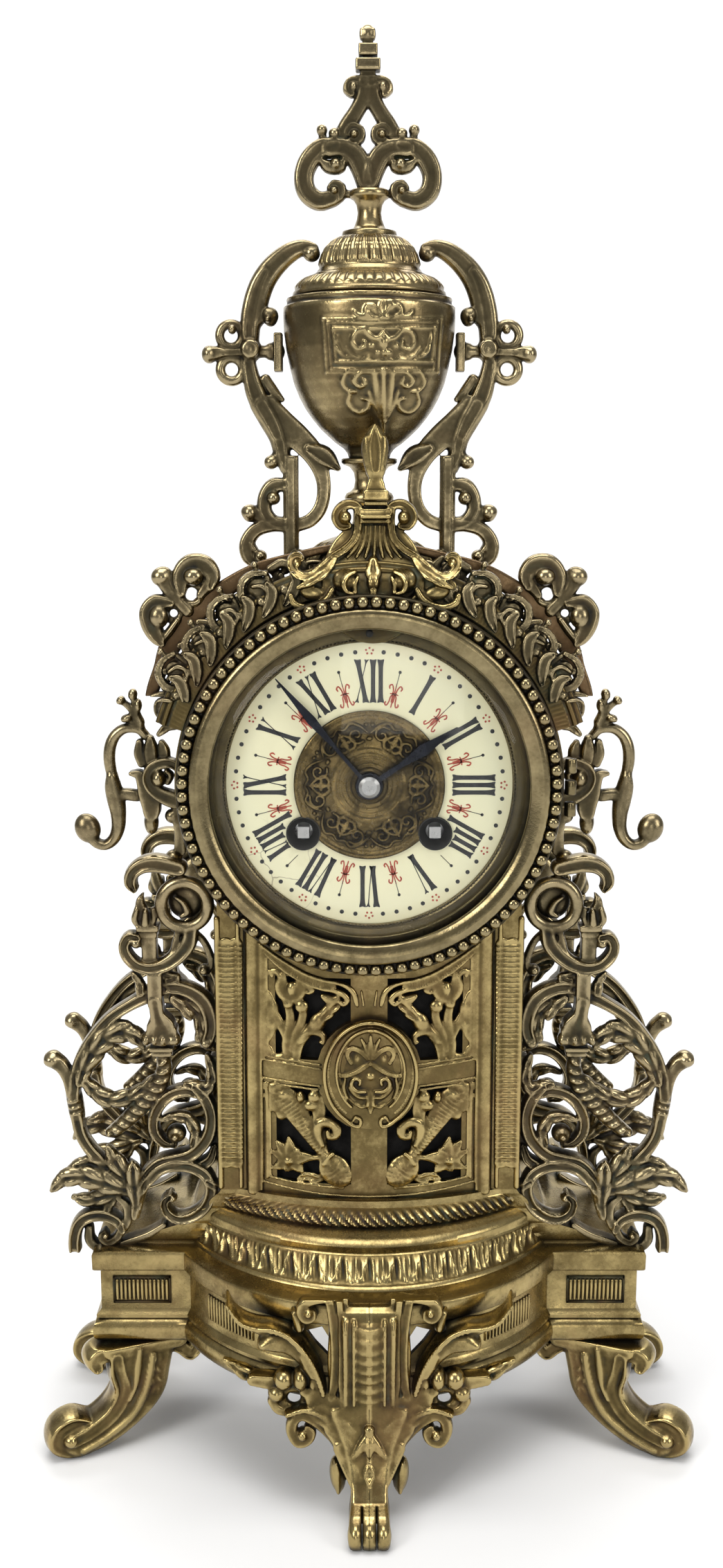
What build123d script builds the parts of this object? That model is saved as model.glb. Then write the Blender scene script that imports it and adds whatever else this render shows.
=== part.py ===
from build123d import *
import os
import math
import numpy as np
from math import sin, cos, tan, acos, pi, radians, sqrt, atan2

# Gilt-brass mantel clock with an urn, pierced front and round striking movement.
# Frame: +X to the clock's left-hand viewer's right, +Y towards the back, +Z up, floor at z = 0.
# All lengths are millimetres.

os.makedirs("parts", exist_ok=True)

# ---------------------------------------------------------------- driving dimensions
ZD = 235.5            # height of the dial centre
ENAMEL_R = 46.0       # 92 mm enamel dial
ENAMEL_HOLE_R = 23.6  # opening for the embossed centre
BEZEL_R = 61.0        # outside radius of the glazed bezel
BEAD_R = 58.8         # radius of the ring of beads
BEAD_Y = -14.3        # plane of the bead centres
GLASS_R = 53.4
DRUM_R = 60.0
DRUM_WALL = 2.0
DRUM_BACK = 56.0
PLATE_R = 52.0        # movement plates
PLATE_T = 2.0
FRONT_PLATE_Y = 4.0
BACK_PLATE_Y = 34.0
WIND_X, WIND_Z = 21.2, -15.7     # winding arbors, from the dial centre
COL_X = 50.0          # half-width of the column
COL_BACK = 48.0
PLINTH_X = 93.0       # half-width of the plinth
PLINTH_FRONT = -2.3
PLINTH_BACK = 48.0
PLINTH_Z0, PLINTH_Z1 = 39.0, 73.0
BOW_HALF = 62.0       # half-width of the bowed front
BOW_OUT = 37.0        # how far the bow stands out
URN_Y = 22.0          # axis of the urn
SCROLL_Y = (0.0, 8.0)            # plate of the front side scrolls
REAR_SCROLL_Y = (39.0, 47.0)
ARCH_Y = (6.0, 13.0)
MINUTE_LEN, MINUTE_ANGLE = 45.5, 40.5     # degrees counter-clockwise from XII
HOUR_LEN, HOUR_ANGLE = 33.8, -55.7
PENDULUM_PIVOT = 44.9            # above the dial centre
PENDULUM_LEN = 119.8
RUN = 0.05                       # radial running clearance of arbors


# ---------------------------------------------------------------- helpers
def face_xz(pts, y):
    """A face in an XZ plane at depth y, from points (x, z)."""
    return Face(Wire.make_polygon([(x, y, z) for x, z in pts], close=True))


def plate(loops, y0, y1):
    """Extrudes XZ outlines (outer loops, and holes inside them) from y0 to y1."""
    def area(p):
        a = np.array(p)
        return 0.5 * np.sum(a[:, 0] * np.roll(a[:, 1], -1) - np.roll(a[:, 0], -1) * a[:, 1])
    outers = [p for p in loops if area(p) > 0]
    holes = [p for p in loops if area(p) <= 0]
    solid = None
    for p in outers:
        s = Solid.extrude(face_xz(p, y0), (0, y1 - y0, 0))
        solid = s if solid is None else solid + s
    for p in holes:
        solid = solid - Solid.extrude(face_xz(p, y0 - 1), (0, y1 - y0 + 2, 0))
    return solid


def prism_xy(pts, z0, z1):
    f = Face(Wire.make_polygon([(x, y, z0) for x, y in pts], close=True))
    return Solid.extrude(f, (0, 0, z1 - z0))


def prism_yz(pts, x0, x1):
    f = Face(Wire.make_polygon([(x0, y, z) for y, z in pts], close=True))
    return Solid.extrude(f, (x1 - x0, 0, 0))


def mirror_x(shape):
    return mirror(shape, about=Plane.YZ)


def cyl_y(x, z, r, y0, y1):
    """A cylinder along Y at (x, z) in the clock's frame."""
    return Solid.make_cylinder(r, y1 - y0, Plane(origin=(x, y0, z), z_dir=(0, 1, 0)))


def ring_y(x, z, r1, r0, y0, y1):
    return cyl_y(x, z, r1, y0, y1) - cyl_y(x, z, r0, y0 - 1, y1 + 1)


def cyl_z(x, y, r, z0, z1):
    return Solid.make_cylinder(r, z1 - z0, Plane(origin=(x, y, z0), z_dir=(0, 0, 1)))


def cyl_x(y, z, r, x0, x1):
    return Solid.make_cylinder(r, x1 - x0, Plane(origin=(x0, y, z), z_dir=(1, 0, 0)))


def box(x0, x1, y0, y1, z0, z1):
    return Solid.make_box(x1 - x0, y1 - y0, z1 - z0, Plane(origin=(x0, y0, z0)))


def turned_z(profile, y=URN_Y):
    """Turns a profile of (radius, z) about the vertical axis at depth y."""
    f = Face(Wire.make_polygon([(r, y, z) for r, z in profile], close=True))
    return Solid.revolve(f, 360, Axis((0, y, 0), (0, 0, 1)))


def turned_y(profile, x=0.0, z=ZD):
    """Turns a profile of (radius, y) about an axis along Y at (x, z)."""
    f = Face(Wire.make_polygon([(x + r, y, z) for r, y in profile], close=True))
    return Solid.revolve(f, 360, Axis((x, 0, z), (0, 1, 0)))


PRESSURE = radians(20)


def gear_points(n, m, phase=0.0, thin=0.88, add=0.9, ded=1.15):
    """Involute-flanked tooth form as a polygon, with backlash from thin."""
    r = n * m / 2
    rb, ra, rr = r * cos(PRESSURE), r + add * m, r - ded * m

    def half(q):
        q = max(q, rb)
        inv = lambda a: tan(a) - a
        return pi / (2 * n) * thin + inv(PRESSURE) - inv(acos(min(1.0, rb / q)))

    radii = [rr, r, ra] if n > 30 else [rr, max(rr + 0.01, min(rb, r * 0.985)), r, ra]
    pts = []
    for k in range(n):
        c = phase + 2 * pi * k / n
        pts += [(q * cos(c - half(q)), q * sin(c - half(q))) for q in radii]
        pts += [(q * cos(c + half(q)), q * sin(c + half(q))) for q in reversed(radii)]
    return pts


def mesh_phase(na, ma, pa, nb, mb, beta):
    """Tooth phase of gear b so that it is in mesh with gear a, b lying in direction beta from a."""
    da = ((pa - beta + pi / na) % (2 * pi / na)) - pi / na
    return beta + pi - da * (na * ma) / (nb * mb) + pi / nb


def gear(c, n, m, phase, y0, y1, **kw):
    return Solid.extrude(face_xz([(c[0] + x, ZD + c[1] + z) for x, z in gear_points(n, m, phase, **kw)], y0), (0, y1 - y0, 0))


def spokes(c, r_rim, r_hub, y0, y1, n=5, w=1.6):
    """The windows of a crossed-out wheel, to be cut away."""
    out = None
    for k in range(n):
        a0 = 2 * pi * k / n
        a1 = a0 + 2 * pi / n
        pts = []
        for j in range(5):
            a = a0 + asin_(w / 2 / r_hub) + (a1 - a0 - 2 * asin_(w / 2 / r_hub)) * j / 4
            pts.append((r_hub * cos(a), r_hub * sin(a)))
        for j in range(8, -1, -1):
            a = a0 + asin_(w / 2 / r_rim) + (a1 - a0 - 2 * asin_(w / 2 / r_rim)) * j / 8
            pts.append((r_rim * cos(a), r_rim * sin(a)))
        s = Solid.extrude(face_xz([(c[0] + x, ZD + c[1] + z) for x, z in pts], y0 - 0.5), (0, y1 - y0 + 1, 0))
        out = s if out is None else out + s
    return out


def asin_(v):
    return math.asin(max(-1.0, min(1.0, v)))


def wheel(c, n, m, phase, y0, y1, hub=2.4, n_arms=5):
    g = gear(c, n, m, phase, y0, y1)
    rim = n * m / 2 - 1.15 * m - 1.1
    return g - spokes(c, rim, hub, y0, y1, n_arms)


def arbor(c, r, y0, y1):
    return cyl_y(c[0], ZD + c[1], r, y0, y1)


def dist(a, b):
    return sqrt((a[0] - b[0]) ** 2 + (a[1] - b[1]) ** 2)


def direction(a, b):
    return atan2(b[1] - a[1], b[0] - a[0])


nodes = {}

# ---------------------------------------------------------------- casting outlines (x, z), left-hand ones
HOOK = [
    [(-79.74, 231.24), (-83.02, 233.60), (-84.10, 239.55), (-83.86, 242.53), (-82.90, 245.08), (-82.02, 246.26), (-80.82, 247.22), (-79.52, 247.87),
     (-78.65, 247.71), (-78.70, 246.00), (-78.33, 243.42), (-76.60, 236.26), (-75.97, 235.47), (-77.00, 234.17), (-77.41, 232.40), (-78.81, 231.27)],
    [(-87.12, 207.51), (-84.95, 208.61), (-84.09, 209.43), (-82.53, 211.50), (-81.38, 213.99), (-80.81, 216.47), (-80.80, 220.60), (-81.82, 226.60),
     (-79.58, 225.97), (-76.97, 226.06), (-76.70, 224.00), (-74.48, 214.05), (-73.87, 213.28), (-72.99, 212.86), (-72.01, 212.86), (-71.13, 213.28),
     (-70.52, 214.05), (-68.40, 223.45), (-63.93, 219.35), (-61.20, 214.70), (-60.37, 213.65), (-59.17, 213.08), (-57.83, 213.08), (-56.63, 213.65),
     (-55.80, 214.70), (-55.50, 216.00), (-56.95, 222.48), (-58.06, 225.06), (-60.90, 229.29), (-59.74, 230.75), (-59.00, 234.00), (-59.74, 237.25),
     (-61.92, 239.96), (-64.93, 241.41), (-68.27, 241.41), (-68.65, 241.23), (-68.32, 244.73), (-68.39, 247.56), (-69.00, 252.00), (-69.60, 254.14),
     (-69.40, 255.00), (-69.66, 256.13), (-70.38, 257.03), (-71.42, 257.53), (-72.58, 257.53), (-73.62, 257.03), (-74.33, 256.39), (-76.31, 255.52),
     (-77.32, 254.25), (-79.39, 254.30), (-80.91, 254.12), (-83.43, 252.90), (-85.81, 251.01), (-87.60, 248.80), (-88.27, 247.66), (-89.26, 244.99),
     (-90.10, 240.90), (-90.16, 239.55), (-89.11, 229.64), (-86.69, 217.79), (-86.64, 215.80), (-87.72, 213.65), (-88.45, 212.99), (-89.33, 212.73),
     (-91.08, 214.31), (-91.60, 217.50), (-92.43, 218.55), (-93.63, 219.12), (-94.97, 219.12), (-96.17, 218.55), (-97.00, 217.50), (-97.30, 216.20),
     (-96.68, 213.36), (-96.12, 211.89), (-94.37, 209.67), (-93.08, 208.50), (-90.62, 207.27), (-88.26, 207.21)],
]

SCROLL = [
    [(-84.16, 130.03), (-85.49, 130.65), (-87.79, 132.24), (-91.53, 136.45), (-92.73, 137.02), (-94.16, 136.98), (-93.58, 140.52), (-92.78, 143.15),
     (-91.56, 146.05), (-90.06, 148.91), (-88.31, 151.60), (-85.15, 154.93), (-82.74, 156.89), (-80.18, 158.54), (-78.76, 159.14), (-74.51, 160.42),
     (-74.17, 154.69), (-74.20, 152.10), (-74.55, 149.99), (-75.31, 149.04), (-76.00, 146.00), (-76.00, 143.50), (-75.31, 140.46), (-74.10, 138.95),
     (-76.03, 135.10), (-78.05, 132.04), (-80.80, 130.20), (-82.64, 129.68)],
    [(-93.79, 117.42), (-94.37, 121.29), (-94.62, 128.29), (-94.30, 128.70), (-94.02, 130.09), (-91.73, 127.30), (-90.70, 126.40), (-88.29, 124.80),
     (-86.00, 123.68), (-90.16, 118.61), (-91.46, 116.41), (-92.45, 113.27)],
    [(-85.60, 103.85), (-86.50, 104.13), (-87.91, 105.25), (-84.44, 111.39), (-81.85, 113.63), (-74.45, 118.99), (-73.78, 116.01), (-72.99, 114.66),
     (-71.87, 113.28), (-80.12, 104.66), (-81.10, 103.30)],
    [(-73.59, 94.36), (-72.56, 94.86), (-71.34, 96.39), (-70.92, 98.63), (-68.65, 100.62), (-66.77, 101.91), (-64.86, 102.58), (-63.19, 102.85),
     (-61.93, 102.67), (-60.13, 102.09), (-59.10, 101.40), (-58.28, 100.47), (-57.13, 97.80), (-57.03, 94.99), (-58.14, 92.81), (-59.10, 91.90),
     (-60.46, 91.03), (-61.94, 90.55), (-63.34, 90.35), (-65.46, 90.85), (-66.26, 93.23), (-66.98, 94.13), (-68.02, 94.63), (-69.18, 94.63),
     (-70.22, 94.13), (-70.94, 93.23), (-71.20, 92.10), (-70.94, 89.49)],
    [(-80.95, 80.17), (-80.40, 82.60), (-79.74, 88.29), (-79.17, 90.42), (-77.59, 87.75), (-76.75, 85.49), (-75.94, 79.73), (-81.32, 79.71)],
    [(-68.07, 79.70), (-68.00, 80.00), (-70.04, 87.09), (-69.37, 86.25), (-67.25, 85.06), (-66.03, 84.68), (-64.06, 84.49), (-65.24, 81.56),
     (-65.53, 79.69)],
    [(-98.24, 82.20), (-98.04, 82.86), (-97.04, 84.32), (-95.81, 85.27), (-94.76, 85.44), (-92.42, 85.03), (-91.19, 84.39), (-91.60, 82.60),
     (-91.05, 80.17), (-90.49, 79.47), (-98.36, 79.31)],
    [(-49.70, 73.09), (-48.26, 73.79), (-47.26, 75.04), (-46.90, 76.60), (-47.26, 78.16), (-48.26, 79.41), (-49.70, 80.11), (-58.39, 79.83),
     (-56.81, 85.94), (-55.10, 86.90), (-54.08, 87.83), (-52.63, 89.67), (-49.42, 89.47), (-48.38, 89.97), (-47.66, 90.87), (-47.40, 92.00),
     (-47.66, 93.13), (-48.38, 94.03), (-49.42, 94.53), (-50.69, 94.66), (-50.58, 96.70), (-51.42, 100.79), (-52.51, 103.24), (-54.18, 105.47),
     (-55.10, 106.40), (-56.31, 107.19), (-59.01, 108.44), (-61.99, 109.12), (-66.27, 109.02), (-64.52, 110.80), (-63.44, 111.32), (-62.38, 112.44),
     (-61.67, 112.87), (-48.38, 117.97), (-47.66, 118.87), (-47.40, 120.00), (-47.66, 121.13), (-48.38, 122.03), (-49.42, 122.53), (-50.58, 122.53),
     (-56.27, 121.49), (-61.80, 119.91), (-64.49, 118.81), (-67.06, 117.49), (-68.04, 118.88), (-67.94, 121.86), (-67.42, 123.21), (-66.74, 124.24),
     (-63.37, 126.96), (-61.54, 128.05), (-59.24, 128.90), (-56.29, 129.68), (-49.29, 130.48), (-48.00, 131.10), (-47.12, 132.21), (-46.80, 133.60),
     (-47.12, 134.99), (-48.00, 136.10), (-49.29, 136.72), (-56.32, 136.19), (-59.18, 135.56), (-62.13, 134.64), (-64.93, 133.38), (-64.20, 136.70),
     (-64.16, 138.63), (-62.69, 140.46), (-62.00, 143.50), (-62.00, 146.00), (-62.33, 147.44), (-62.20, 148.00), (-62.83, 150.78), (-64.61, 153.00),
     (-65.90, 154.14), (-67.29, 157.79), (-68.47, 162.60), (-63.64, 162.47), (-61.00, 161.83), (-58.75, 160.34), (-56.96, 158.52), (-56.39, 157.29),
     (-56.15, 156.03), (-56.00, 153.20), (-56.26, 150.33), (-57.10, 146.00), (-56.84, 144.87), (-56.12, 143.97), (-55.08, 143.47), (-53.92, 143.47),
     (-52.88, 143.97), (-52.16, 144.87), (-50.29, 148.97), (-49.20, 153.20), (-49.22, 156.03), (-50.22, 160.26), (-50.84, 161.48), (-52.54, 163.67),
     (-54.60, 165.53), (-55.82, 166.32), (-59.69, 168.12), (-60.93, 168.40), (-63.64, 168.52), (-69.68, 168.16), (-69.83, 168.99), (-67.05, 169.68),
     (-63.03, 171.60), (-61.94, 172.42), (-59.99, 174.72), (-59.14, 176.07), (-58.03, 179.07), (-57.63, 181.01), (-55.97, 178.72), (-55.40, 177.53),
     (-54.99, 175.67), (-55.05, 174.10), (-57.00, 171.77), (-57.20, 170.90), (-57.00, 170.03), (-56.45, 169.34), (-55.65, 168.95), (-54.75, 168.95),
     (-53.95, 169.34), (-52.83, 170.45), (-51.40, 172.43), (-51.01, 174.40), (-51.04, 175.67), (-51.80, 179.27), (-52.26, 180.51), (-53.66, 183.12),
     (-56.67, 187.90), (-55.39, 188.51), (-53.33, 191.09), (-52.60, 194.30), (-53.33, 197.51), (-55.39, 200.09), (-58.35, 201.51), (-61.75, 201.51),
     (-64.71, 200.09), (-66.77, 197.51), (-67.50, 194.30), (-66.77, 191.09), (-64.69, 188.50), (-64.80, 188.00), (-64.22, 183.39), (-64.25, 181.00),
     (-65.08, 178.92), (-66.06, 177.58), (-67.16, 176.77), (-68.53, 176.17), (-71.33, 175.42), (-73.82, 175.11), (-75.74, 175.45), (-77.06, 176.47),
     (-77.63, 177.38), (-77.59, 178.80), (-75.98, 179.97), (-75.59, 180.46), (-75.36, 178.96), (-74.70, 178.12), (-73.73, 177.66), (-72.67, 177.66),
     (-71.70, 178.12), (-71.04, 178.96), (-70.80, 180.00), (-70.75, 184.54), (-70.57, 185.91), (-69.81, 187.72), (-69.20, 191.00), (-69.95, 194.58),
     (-71.62, 198.39), (-73.16, 202.69), (-73.60, 203.25), (-74.61, 203.56), (-72.93, 204.98), (-68.97, 205.89), (-67.79, 205.94), (-63.87, 205.00),
     (-61.16, 203.26), (-58.09, 201.90), (-56.73, 201.71), (-53.50, 201.72), (-49.11, 202.10), (-47.51, 202.87), (-46.40, 204.26), (-46.00, 206.00),
     (-46.40, 207.74), (-47.51, 209.13), (-49.11, 209.90), (-55.19, 209.59), (-56.31, 209.70), (-57.84, 210.15), (-60.75, 211.50), (-63.55, 212.32),
     (-66.25, 212.66), (-69.16, 212.61), (-71.85, 212.16), (-74.51, 211.25), (-76.90, 210.00), (-77.88, 209.15), (-79.58, 207.05), (-80.70, 204.90),
     (-81.17, 202.39), (-81.00, 199.90), (-80.70, 198.60), (-79.87, 197.55), (-78.67, 196.98), (-77.91, 196.98), (-78.36, 195.90), (-79.21, 192.47),
     (-79.20, 191.00), (-78.70, 188.83), (-78.14, 187.72), (-76.86, 186.11), (-75.57, 184.92), (-75.48, 183.41), (-75.98, 184.03), (-77.02, 184.53),
     (-78.18, 184.53), (-79.67, 184.07), (-82.07, 182.75), (-82.90, 181.70), (-83.66, 179.15), (-83.71, 177.63), (-83.10, 174.90), (-82.50, 173.85),
     (-80.78, 171.80), (-79.71, 170.93), (-77.37, 169.68), (-75.29, 169.06), (-75.07, 167.00), (-78.76, 166.09), (-81.68, 165.14), (-84.42, 163.86),
     (-87.05, 162.29), (-89.53, 160.43), (-91.80, 158.33), (-95.80, 153.46), (-97.53, 150.72), (-99.00, 147.87), (-100.14, 145.09),
     (-101.74, 138.75), (-106.03, 140.77), (-107.05, 140.54), (-107.38, 140.12), (-107.38, 139.08), (-102.78, 132.18), (-103.00, 127.20),
     (-102.56, 121.29), (-101.60, 116.66), (-100.78, 114.05), (-98.54, 109.14), (-96.50, 105.91), (-99.08, 105.91), (-101.47, 105.42),
     (-103.66, 104.29), (-106.82, 101.18), (-107.00, 100.40), (-106.82, 99.62), (-106.32, 98.99), (-105.60, 98.65), (-104.80, 98.65),
     (-101.41, 99.56), (-100.37, 99.27), (-95.02, 96.52), (-86.48, 93.62), (-87.25, 91.10), (-88.27, 88.97), (-92.88, 90.35), (-95.59, 90.54),
     (-96.98, 90.33), (-99.14, 89.19), (-100.15, 88.22), (-101.69, 86.19), (-102.36, 84.94), (-103.25, 81.19), (-103.38, 79.32), (-104.71, 79.32),
     (-106.00, 78.70), (-106.88, 77.59), (-107.20, 76.20), (-106.88, 74.81), (-106.00, 73.70), (-104.71, 73.08)],
]

SUPPORT = [
    [(-45.14, 368.33), (-45.78, 368.91), (-46.84, 370.86), (-46.87, 371.34), (-45.89, 373.07), (-45.22, 373.62), (-44.48, 373.85), (-43.16, 373.59),
     (-42.70, 373.16), (-41.21, 370.57), (-42.46, 368.73), (-43.02, 368.29), (-43.81, 368.06)],
    [(-22.44, 328.58), (-23.71, 336.26), (-20.32, 333.74), (-18.50, 332.02), (-17.50, 330.27), (-16.99, 328.87), (-16.66, 327.00), (-16.67, 324.28),
     (-16.97, 322.67), (-17.74, 321.08), (-18.49, 320.44), (-22.06, 319.12)],
    [(-33.47, 322.34), (-31.37, 323.98), (-29.66, 325.87), (-28.03, 328.26), (-27.89, 324.53), (-28.58, 324.53), (-34.40, 321.34)],
    [(-37.00, 303.50), (-36.12, 304.61), (-35.80, 306.00), (-37.10, 311.37), (-37.05, 312.00), (-36.21, 313.56), (-34.62, 315.16), (-32.46, 316.89),
     (-27.91, 319.20), (-28.40, 306.50), (-28.06, 305.02), (-27.12, 303.84), (-25.76, 303.19), (-24.24, 303.19), (-22.88, 303.84), (-21.94, 305.02),
     (-21.60, 306.50), (-21.87, 314.10), (-17.73, 315.60), (-15.50, 316.69), (-14.50, 317.52), (-13.15, 319.38), (-12.65, 320.58), (-12.07, 322.93),
     (-11.80, 325.60), (-11.86, 327.00), (-12.66, 330.95), (-13.18, 332.35), (-14.18, 334.11), (-13.54, 336.22), (-12.93, 335.94), (-12.27, 335.94),
     (-11.66, 336.23), (-11.25, 336.75), (-11.10, 337.40), (-11.25, 338.05), (-12.53, 339.54), (-14.15, 340.45), (-15.05, 340.45), (-15.85, 340.06),
     (-17.05, 338.79), (-17.54, 337.66), (-21.69, 340.65), (-24.87, 342.34), (-25.38, 342.34), (-30.68, 354.21), (-33.25, 361.05), (-33.88, 363.23),
     (-34.15, 365.15), (-34.18, 367.31), (-30.07, 367.31), (-28.38, 368.12), (-27.22, 369.58), (-26.80, 371.40), (-27.22, 373.22), (-28.38, 374.68),
     (-30.07, 375.49), (-34.89, 375.49), (-34.86, 380.33), (-34.43, 383.52), (-33.22, 387.91), (-32.14, 390.58), (-30.78, 393.13), (-28.09, 397.15),
     (-26.05, 399.01), (-24.22, 400.05), (-22.64, 400.57), (-21.54, 400.72), (-21.14, 400.44), (-22.44, 398.69), (-22.60, 398.00), (-22.44, 397.31),
     (-22.00, 396.75), (-21.36, 396.44), (-17.43, 396.73), (-15.28, 397.84), (-14.34, 399.02), (-14.00, 400.50), (-14.34, 401.98), (-14.85, 403.03),
     (-15.78, 404.20), (-18.40, 405.68), (-19.88, 406.13), (-22.37, 406.15), (-23.86, 405.90), (-27.02, 404.75), (-29.55, 403.39), (-30.58, 402.55),
     (-34.20, 398.14), (-37.20, 393.02), (-38.35, 390.38), (-39.24, 387.70), (-40.26, 383.52), (-40.99, 377.39), (-41.51, 377.64), (-43.85, 377.88),
     (-45.30, 377.77), (-46.65, 377.35), (-48.60, 376.32), (-49.79, 375.40), (-51.42, 373.46), (-51.74, 372.61), (-52.50, 372.25), (-52.94, 371.69),
     (-53.10, 371.00), (-52.94, 370.31), (-52.50, 369.75), (-51.60, 369.33), (-51.46, 368.87), (-49.83, 366.82), (-48.62, 365.78), (-46.65, 364.65),
     (-45.31, 364.18), (-43.86, 364.01), (-41.51, 364.16), (-40.20, 364.73), (-38.97, 359.87), (-37.01, 354.44), (-30.68, 340.64), (-29.35, 336.38),
     (-29.75, 336.19), (-30.52, 335.21), (-32.98, 330.26), (-33.97, 328.66), (-40.60, 322.90), (-41.48, 321.79), (-41.80, 320.40), (-41.48, 319.01),
     (-40.60, 317.90), (-39.36, 317.30), (-41.33, 314.89), (-41.94, 313.73), (-42.49, 311.37), (-42.20, 306.00), (-41.88, 304.61), (-41.00, 303.50),
     (-39.71, 302.88), (-38.29, 302.88)],
]

CREST = [
    [(7.48, 288.62), (10.81, 292.79), (12.00, 298.00), (11.13, 301.81), (13.38, 300.72), (15.89, 299.85), (18.68, 299.54), (21.94, 299.74),
     (25.00, 300.29), (26.44, 300.99), (27.44, 302.24), (27.80, 303.80), (27.44, 305.36), (26.44, 306.61), (25.00, 307.31), (20.34, 307.12),
     (18.89, 307.40), (16.05, 309.41), (12.31, 313.05), (9.11, 317.14), (10.44, 317.79), (11.44, 319.04), (11.80, 320.60), (11.44, 322.16),
     (10.44, 323.41), (9.00, 324.11), (7.40, 324.11), (5.46, 323.05), (6.00, 325.40), (6.00, 328.40), (5.41, 331.00), (4.49, 332.15), (5.20, 336.00),
     (5.06, 337.39), (4.26, 340.88), (2.23, 345.68), (0.56, 348.30), (-0.20, 348.48), (-0.56, 348.30), (-2.23, 345.68), (-4.26, 340.88),
     (-5.06, 337.39), (-5.20, 336.00), (-4.49, 332.15), (-5.41, 331.00), (-6.00, 328.40), (-6.00, 325.40), (-5.46, 323.05), (-7.40, 324.11),
     (-9.00, 324.11), (-10.44, 323.41), (-11.44, 322.16), (-11.80, 320.60), (-11.44, 319.04), (-10.44, 317.79), (-9.11, 317.14), (-12.31, 313.05),
     (-16.05, 309.41), (-18.89, 307.40), (-20.34, 307.12), (-25.00, 307.31), (-26.44, 306.61), (-27.44, 305.36), (-27.80, 303.80), (-27.44, 302.24),
     (-26.44, 300.99), (-25.00, 300.29), (-20.41, 299.54), (-17.11, 299.60), (-13.38, 300.72), (-11.13, 301.81), (-12.00, 298.00), (-10.81, 292.79),
     (-7.48, 288.62), (-2.67, 286.30), (2.67, 286.30)],
]

FINIAL = [
    [(-13.06, 416.22), (-10.22, 419.45), (-10.00, 420.40), (-10.22, 421.35), (-10.83, 422.12), (-11.71, 422.54), (-12.69, 422.54), (-13.57, 422.12),
     (-15.96, 419.92), (-16.51, 419.81), (-18.27, 420.45), (-19.08, 421.10), (-19.82, 422.66), (-19.90, 423.80), (-19.22, 425.56), (-17.98, 427.27),
     (-15.40, 429.01), (-12.91, 429.85), (-11.62, 430.07), (-9.78, 429.99), (-8.27, 429.67), (-6.72, 428.97), (-6.23, 428.45), (-3.66, 422.96),
     (-3.00, 422.12), (-0.71, 420.88), (0.71, 420.88), (3.00, 422.12), (3.66, 422.96), (5.67, 427.49), (6.72, 428.97), (8.27, 429.67),
     (9.78, 429.99), (11.62, 430.07), (12.91, 429.85), (15.40, 429.01), (17.00, 428.06), (18.53, 426.64), (19.22, 425.56), (19.90, 423.80),
     (19.82, 422.66), (19.08, 421.10), (18.27, 420.45), (16.51, 419.81), (15.96, 419.92), (13.57, 422.12), (12.69, 422.54), (11.71, 422.54),
     (10.83, 422.12), (10.22, 421.35), (10.00, 420.40), (10.22, 419.45), (13.06, 416.22), (15.27, 415.06), (17.58, 415.10), (18.97, 415.54),
     (21.26, 416.70), (22.30, 417.52), (23.88, 419.62), (24.47, 421.15), (24.90, 423.80), (24.41, 426.30), (23.83, 427.78), (22.98, 429.21),
     (21.22, 431.33), (20.25, 432.13), (17.81, 433.51), (15.42, 434.54), (12.78, 435.13), (8.61, 435.08), (7.11, 434.77), (4.66, 433.76),
     (3.48, 433.03), (2.64, 432.08), (2.33, 437.39), (2.59, 436.34), (3.39, 435.33), (4.55, 434.77), (5.85, 434.77), (7.01, 435.33), (7.81, 436.34),
     (8.10, 437.60), (7.81, 438.86), (6.16, 441.49), (4.86, 444.21), (2.75, 450.27), (3.58, 449.57), (4.62, 449.07), (5.78, 449.07), (6.82, 449.57),
     (7.54, 450.47), (7.80, 451.60), (7.54, 452.73), (6.82, 453.63), (3.88, 456.12), (3.90, 459.40), (3.51, 461.09), (2.75, 462.05), (3.00, 463.80),
     (2.70, 465.10), (2.28, 465.64), (2.45, 466.50), (2.21, 467.56), (1.53, 468.42), (0.55, 468.89), (-0.55, 468.89), (-1.53, 468.42),
     (-2.21, 467.56), (-2.45, 466.50), (-2.28, 465.64), (-2.70, 465.10), (-3.00, 463.80), (-2.75, 462.05), (-3.51, 461.09), (-3.90, 459.40),
     (-3.88, 456.12), (-6.82, 453.63), (-7.54, 452.73), (-7.80, 451.60), (-7.54, 450.47), (-6.82, 449.57), (-5.78, 449.07), (-4.62, 449.07),
     (-3.58, 449.57), (-2.75, 450.27), (-4.86, 444.21), (-6.16, 441.49), (-7.81, 438.86), (-8.10, 437.60), (-7.81, 436.34), (-7.01, 435.33),
     (-5.85, 434.77), (-4.55, 434.77), (-3.39, 435.33), (-2.59, 436.34), (-2.33, 437.39), (-2.64, 432.08), (-3.48, 433.03), (-5.71, 434.26),
     (-7.11, 434.77), (-10.15, 435.19), (-12.78, 435.13), (-14.07, 434.92), (-16.77, 434.01), (-19.10, 432.87), (-21.22, 431.33), (-22.98, 429.21),
     (-23.83, 427.78), (-24.41, 426.30), (-24.90, 423.80), (-24.47, 421.15), (-23.88, 419.62), (-22.30, 417.52), (-21.26, 416.70), (-18.97, 415.54),
     (-17.58, 415.10), (-15.27, 415.06)],
]

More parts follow.
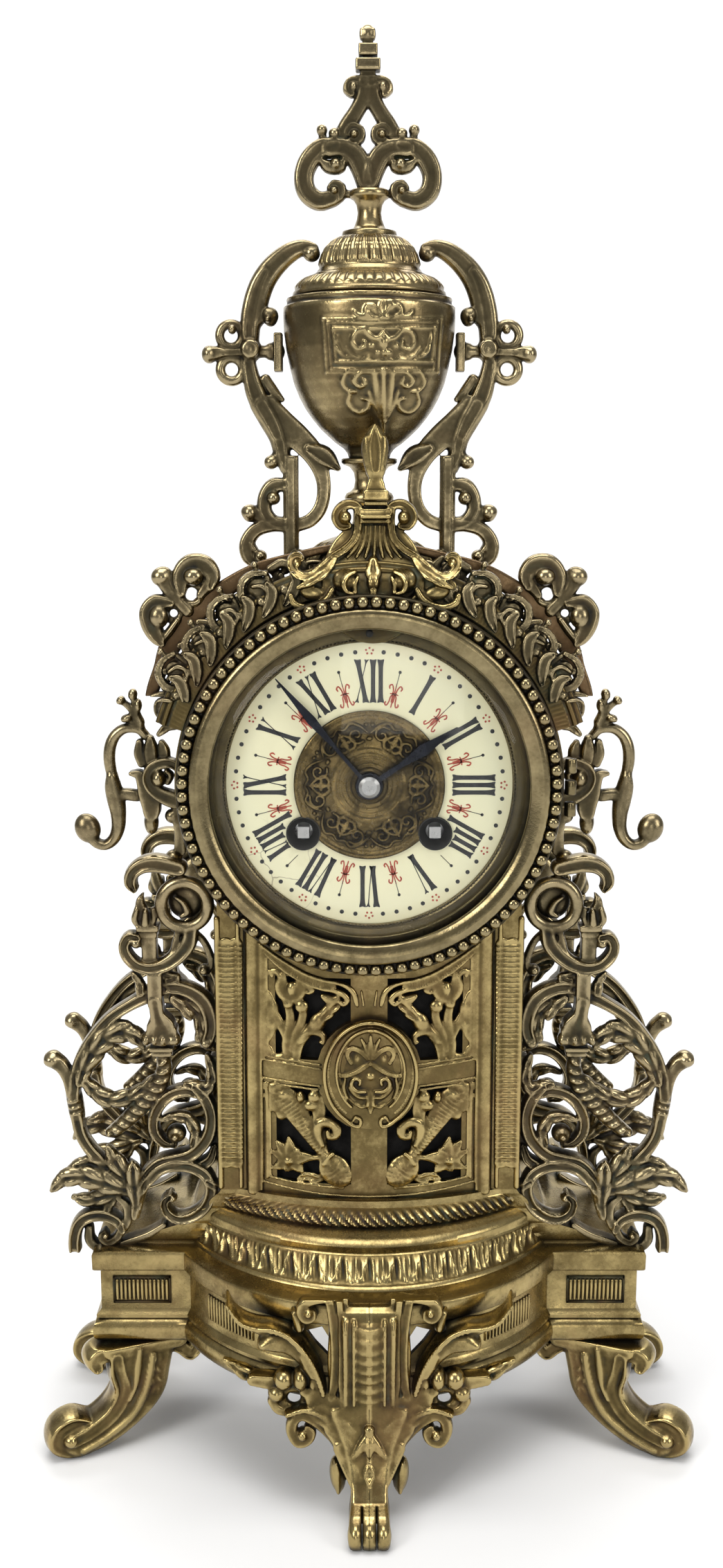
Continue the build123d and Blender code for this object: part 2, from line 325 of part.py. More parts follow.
ARCH = [
    [(-55.99, 297.24), (-55.04, 297.73), (-55.10, 297.00), (-54.86, 295.97), (-55.10, 295.76)],
    [(54.86, 295.97), (55.10, 297.00), (55.04, 297.73), (55.99, 297.24), (55.10, 295.76)],
    [(-64.65, 290.25), (-63.30, 291.70), (-63.17, 292.27), (-61.42, 291.07), (-60.79, 289.87), (-61.93, 288.44)],
    [(60.79, 289.87), (61.42, 291.07), (63.17, 292.27), (63.30, 291.70), (64.65, 290.25), (61.93, 288.44)],
    [(-69.55, 242.36), (-68.39, 243.82), (-67.97, 245.64), (-66.96, 255.12), (-65.94, 260.65), (-64.71, 265.15), (-63.08, 269.81), (-61.07, 274.35),
     (-58.67, 278.72), (-55.39, 283.49), (-52.12, 287.08), (-48.41, 290.44), (-42.28, 294.76), (-38.34, 296.92), (-31.55, 299.58), (-26.84, 300.94),
     (-22.09, 301.98), (-17.34, 302.76), (-7.87, 303.66), (0.82, 303.90), (10.23, 303.50), (19.71, 302.40), (24.47, 301.50), (29.20, 300.30),
     (33.88, 298.77), (38.34, 296.92), (42.28, 294.76), (46.43, 291.97), (50.30, 288.80), (55.39, 283.49), (58.01, 279.78), (60.51, 275.46),
     (62.61, 270.95), (64.34, 266.32), (65.71, 261.61), (66.57, 257.50), (67.29, 252.74), (67.97, 245.64), (68.39, 243.82), (69.55, 242.36),
     (71.24, 241.55), (73.11, 241.55), (74.79, 242.36), (75.95, 243.82), (76.37, 245.64), (75.36, 255.12), (74.51, 259.87), (72.96, 266.44),
     (71.51, 271.13), (69.69, 275.74), (66.26, 282.33), (68.51, 282.80), (71.24, 284.16), (73.60, 286.96), (74.20, 290.00), (73.82, 291.65),
     (72.10, 293.58), (66.58, 295.92), (66.55, 296.23), (67.24, 296.56), (68.46, 298.09), (68.90, 300.00), (68.46, 301.91), (67.24, 303.44),
     (65.48, 304.29), (63.52, 304.29), (61.76, 303.44), (59.56, 301.61), (57.96, 305.02), (56.12, 307.08), (54.43, 307.89), (51.36, 307.92),
     (48.32, 306.50), (46.26, 304.00), (45.86, 302.28), (40.33, 305.06), (35.75, 306.96), (31.07, 308.49), (26.34, 309.69), (21.58, 310.59),
     (16.83, 311.25), (7.39, 311.96), (-3.87, 312.07), (-13.28, 311.60), (-22.77, 310.39), (-27.52, 309.42), (-32.25, 308.14), (-36.91, 306.52),
     (-41.45, 304.52), (-45.86, 302.28), (-46.26, 304.00), (-48.32, 306.50), (-51.36, 307.92), (-54.43, 307.89), (-56.12, 307.08), (-57.96, 305.02),
     (-59.56, 301.61), (-61.76, 303.44), (-63.52, 304.29), (-65.48, 304.29), (-67.24, 303.44), (-68.46, 301.91), (-68.90, 300.00), (-68.46, 298.09),
     (-67.24, 296.56), (-66.55, 296.23), (-66.58, 295.92), (-72.10, 293.58), (-73.82, 291.65), (-74.20, 290.00), (-73.60, 286.96), (-71.24, 284.16),
     (-68.51, 282.80), (-66.26, 282.33), (-68.08, 279.10), (-70.18, 274.60), (-71.90, 269.97), (-73.28, 265.26), (-74.51, 259.87), (-75.36, 255.12),
     (-76.37, 245.64), (-75.95, 243.82), (-74.79, 242.36), (-73.11, 241.55), (-71.24, 241.55)],
]

BUDS = [
    [(-31.92, 291.98), (-31.25, 292.82), (-31.02, 293.86), (-31.62, 297.66), (-32.16, 298.89), (-33.16, 300.15), (-34.21, 301.00), (-37.32, 302.32),
     (-38.34, 302.09), (-38.67, 301.67), (-39.20, 298.59), (-38.65, 295.77), (-36.89, 293.46), (-34.91, 291.98), (-33.95, 291.52), (-32.88, 291.52)],
    [(34.91, 291.98), (36.89, 293.46), (38.65, 295.77), (39.20, 298.59), (38.67, 301.67), (38.34, 302.09), (37.32, 302.32), (34.21, 301.00),
     (33.16, 300.15), (32.16, 298.89), (31.62, 297.66), (31.02, 293.86), (31.25, 292.82), (31.92, 291.98), (32.88, 291.52), (33.95, 291.52)],
    [(-41.31, 285.18), (-40.64, 286.01), (-40.41, 287.05), (-41.39, 290.59), (-43.12, 292.95), (-45.60, 294.25), (-48.44, 294.69), (-49.25, 294.04),
     (-49.37, 291.25), (-48.60, 288.57), (-46.65, 286.39), (-43.34, 284.71), (-42.27, 284.71)],
    [(46.65, 286.39), (48.60, 288.57), (49.37, 291.25), (49.25, 294.04), (48.44, 294.69), (45.60, 294.25), (43.12, 292.95), (41.39, 290.59),
     (40.41, 287.05), (40.64, 286.01), (41.31, 285.18), (42.27, 284.71), (43.34, 284.71)],
    [(-48.81, 276.86), (-48.15, 277.70), (-47.91, 278.74), (-48.15, 279.78), (-49.21, 281.97), (-51.10, 284.16), (-53.76, 285.29), (-56.95, 285.39),
     (-57.76, 284.74), (-57.88, 284.22), (-57.21, 280.96), (-56.59, 279.79), (-55.59, 278.53), (-54.47, 277.77), (-50.84, 276.40), (-49.77, 276.40)],
    [(53.09, 277.10), (55.59, 278.53), (56.59, 279.79), (57.21, 280.96), (57.88, 284.22), (57.76, 284.74), (56.95, 285.39), (53.76, 285.29),
     (51.10, 284.16), (49.21, 281.97), (48.15, 279.78), (47.91, 278.74), (48.15, 277.70), (48.81, 276.86), (49.77, 276.40), (50.84, 276.40)],
    [(-55.33, 268.13), (-54.66, 268.96), (-54.43, 270.00), (-54.66, 271.05), (-56.94, 274.08), (-58.00, 274.90), (-59.44, 275.59), (-60.80, 275.83),
     (-64.27, 275.53), (-65.09, 274.89), (-65.21, 274.36), (-64.26, 271.50), (-62.49, 269.27), (-59.86, 268.02), (-56.29, 267.67)],
    [(59.86, 268.02), (62.49, 269.27), (64.26, 271.50), (65.21, 274.36), (65.09, 274.89), (64.27, 275.53), (60.80, 275.83), (59.44, 275.59),
     (58.00, 274.90), (56.94, 274.08), (54.66, 271.05), (54.43, 270.00), (54.66, 268.96), (55.33, 268.13), (56.29, 267.67)],
]

FOOT = [
    [(-92.11, 32.86), (-91.86, 33.95), (-90.99, 33.94), (-90.72, 32.76), (-90.89, 32.61)],
    [(-96.82, -0.50), (-95.46, -0.23), (-92.91, 0.70), (-88.75, 2.69), (-83.47, 5.77), (-77.05, 9.92), (-75.94, 10.85), (-72.56, 14.96),
     (-71.89, 16.10), (-70.60, 21.28), (-70.45, 22.63), (-70.73, 25.41), (-71.96, 30.47), (-72.43, 31.64), (-73.99, 33.86), (-72.03, 33.86),
     (-68.58, 29.69), (-66.81, 27.97), (-63.97, 25.78), (-63.09, 25.36), (-62.11, 25.36), (-61.23, 25.78), (-60.62, 26.55), (-60.40, 27.50),
     (-60.64, 28.48), (-59.68, 28.94), (-58.74, 30.12), (-58.40, 31.60), (-58.74, 33.08), (-59.80, 35.90), (-60.63, 36.95), (-61.64, 37.43),
     (-62.38, 38.43), (-63.42, 38.93), (-79.04, 38.93), (-79.64, 39.47), (-82.44, 40.82), (-85.56, 40.82), (-88.36, 39.47), (-88.74, 39.00),
     (-93.58, 39.03), (-94.62, 38.53), (-95.37, 37.51), (-96.06, 37.51), (-97.42, 36.86), (-98.36, 35.68), (-98.70, 34.20), (-98.36, 32.72),
     (-97.42, 31.54), (-96.84, 31.26), (-96.66, 29.96), (-96.00, 29.12), (-93.34, 27.43), (-90.71, 26.38), (-88.24, 26.45), (-88.29, 23.48),
     (-90.09, 20.19), (-93.91, 16.46), (-98.27, 13.33), (-99.88, 12.89), (-101.78, 12.83), (-98.05, 16.09), (-91.13, 21.65), (-90.30, 22.70),
     (-90.00, 24.00), (-90.30, 25.30), (-91.13, 26.35), (-92.33, 26.92), (-93.67, 26.92), (-94.87, 26.35), (-101.69, 20.66), (-103.66, 19.42),
     (-107.15, 18.02), (-110.00, 16.60), (-110.94, 15.84), (-112.89, 13.09), (-114.00, 8.60), (-113.56, 6.69), (-112.34, 5.16), (-111.60, 4.80),
     (-111.22, 3.11), (-109.30, 0.71), (-106.54, -0.63)],
]

APRON = [
    [(-27.97, 30.65), (-29.13, 32.35), (-30.33, 32.92), (-31.67, 32.92), (-32.14, 32.70), (-33.40, 33.61), (-27.92, 33.37), (-28.00, 33.00),
     (-27.42, 30.44)],
    [(28.00, 33.00), (27.92, 33.37), (33.40, 33.61), (32.14, 32.70), (31.67, 32.92), (30.33, 32.92), (29.13, 32.35), (27.97, 30.65), (27.42, 30.44)],
    [(-14.13, 7.78), (-13.52, 8.55), (-13.27, 9.67), (-12.26, 9.19), (-10.74, 9.19), (-9.38, 9.84), (-8.44, 11.02), (-8.10, 12.50), (-8.24, 13.13),
     (-7.89, 13.13), (-5.88, 14.09), (-4.50, 15.83), (-4.00, 18.00), (-4.64, 22.12), (-5.91, 27.33), (-6.59, 28.60), (-9.14, 31.75), (-10.71, 33.07),
     (10.71, 33.07), (9.14, 31.75), (6.59, 28.60), (5.91, 27.33), (4.64, 22.12), (4.00, 18.00), (4.50, 15.83), (5.88, 14.09), (7.89, 13.13),
     (8.24, 13.13), (8.10, 12.50), (8.44, 11.02), (9.38, 9.84), (10.74, 9.19), (12.26, 9.19), (13.27, 9.67), (13.52, 8.55), (14.13, 7.78),
     (15.01, 7.36), (15.99, 7.36), (16.87, 7.78), (17.48, 8.55), (17.70, 9.50), (17.91, 14.80), (21.43, 18.31), (25.05, 21.37), (25.38, 20.97),
     (26.42, 20.47), (27.58, 20.47), (28.62, 20.97), (30.68, 23.96), (35.24, 26.19), (36.47, 27.12), (38.69, 29.26), (42.70, 33.70), (42.82, 34.22),
     (46.58, 34.47), (47.62, 34.97), (48.34, 35.87), (48.60, 37.00), (48.34, 38.13), (47.62, 39.03), (46.58, 39.53), (29.22, 39.34), (15.91, 39.66),
     (-12.76, 39.71), (-32.32, 39.33), (-46.58, 39.53), (-47.62, 39.03), (-48.34, 38.13), (-48.60, 37.00), (-48.34, 35.87), (-47.62, 34.97),
     (-46.58, 34.47), (-42.82, 34.22), (-42.70, 33.70), (-37.60, 28.15), (-35.24, 26.19), (-30.68, 23.96), (-28.62, 20.97), (-27.58, 20.47),
     (-26.42, 20.47), (-25.38, 20.97), (-25.05, 21.37), (-23.74, 20.36), (-17.91, 14.80), (-17.70, 9.50), (-17.48, 8.55), (-16.87, 7.78),
     (-15.99, 7.36), (-15.01, 7.36)],
]


# ---------------------------------------------------------------- train layout (x, z from the dial centre)
C = (0.0, 0.0)
BG = (WIND_X, WIND_Z)
BS = (-WIND_X, WIND_Z)


def third_point(a, ra, b, rb, side):
    d = dist(a, b)
    t = (ra * ra - rb * rb + d * d) / (2 * d)
    h = sqrt(ra * ra - t * t)
    ux, uz = (b[0] - a[0]) / d, (b[1] - a[1]) / d
    return (a[0] + ux * t - side * uz * h, a[1] + uz * t + side * ux * h)


GREAT_N, GREAT_M, INTER_PINION = 80, 0.5, 12
INTER_N, INTER_M, CENTRE_PINION = 70, 0.4, 10
CENTRE_N, CENTRE_M, THIRD_PINION = 96, 0.3, 8
THIRD_N, THIRD_M, ESCAPE_PINION = 96, 0.25, 8
ESCAPE_N, ESCAPE_R = 36, 11.0
MOTION = dict(cannon=12, minute=36, minute_m=0.5, pinion=10, hour=40, hour_m=0.48)
STRIKE_N, STRIKE_M, PIN_PINION = 70, 0.4, 10
PIN_N, PIN_M, FLY_PINION = 60, 0.35, 8

IG = third_point(C, (INTER_N + CENTRE_PINION) * INTER_M / 2, BG, (GREAT_N + INTER_PINION) * GREAT_M / 2, 1)
SS = (-IG[0], IG[1])
T = (0.0, (CENTRE_N + THIRD_PINION) * CENTRE_M / 2)
E = (0.0, T[1] + (THIRD_N + ESCAPE_PINION) * THIRD_M / 2)
A = (0.0, PENDULUM_PIVOT)
MW = (0.0, -(MOTION["cannon"] + MOTION["minute"]) * MOTION["minute_m"] / 2)
PW = (SS[0] - 5.47, SS[1] + 15.04)
FLY_D = (PIN_N + FLY_PINION) * PIN_M / 2
FLY = (PW[0] + FLY_D * cos(radians(60)), PW[1] + FLY_D * sin(radians(60)))
H = (-34.0, 22.0)
PW_D = dist(SS, PW)

# ================================================================ plinth
bow_r = (BOW_HALF ** 2 + BOW_OUT ** 2) / (2 * BOW_OUT)


def bow_plan(half, out, x_side, front, back, n=24):
    """Plan of the plinth: a straight back, side blocks and a bowed centre."""
    r = (half ** 2 + out ** 2) / (2 * out)
    a = asin_(half / r) if out <= half else pi - asin_(half / r)
    pts = [(-x_side, back), (-x_side, front)]
    for k in range(n + 1):
        t = -a + 2 * a * k / n
        pts.append((r * sin(t), front - out + r - r * cos(t)))
    pts += [(x_side, front), (x_side, back)]
    return pts


def plinth_step(half, out, xs, front, back, z0, z1):
    return prism_xy(bow_plan(half, out, xs, front, back), z0, z1)


plinth = (
    plinth_step(BOW_HALF + 1.5, BOW_OUT, PLINTH_X + 1.5, PLINTH_FRONT - 1.5, PLINTH_BACK, 66, PLINTH_Z1)
    + plinth_step(BOW_HALF, BOW_OUT, PLINTH_X, PLINTH_FRONT, PLINTH_BACK, 46, 66)
    + plinth_step(BOW_HALF + 1.0, BOW_OUT, PLINTH_X + 1.2, PLINTH_FRONT - 1.2, PLINTH_BACK, PLINTH_Z0, 46)
)
plinth = plinth - prism_xy(bow_plan(BOW_HALF - 3, BOW_OUT, PLINTH_X - 3, PLINTH_FRONT + 3, PLINTH_BACK - 3), 30, PLINTH_Z1 - 3)
nodes["plinth"] = plinth

# stepped mouldings and shoulders between the plinth and the column
cornice = (
    plinth_step(60.0, 33.0, 88.0, 2.0, 46.0, PLINTH_Z1, 76.5)
    + plinth_step(56.0, 24.5, 72.0, 1.0, 46.5, 76.5, 80.5)
    + plinth_step(54.0, 22.5, 62.0, 0.5, 47.0, 80.5, 84.5)
    + plinth_step(49.0, 16.5, 55.0, 0.0, 47.5, 84.5, 89.0)
    + plinth_step(44.0, 10.0, 50.0, -1.5, COL_BACK, 89.0, 95.0)
)
cornice = cornice - box(-44, 44, 4.5, COL_BACK - 5, 70, 100)
nodes["cornice"] = cornice

# ================================================================ feet
def foot_solid(loops, y_top):
    """A cabriole scroll foot: its outline, swept obliquely so that the toe comes forward."""
    solid = plate(loops, -7.0, 7.0)
    return solid


foot = plate(FOOT, -7.0, 7.0)
# the foot stands in a vertical plane turned outwards and forwards from the block
foot_left = foot.moved(Location((64.0, 0, 0))).rotate(Axis.Z, 22).moved(Location((-66.0, 7.5, 0)))
foot_left = foot_left - box(-200, 0, -100, 200, PLINTH_Z0, 100) - box(-200, 0, -100, 200, -50, 0)
rear_left = foot.moved(Location((64.0, 0, 0))).rotate(Axis.Z, -12).moved(Location((-63.5, 40.5, 0)))
rear_left = rear_left - box(-200, 0, -100, 200, PLINTH_Z0, 100) - box(-200, 0, -100, 200, -50, 0)
nodes["front_foot_left"] = foot_left
nodes["front_foot_right"] = mirror_x(foot_left)
nodes["rear_foot_left"] = rear_left
nodes["rear_foot_right"] = mirror_x(rear_left)

# centre foot: a scrolled bracket, in side elevation (y, z)
bracket = [(-39.6, 70), (-43.5, 68), (-45.5, 62), (-44.5, 54), (-42.8, 47), (-42.5, 40), (-43.5, 33), (-46.0, 25), (-49.0, 17),
           (-52.5, 11.5), (-57.0, 9.8), (-60.8, 6.6), (-61.9, 3.4), (-60.6, 0.6), (-58.0, 0.0), (-52.0, 0.0), (-48.0, 4.0), (-45.0, 11.0), (-41.0, 20),
           (-36.5, 31), (-33.5, 38.5), (-33.5, 38.9), (-39.6, 38.9)]
bracket_solid = prism_yz(bracket, -8.5, 8.5)
apron = plate(APRON, -38.4, -33.4)
nodes["centre_foot"] = bracket_solid - nodes["plinth"]
nodes["apron"] = apron - bracket_solid - nodes["plinth"]

# ================================================================ column
column = box(-COL_X, COL_X, 2.0, COL_BACK, 95.0, 215.0) - box(-COL_X + 3, COL_X - 3, -1, COL_BACK - 2.5, 90.0, 220.0)
column = column - cyl_y(0, ZD, DRUM_R + 0.02, -20, 80)
nodes["case_column"] = column

panel_pts = [(-50, 2.0), (-50, -2.0), (-41.5, -2.0), (-41.5, -0.6), (-36, -0.6), (-36, -3.0)]
for k in range(13):
    x = -36 + 72 * k / 12
    panel_pts.append((x, -3.0 - 5.2 * (1 - (x / 36) ** 2)))
panel_pts += [(36, -3.0), (36, -0.6), (41.5, -0.6), (41.5, -2.0), (50, -2.0), (50, 2.0)]
panel_pts += [(36, 2.0)] + [(36 - 72 * k / 12, -0.4 - 5.2 * (1 - ((36 - 72 * k / 12) / 36) ** 2)) for k in range(13)] + [(-36, 2.0)]
clean = [panel_pts[0]]
for p in panel_pts[1:]:
    if dist(p, clean[-1]) > 0.05:
        clean.append(p)
front = prism_xy(clean, 95.0, 200.0)
front = front - cyl_y(0, ZD, 61.4, -40, 20)
windows = None
for sx in (-1, 1):
    for z0, z1 in ((99.5, 134.0), (143.0, 171.5)):
        w = box(min(sx * 6.0, sx * 31.0), max(sx * 6.0, sx * 31.0), -20, 10, z0, z1)
        windows = w if windows is None else windows + w
keep = Solid.extrude(face_xz([(17.5 * cos(2 * pi * k / 28), 138.2 + 19.5 * sin(2 * pi * k / 28)) for k in range(28)], -20), (0, 40, 0))
front = front - (windows - keep)
nodes["front_panel"] = front
cartouche = Solid.extrude(face_xz([(15.3 * cos(2 * pi * k / 36), 138.2 + 17.4 * sin(2 * pi * k / 36)) for k in range(36)], -11.5), (0, 4.2, 0))
nodes["cartouche"] = cartouche
cloth = [(-35.5 + 71 * k / 12, -0.2 - 5.2 * (1 - ((-35.5 + 71 * k / 12) / 36) ** 2)) for k in range(13)]
cloth_pts = cloth + [(x, y + 0.6) for x, y in reversed(cloth)]
grille = prism_xy(cloth_pts, 96.0, 200.0) - cyl_y(0, ZD, 61.6, -40, 30)
nodes["grille_cloth"] = grille

# ================================================================ drum and dial surround
drum = ring_y(0, ZD, DRUM_R, DRUM_R - DRUM_WALL, -5.0, DRUM_BACK)
drum = drum - box(-16, 16, 34.6, 52.0, ZD - 70, ZD)
nodes["drum"] = drum

moulding = turned_y([(60.3, -5.0), (62.0, -7.2), (64.5, -6.6), (67.5, -4.6), (69.6, -2.2), (70.0, 2.0), (68.0, 4.0), (60.2, 4.0)])
moulding = moulding - box(-100, 100, -50, 50, 0, 186.0)
moulding = moulding - nodes["front_panel"] - box(-COL_X, COL_X, 2.0, 50, 0, 215.0)
# below the middle of the dial only the narrow inner fillet goes on round
moulding = moulding - (ring_y(0, ZD, 80, 62.4, -12, 8) & box(-90, 90, -12, 8, 100, ZD - 9))
nodes["dial_moulding"] = moulding

surround = turned_y([(45.0, -7.4), (46.2, -7.8), (47.6, -7.2), (49.0, -8.4), (52.0, -9.6), (54.0, -10.4), (56.6, -10.4), (57.0, -8.2), (60.0, -8.2),
                     (60.0, -5.05), (57.9, -5.05), (57.9, -3.0), (50.4, -3.0), (50.4, -5.0), (46.05, -5.0), (46.05, -6.3), (45.0, -6.3)])
surround = surround - cyl_y(0, ZD + 48.9, 1.15, -20, 0)
nodes["dial_surround"] = surround

bezel = turned_y([(50.6, -14.4), (50.6, -15.6), (54.0, -17.2), (56.9, -16.6), (57.1, -14.6), (58.8, -16.0), (60.3, -15.2), (61.0, -13.8), (61.0, -8.6),
                  (57.4, -8.6), (57.4, -10.8), (53.6, -11.4), (53.6, -14.4)])
# hinge of the bezel at its right-hand side
HX, HY = 64.0, -10.0
hinge_moving = (box(60.0, HX, -11.2, -8.8, ZD - 3, ZD + 3) + cyl_z(HX, HY, 1.5, ZD - 3, ZD + 3)) - cyl_z(HX, HY, 0.8 + RUN, ZD - 10, ZD + 10)
hinge_moving = hinge_moving - turned_y([(0, -30), (60.4, -30), (60.4, 10), (0, 10)])
bezel = bezel + hinge_moving
nodes["bezel"] = bezel
hinge_fixed = None
for z0, z1 in ((ZD - 7.2, ZD - 3.2), (ZD + 3.2, ZD + 7.2)):
    h = cyl_z(HX, HY, 1.5, z0, z1) + box(HX - 0.6, HX + 1.5, HY, -2.0, z0, z1)
    hinge_fixed = h if hinge_fixed is None else hinge_fixed + h
hinge_fixed = hinge_fixed + cyl_z(HX, HY, 0.8, ZD - 7.2, ZD + 7.2)
hinge_fixed = hinge_fixed - moulding
nodes["bezel_hinge"] = hinge_fixed
glass = turned_y([(0, -15.4), (25, -15.1), (40, -14.6), (50.4, -13.6), (53.3, -13.4), (53.3, -11.8), (50.5, -11.8), (40, -12.8), (25, -13.3), (0, -13.6)])
nodes["bezel_glass"] = glass

# ================================================================ dial
enamel = turned_y([(ENAMEL_HOLE_R, -6.2), (ENAMEL_R, -6.2), (ENAMEL_R, -5.0), (ENAMEL_HOLE_R, -5.0)])
for x in (-WIND_X, WIND_X):
    enamel = enamel - cyl_y(x, ZD + WIND_Z, 5.0, -20, 0)
nodes["enamel_dial"] = enamel
dial_plate = cyl_y(0, ZD, 50.3, -4.95, -3.75)
dial_plate = dial_plate - cyl_y(0, ZD, 3.3, -20, 0) - cyl_y(0, ZD + 48.9, 1.15, -20, 0)
for x in (-WIND_X, WIND_X):
    dial_plate = dial_plate - cyl_y(x, ZD + WIND_Z, 5.0, -20, 0)
feet = None
for a in (60, 120, 240, 300):
    f = cyl_y(44 * cos(radians(a)), ZD + 44 * sin(radians(a)), 1.6, -3.75, FRONT_PLATE_Y)
    dial_plate = dial_plate + f
nodes["dial_plate"] = dial_plate
dial_centre = turned_y([(3.3, -6.6), (10.0, -5.8), (10.8, -7.4), (22.0, -7.6), (24.0, -7.0), (24.0, -6.25), (23.5, -6.25), (23.5, -5.0), (3.3, -5.0)])
for x in (-WIND_X, WIND_X):
    dial_centre = dial_centre - cyl_y(x, ZD + WIND_Z, 5.0, -20, 0)
nodes["dial_centre"] = dial_centre

# ================================================================ movement frame
front_plate = cyl_y(0, ZD, PLATE_R, FRONT_PLATE_Y, FRONT_PLATE_Y + PLATE_T)
back_plate = cyl_y(0, ZD, PLATE_R, BACK_PLATE_Y, BACK_PLATE_Y + PLATE_T)
PILLARS = [(-10.0, -46.5), (10.0, -46.5), (-29.0, 38.5), (29.0, 38.5)]
pivots = {"C": (C, 1.1, 0.6), "IG": (IG, 0.6, 0.6), "T": (T, 0.5, 0.5), "E": (E, 0.4, 0.4), "A": (A, 0.5, 0.9),
          "SS": (SS, 0.6, 0.6), "PW": (PW, 0.5, 0.5), "FLY": (FLY, 0.4, 0.4), "H": (H, 0.6, 0.9),
          "BG": (BG, 2.6, 1.6), "BS": (BS, 2.6, 1.6), "R": ((0, 48.9), 0.9, 0.9)}
for c, rf, rb in pivots.values():
    front_plate = front_plate - cyl_y(c[0], ZD + c[1], rf + RUN, 0, 10)
    back_plate = back_plate - cyl_y(c[0], ZD + c[1], rb + RUN, 30, 40)
for a in (60, 120, 240, 300):
    pass
nodes["front_plate"] = front_plate
nodes["back_plate"] = back_plate
pillars = None
for c in PILLARS:
    p = arbor(c, 2.4, FRONT_PLATE_Y + PLATE_T, BACK_PLATE_Y) + arbor(c, 3.2, 18.5, 21.5)
    pillars = p if pillars is None else pillars + p
nodes["plate_pillars"] = pillars
straps = None
for s in (-1, 1):
    b = box(min(s * 54.2, s * 55.6), max(s * 54.2, s * 55.6), -2.95, 53.9, ZD - 4, ZD + 4)
    straps = b if straps is None else straps + b
nodes["movement_straps"] = straps

# ================================================================ going train
ph_great = 0.02
nodes["going_barrel"] = (
    gear(BG, GREAT_N, GREAT_M, ph_great, 8.0, 9.6)
    + arbor(BG, 18.4, 9.6, 27.0)
    - arbor(BG, 17.2, 9.6, 28.0)
    - arbor(BG, 2.2 + RUN, 0, 40)
)
nodes["going_barrel_cap"] = arbor(BG, 18.4, 27.0, 28.0) - arbor(BG, 2.2 + RUN, 0, 40)


def spring(c, y0, y1, turns=5, r0=6.5, r1=16.4, t=0.45):
    """Spiral mainspring strip."""
    n = turns * 14
    inner, outer = [], []
    for k in range(n + 1):
        a = 2 * pi * turns * k / n
        r = r0 + (r1 - r0) * k / n
        inner.append((c[0] + r * cos(a), ZD + c[1] + r * sin(a)))
        outer.append((c[0] + (r + t) * cos(a), ZD + c[1] + (r + t) * sin(a)))
    hook = [(c[0] + 2.6, ZD + c[1] - 0.6), (c[0] + 2.6, ZD + c[1] + 0.6)]
    pts = inner + list(reversed(outer))
    return Solid.extrude(face_xz(pts, y0), (0, y1 - y0, 0))


nodes["going_mainspring"] = spring(BG, 10.2, 26.4)


def winding_arbor(c):
    body = arbor(c, 2.2, 6.4, 32.0) + arbor(c, 5.8, 10.2, 26.4) + arbor(c, 1.6, 32.0, 36.4) + arbor(c, 2.6, 1.6, 6.4)
    sq = Solid.extrude(face_xz([(c[0] + 1.85 * x, ZD + c[1] + 1.85 * z) for x, z in ((-1, -1), (1, -1), (1, 1), (-1, 1))], -5.6), (0, 7.2, 0))
    # ratchet wheel
    pts = []
    n = 20
    for k in range(n):
        a = 2 * pi * k / n
        pts.append((c[0] + 6.6 * cos(a), ZD + c[1] + 6.6 * sin(a)))
        pts.append((c[0] + 7.6 * cos(a + 0.04), ZD + c[1] + 7.6 * sin(a + 0.04)))
    return body + sq + Solid.extrude(face_xz(pts, 1.6), (0, 1.6, 0))


def click(c, s):
    """Click that drops into the ratchet, on its own screw, held just clear of the teeth."""
    px, pz = c[0] + s * 11.5, ZD + c[1] - 6.0
    tip = (c[0] + s * 8.05, ZD + c[1] + 1.0)
    pts = [(px - s * 2.2, pz - 1.5), (px + s * 2.0, pz - 1.5), (px + s * 2.0, pz + 1.5), (tip[0] + s * 2.0, tip[1] + 1.6), (tip[0] + s * 0.25, tip[1]), (px - s * 2.2, pz + 1.5)]
    if s < 0:
        pts = list(reversed(pts))
    return Solid.extrude(face_xz(pts, 1.6), (0, 1.4, 0)) - cyl_y(px, pz, 0.9 + RUN, -5, 10), cyl_y(px, pz, 0.9, 1.2, 4.0) + cyl_y(px, pz, 1.9, 0.2, 1.2)


nodes["going_winding_arbor"] = winding_arbor(BG)
gc, gs = click(BG, 1)
nodes["going_click"] = gc

ph_inter_pinion = mesh_phase(GREAT_N, GREAT_M, ph_great, INTER_PINION, GREAT_M, direction(BG, IG))
nodes["intermediate_wheel"] = (
    gear(IG, INTER_PINION, GREAT_M, ph_inter_pinion, 7.4, 10.4)
    + arbor(IG, 1.0, 7.0, 33.0)
    + arbor(IG, 0.6, 4.2, 35.8)
    + wheel(IG, INTER_N, INTER_M, 0.0, 29.4, 30.4)
)
ph_cp = mesh_phase(INTER_N, INTER_M, 0.0, CENTRE_PINION, INTER_M, direction(IG, C))
nodes["centre_wheel"] = (
    gear(C, CENTRE_PINION, INTER_M, ph_cp, 28.8, 30.8)
    + arbor(C, 1.2, 6.6, 28.9)
    + arbor(C, 1.1, -10.4, 32.9)
    + arbor(C, 0.6, 32.8, 35.8)
    + wheel(C, CENTRE_N, CENTRE_M, 0.0, 6.6, 7.4)
)
ph_tp = mesh_phase(CENTRE_N, CENTRE_M, 0.0, THIRD_PINION, CENTRE_M, direction(C, T))
nodes["third_wheel"] = (
    gear(T, THIRD_PINION, CENTRE_M, ph_tp, 6.4, 8.4)
    + arbor(T, 0.8, 8.4, 33.0)
    + arbor(T, 0.5, 4.2, 35.8)
    + wheel(T, THIRD_N, THIRD_M, 0.0, 24.0, 24.8)
)
ph_ep = mesh_phase(THIRD_N, THIRD_M, 0.0, ESCAPE_PINION, THIRD_M, direction(T, E))
escape_pts = []
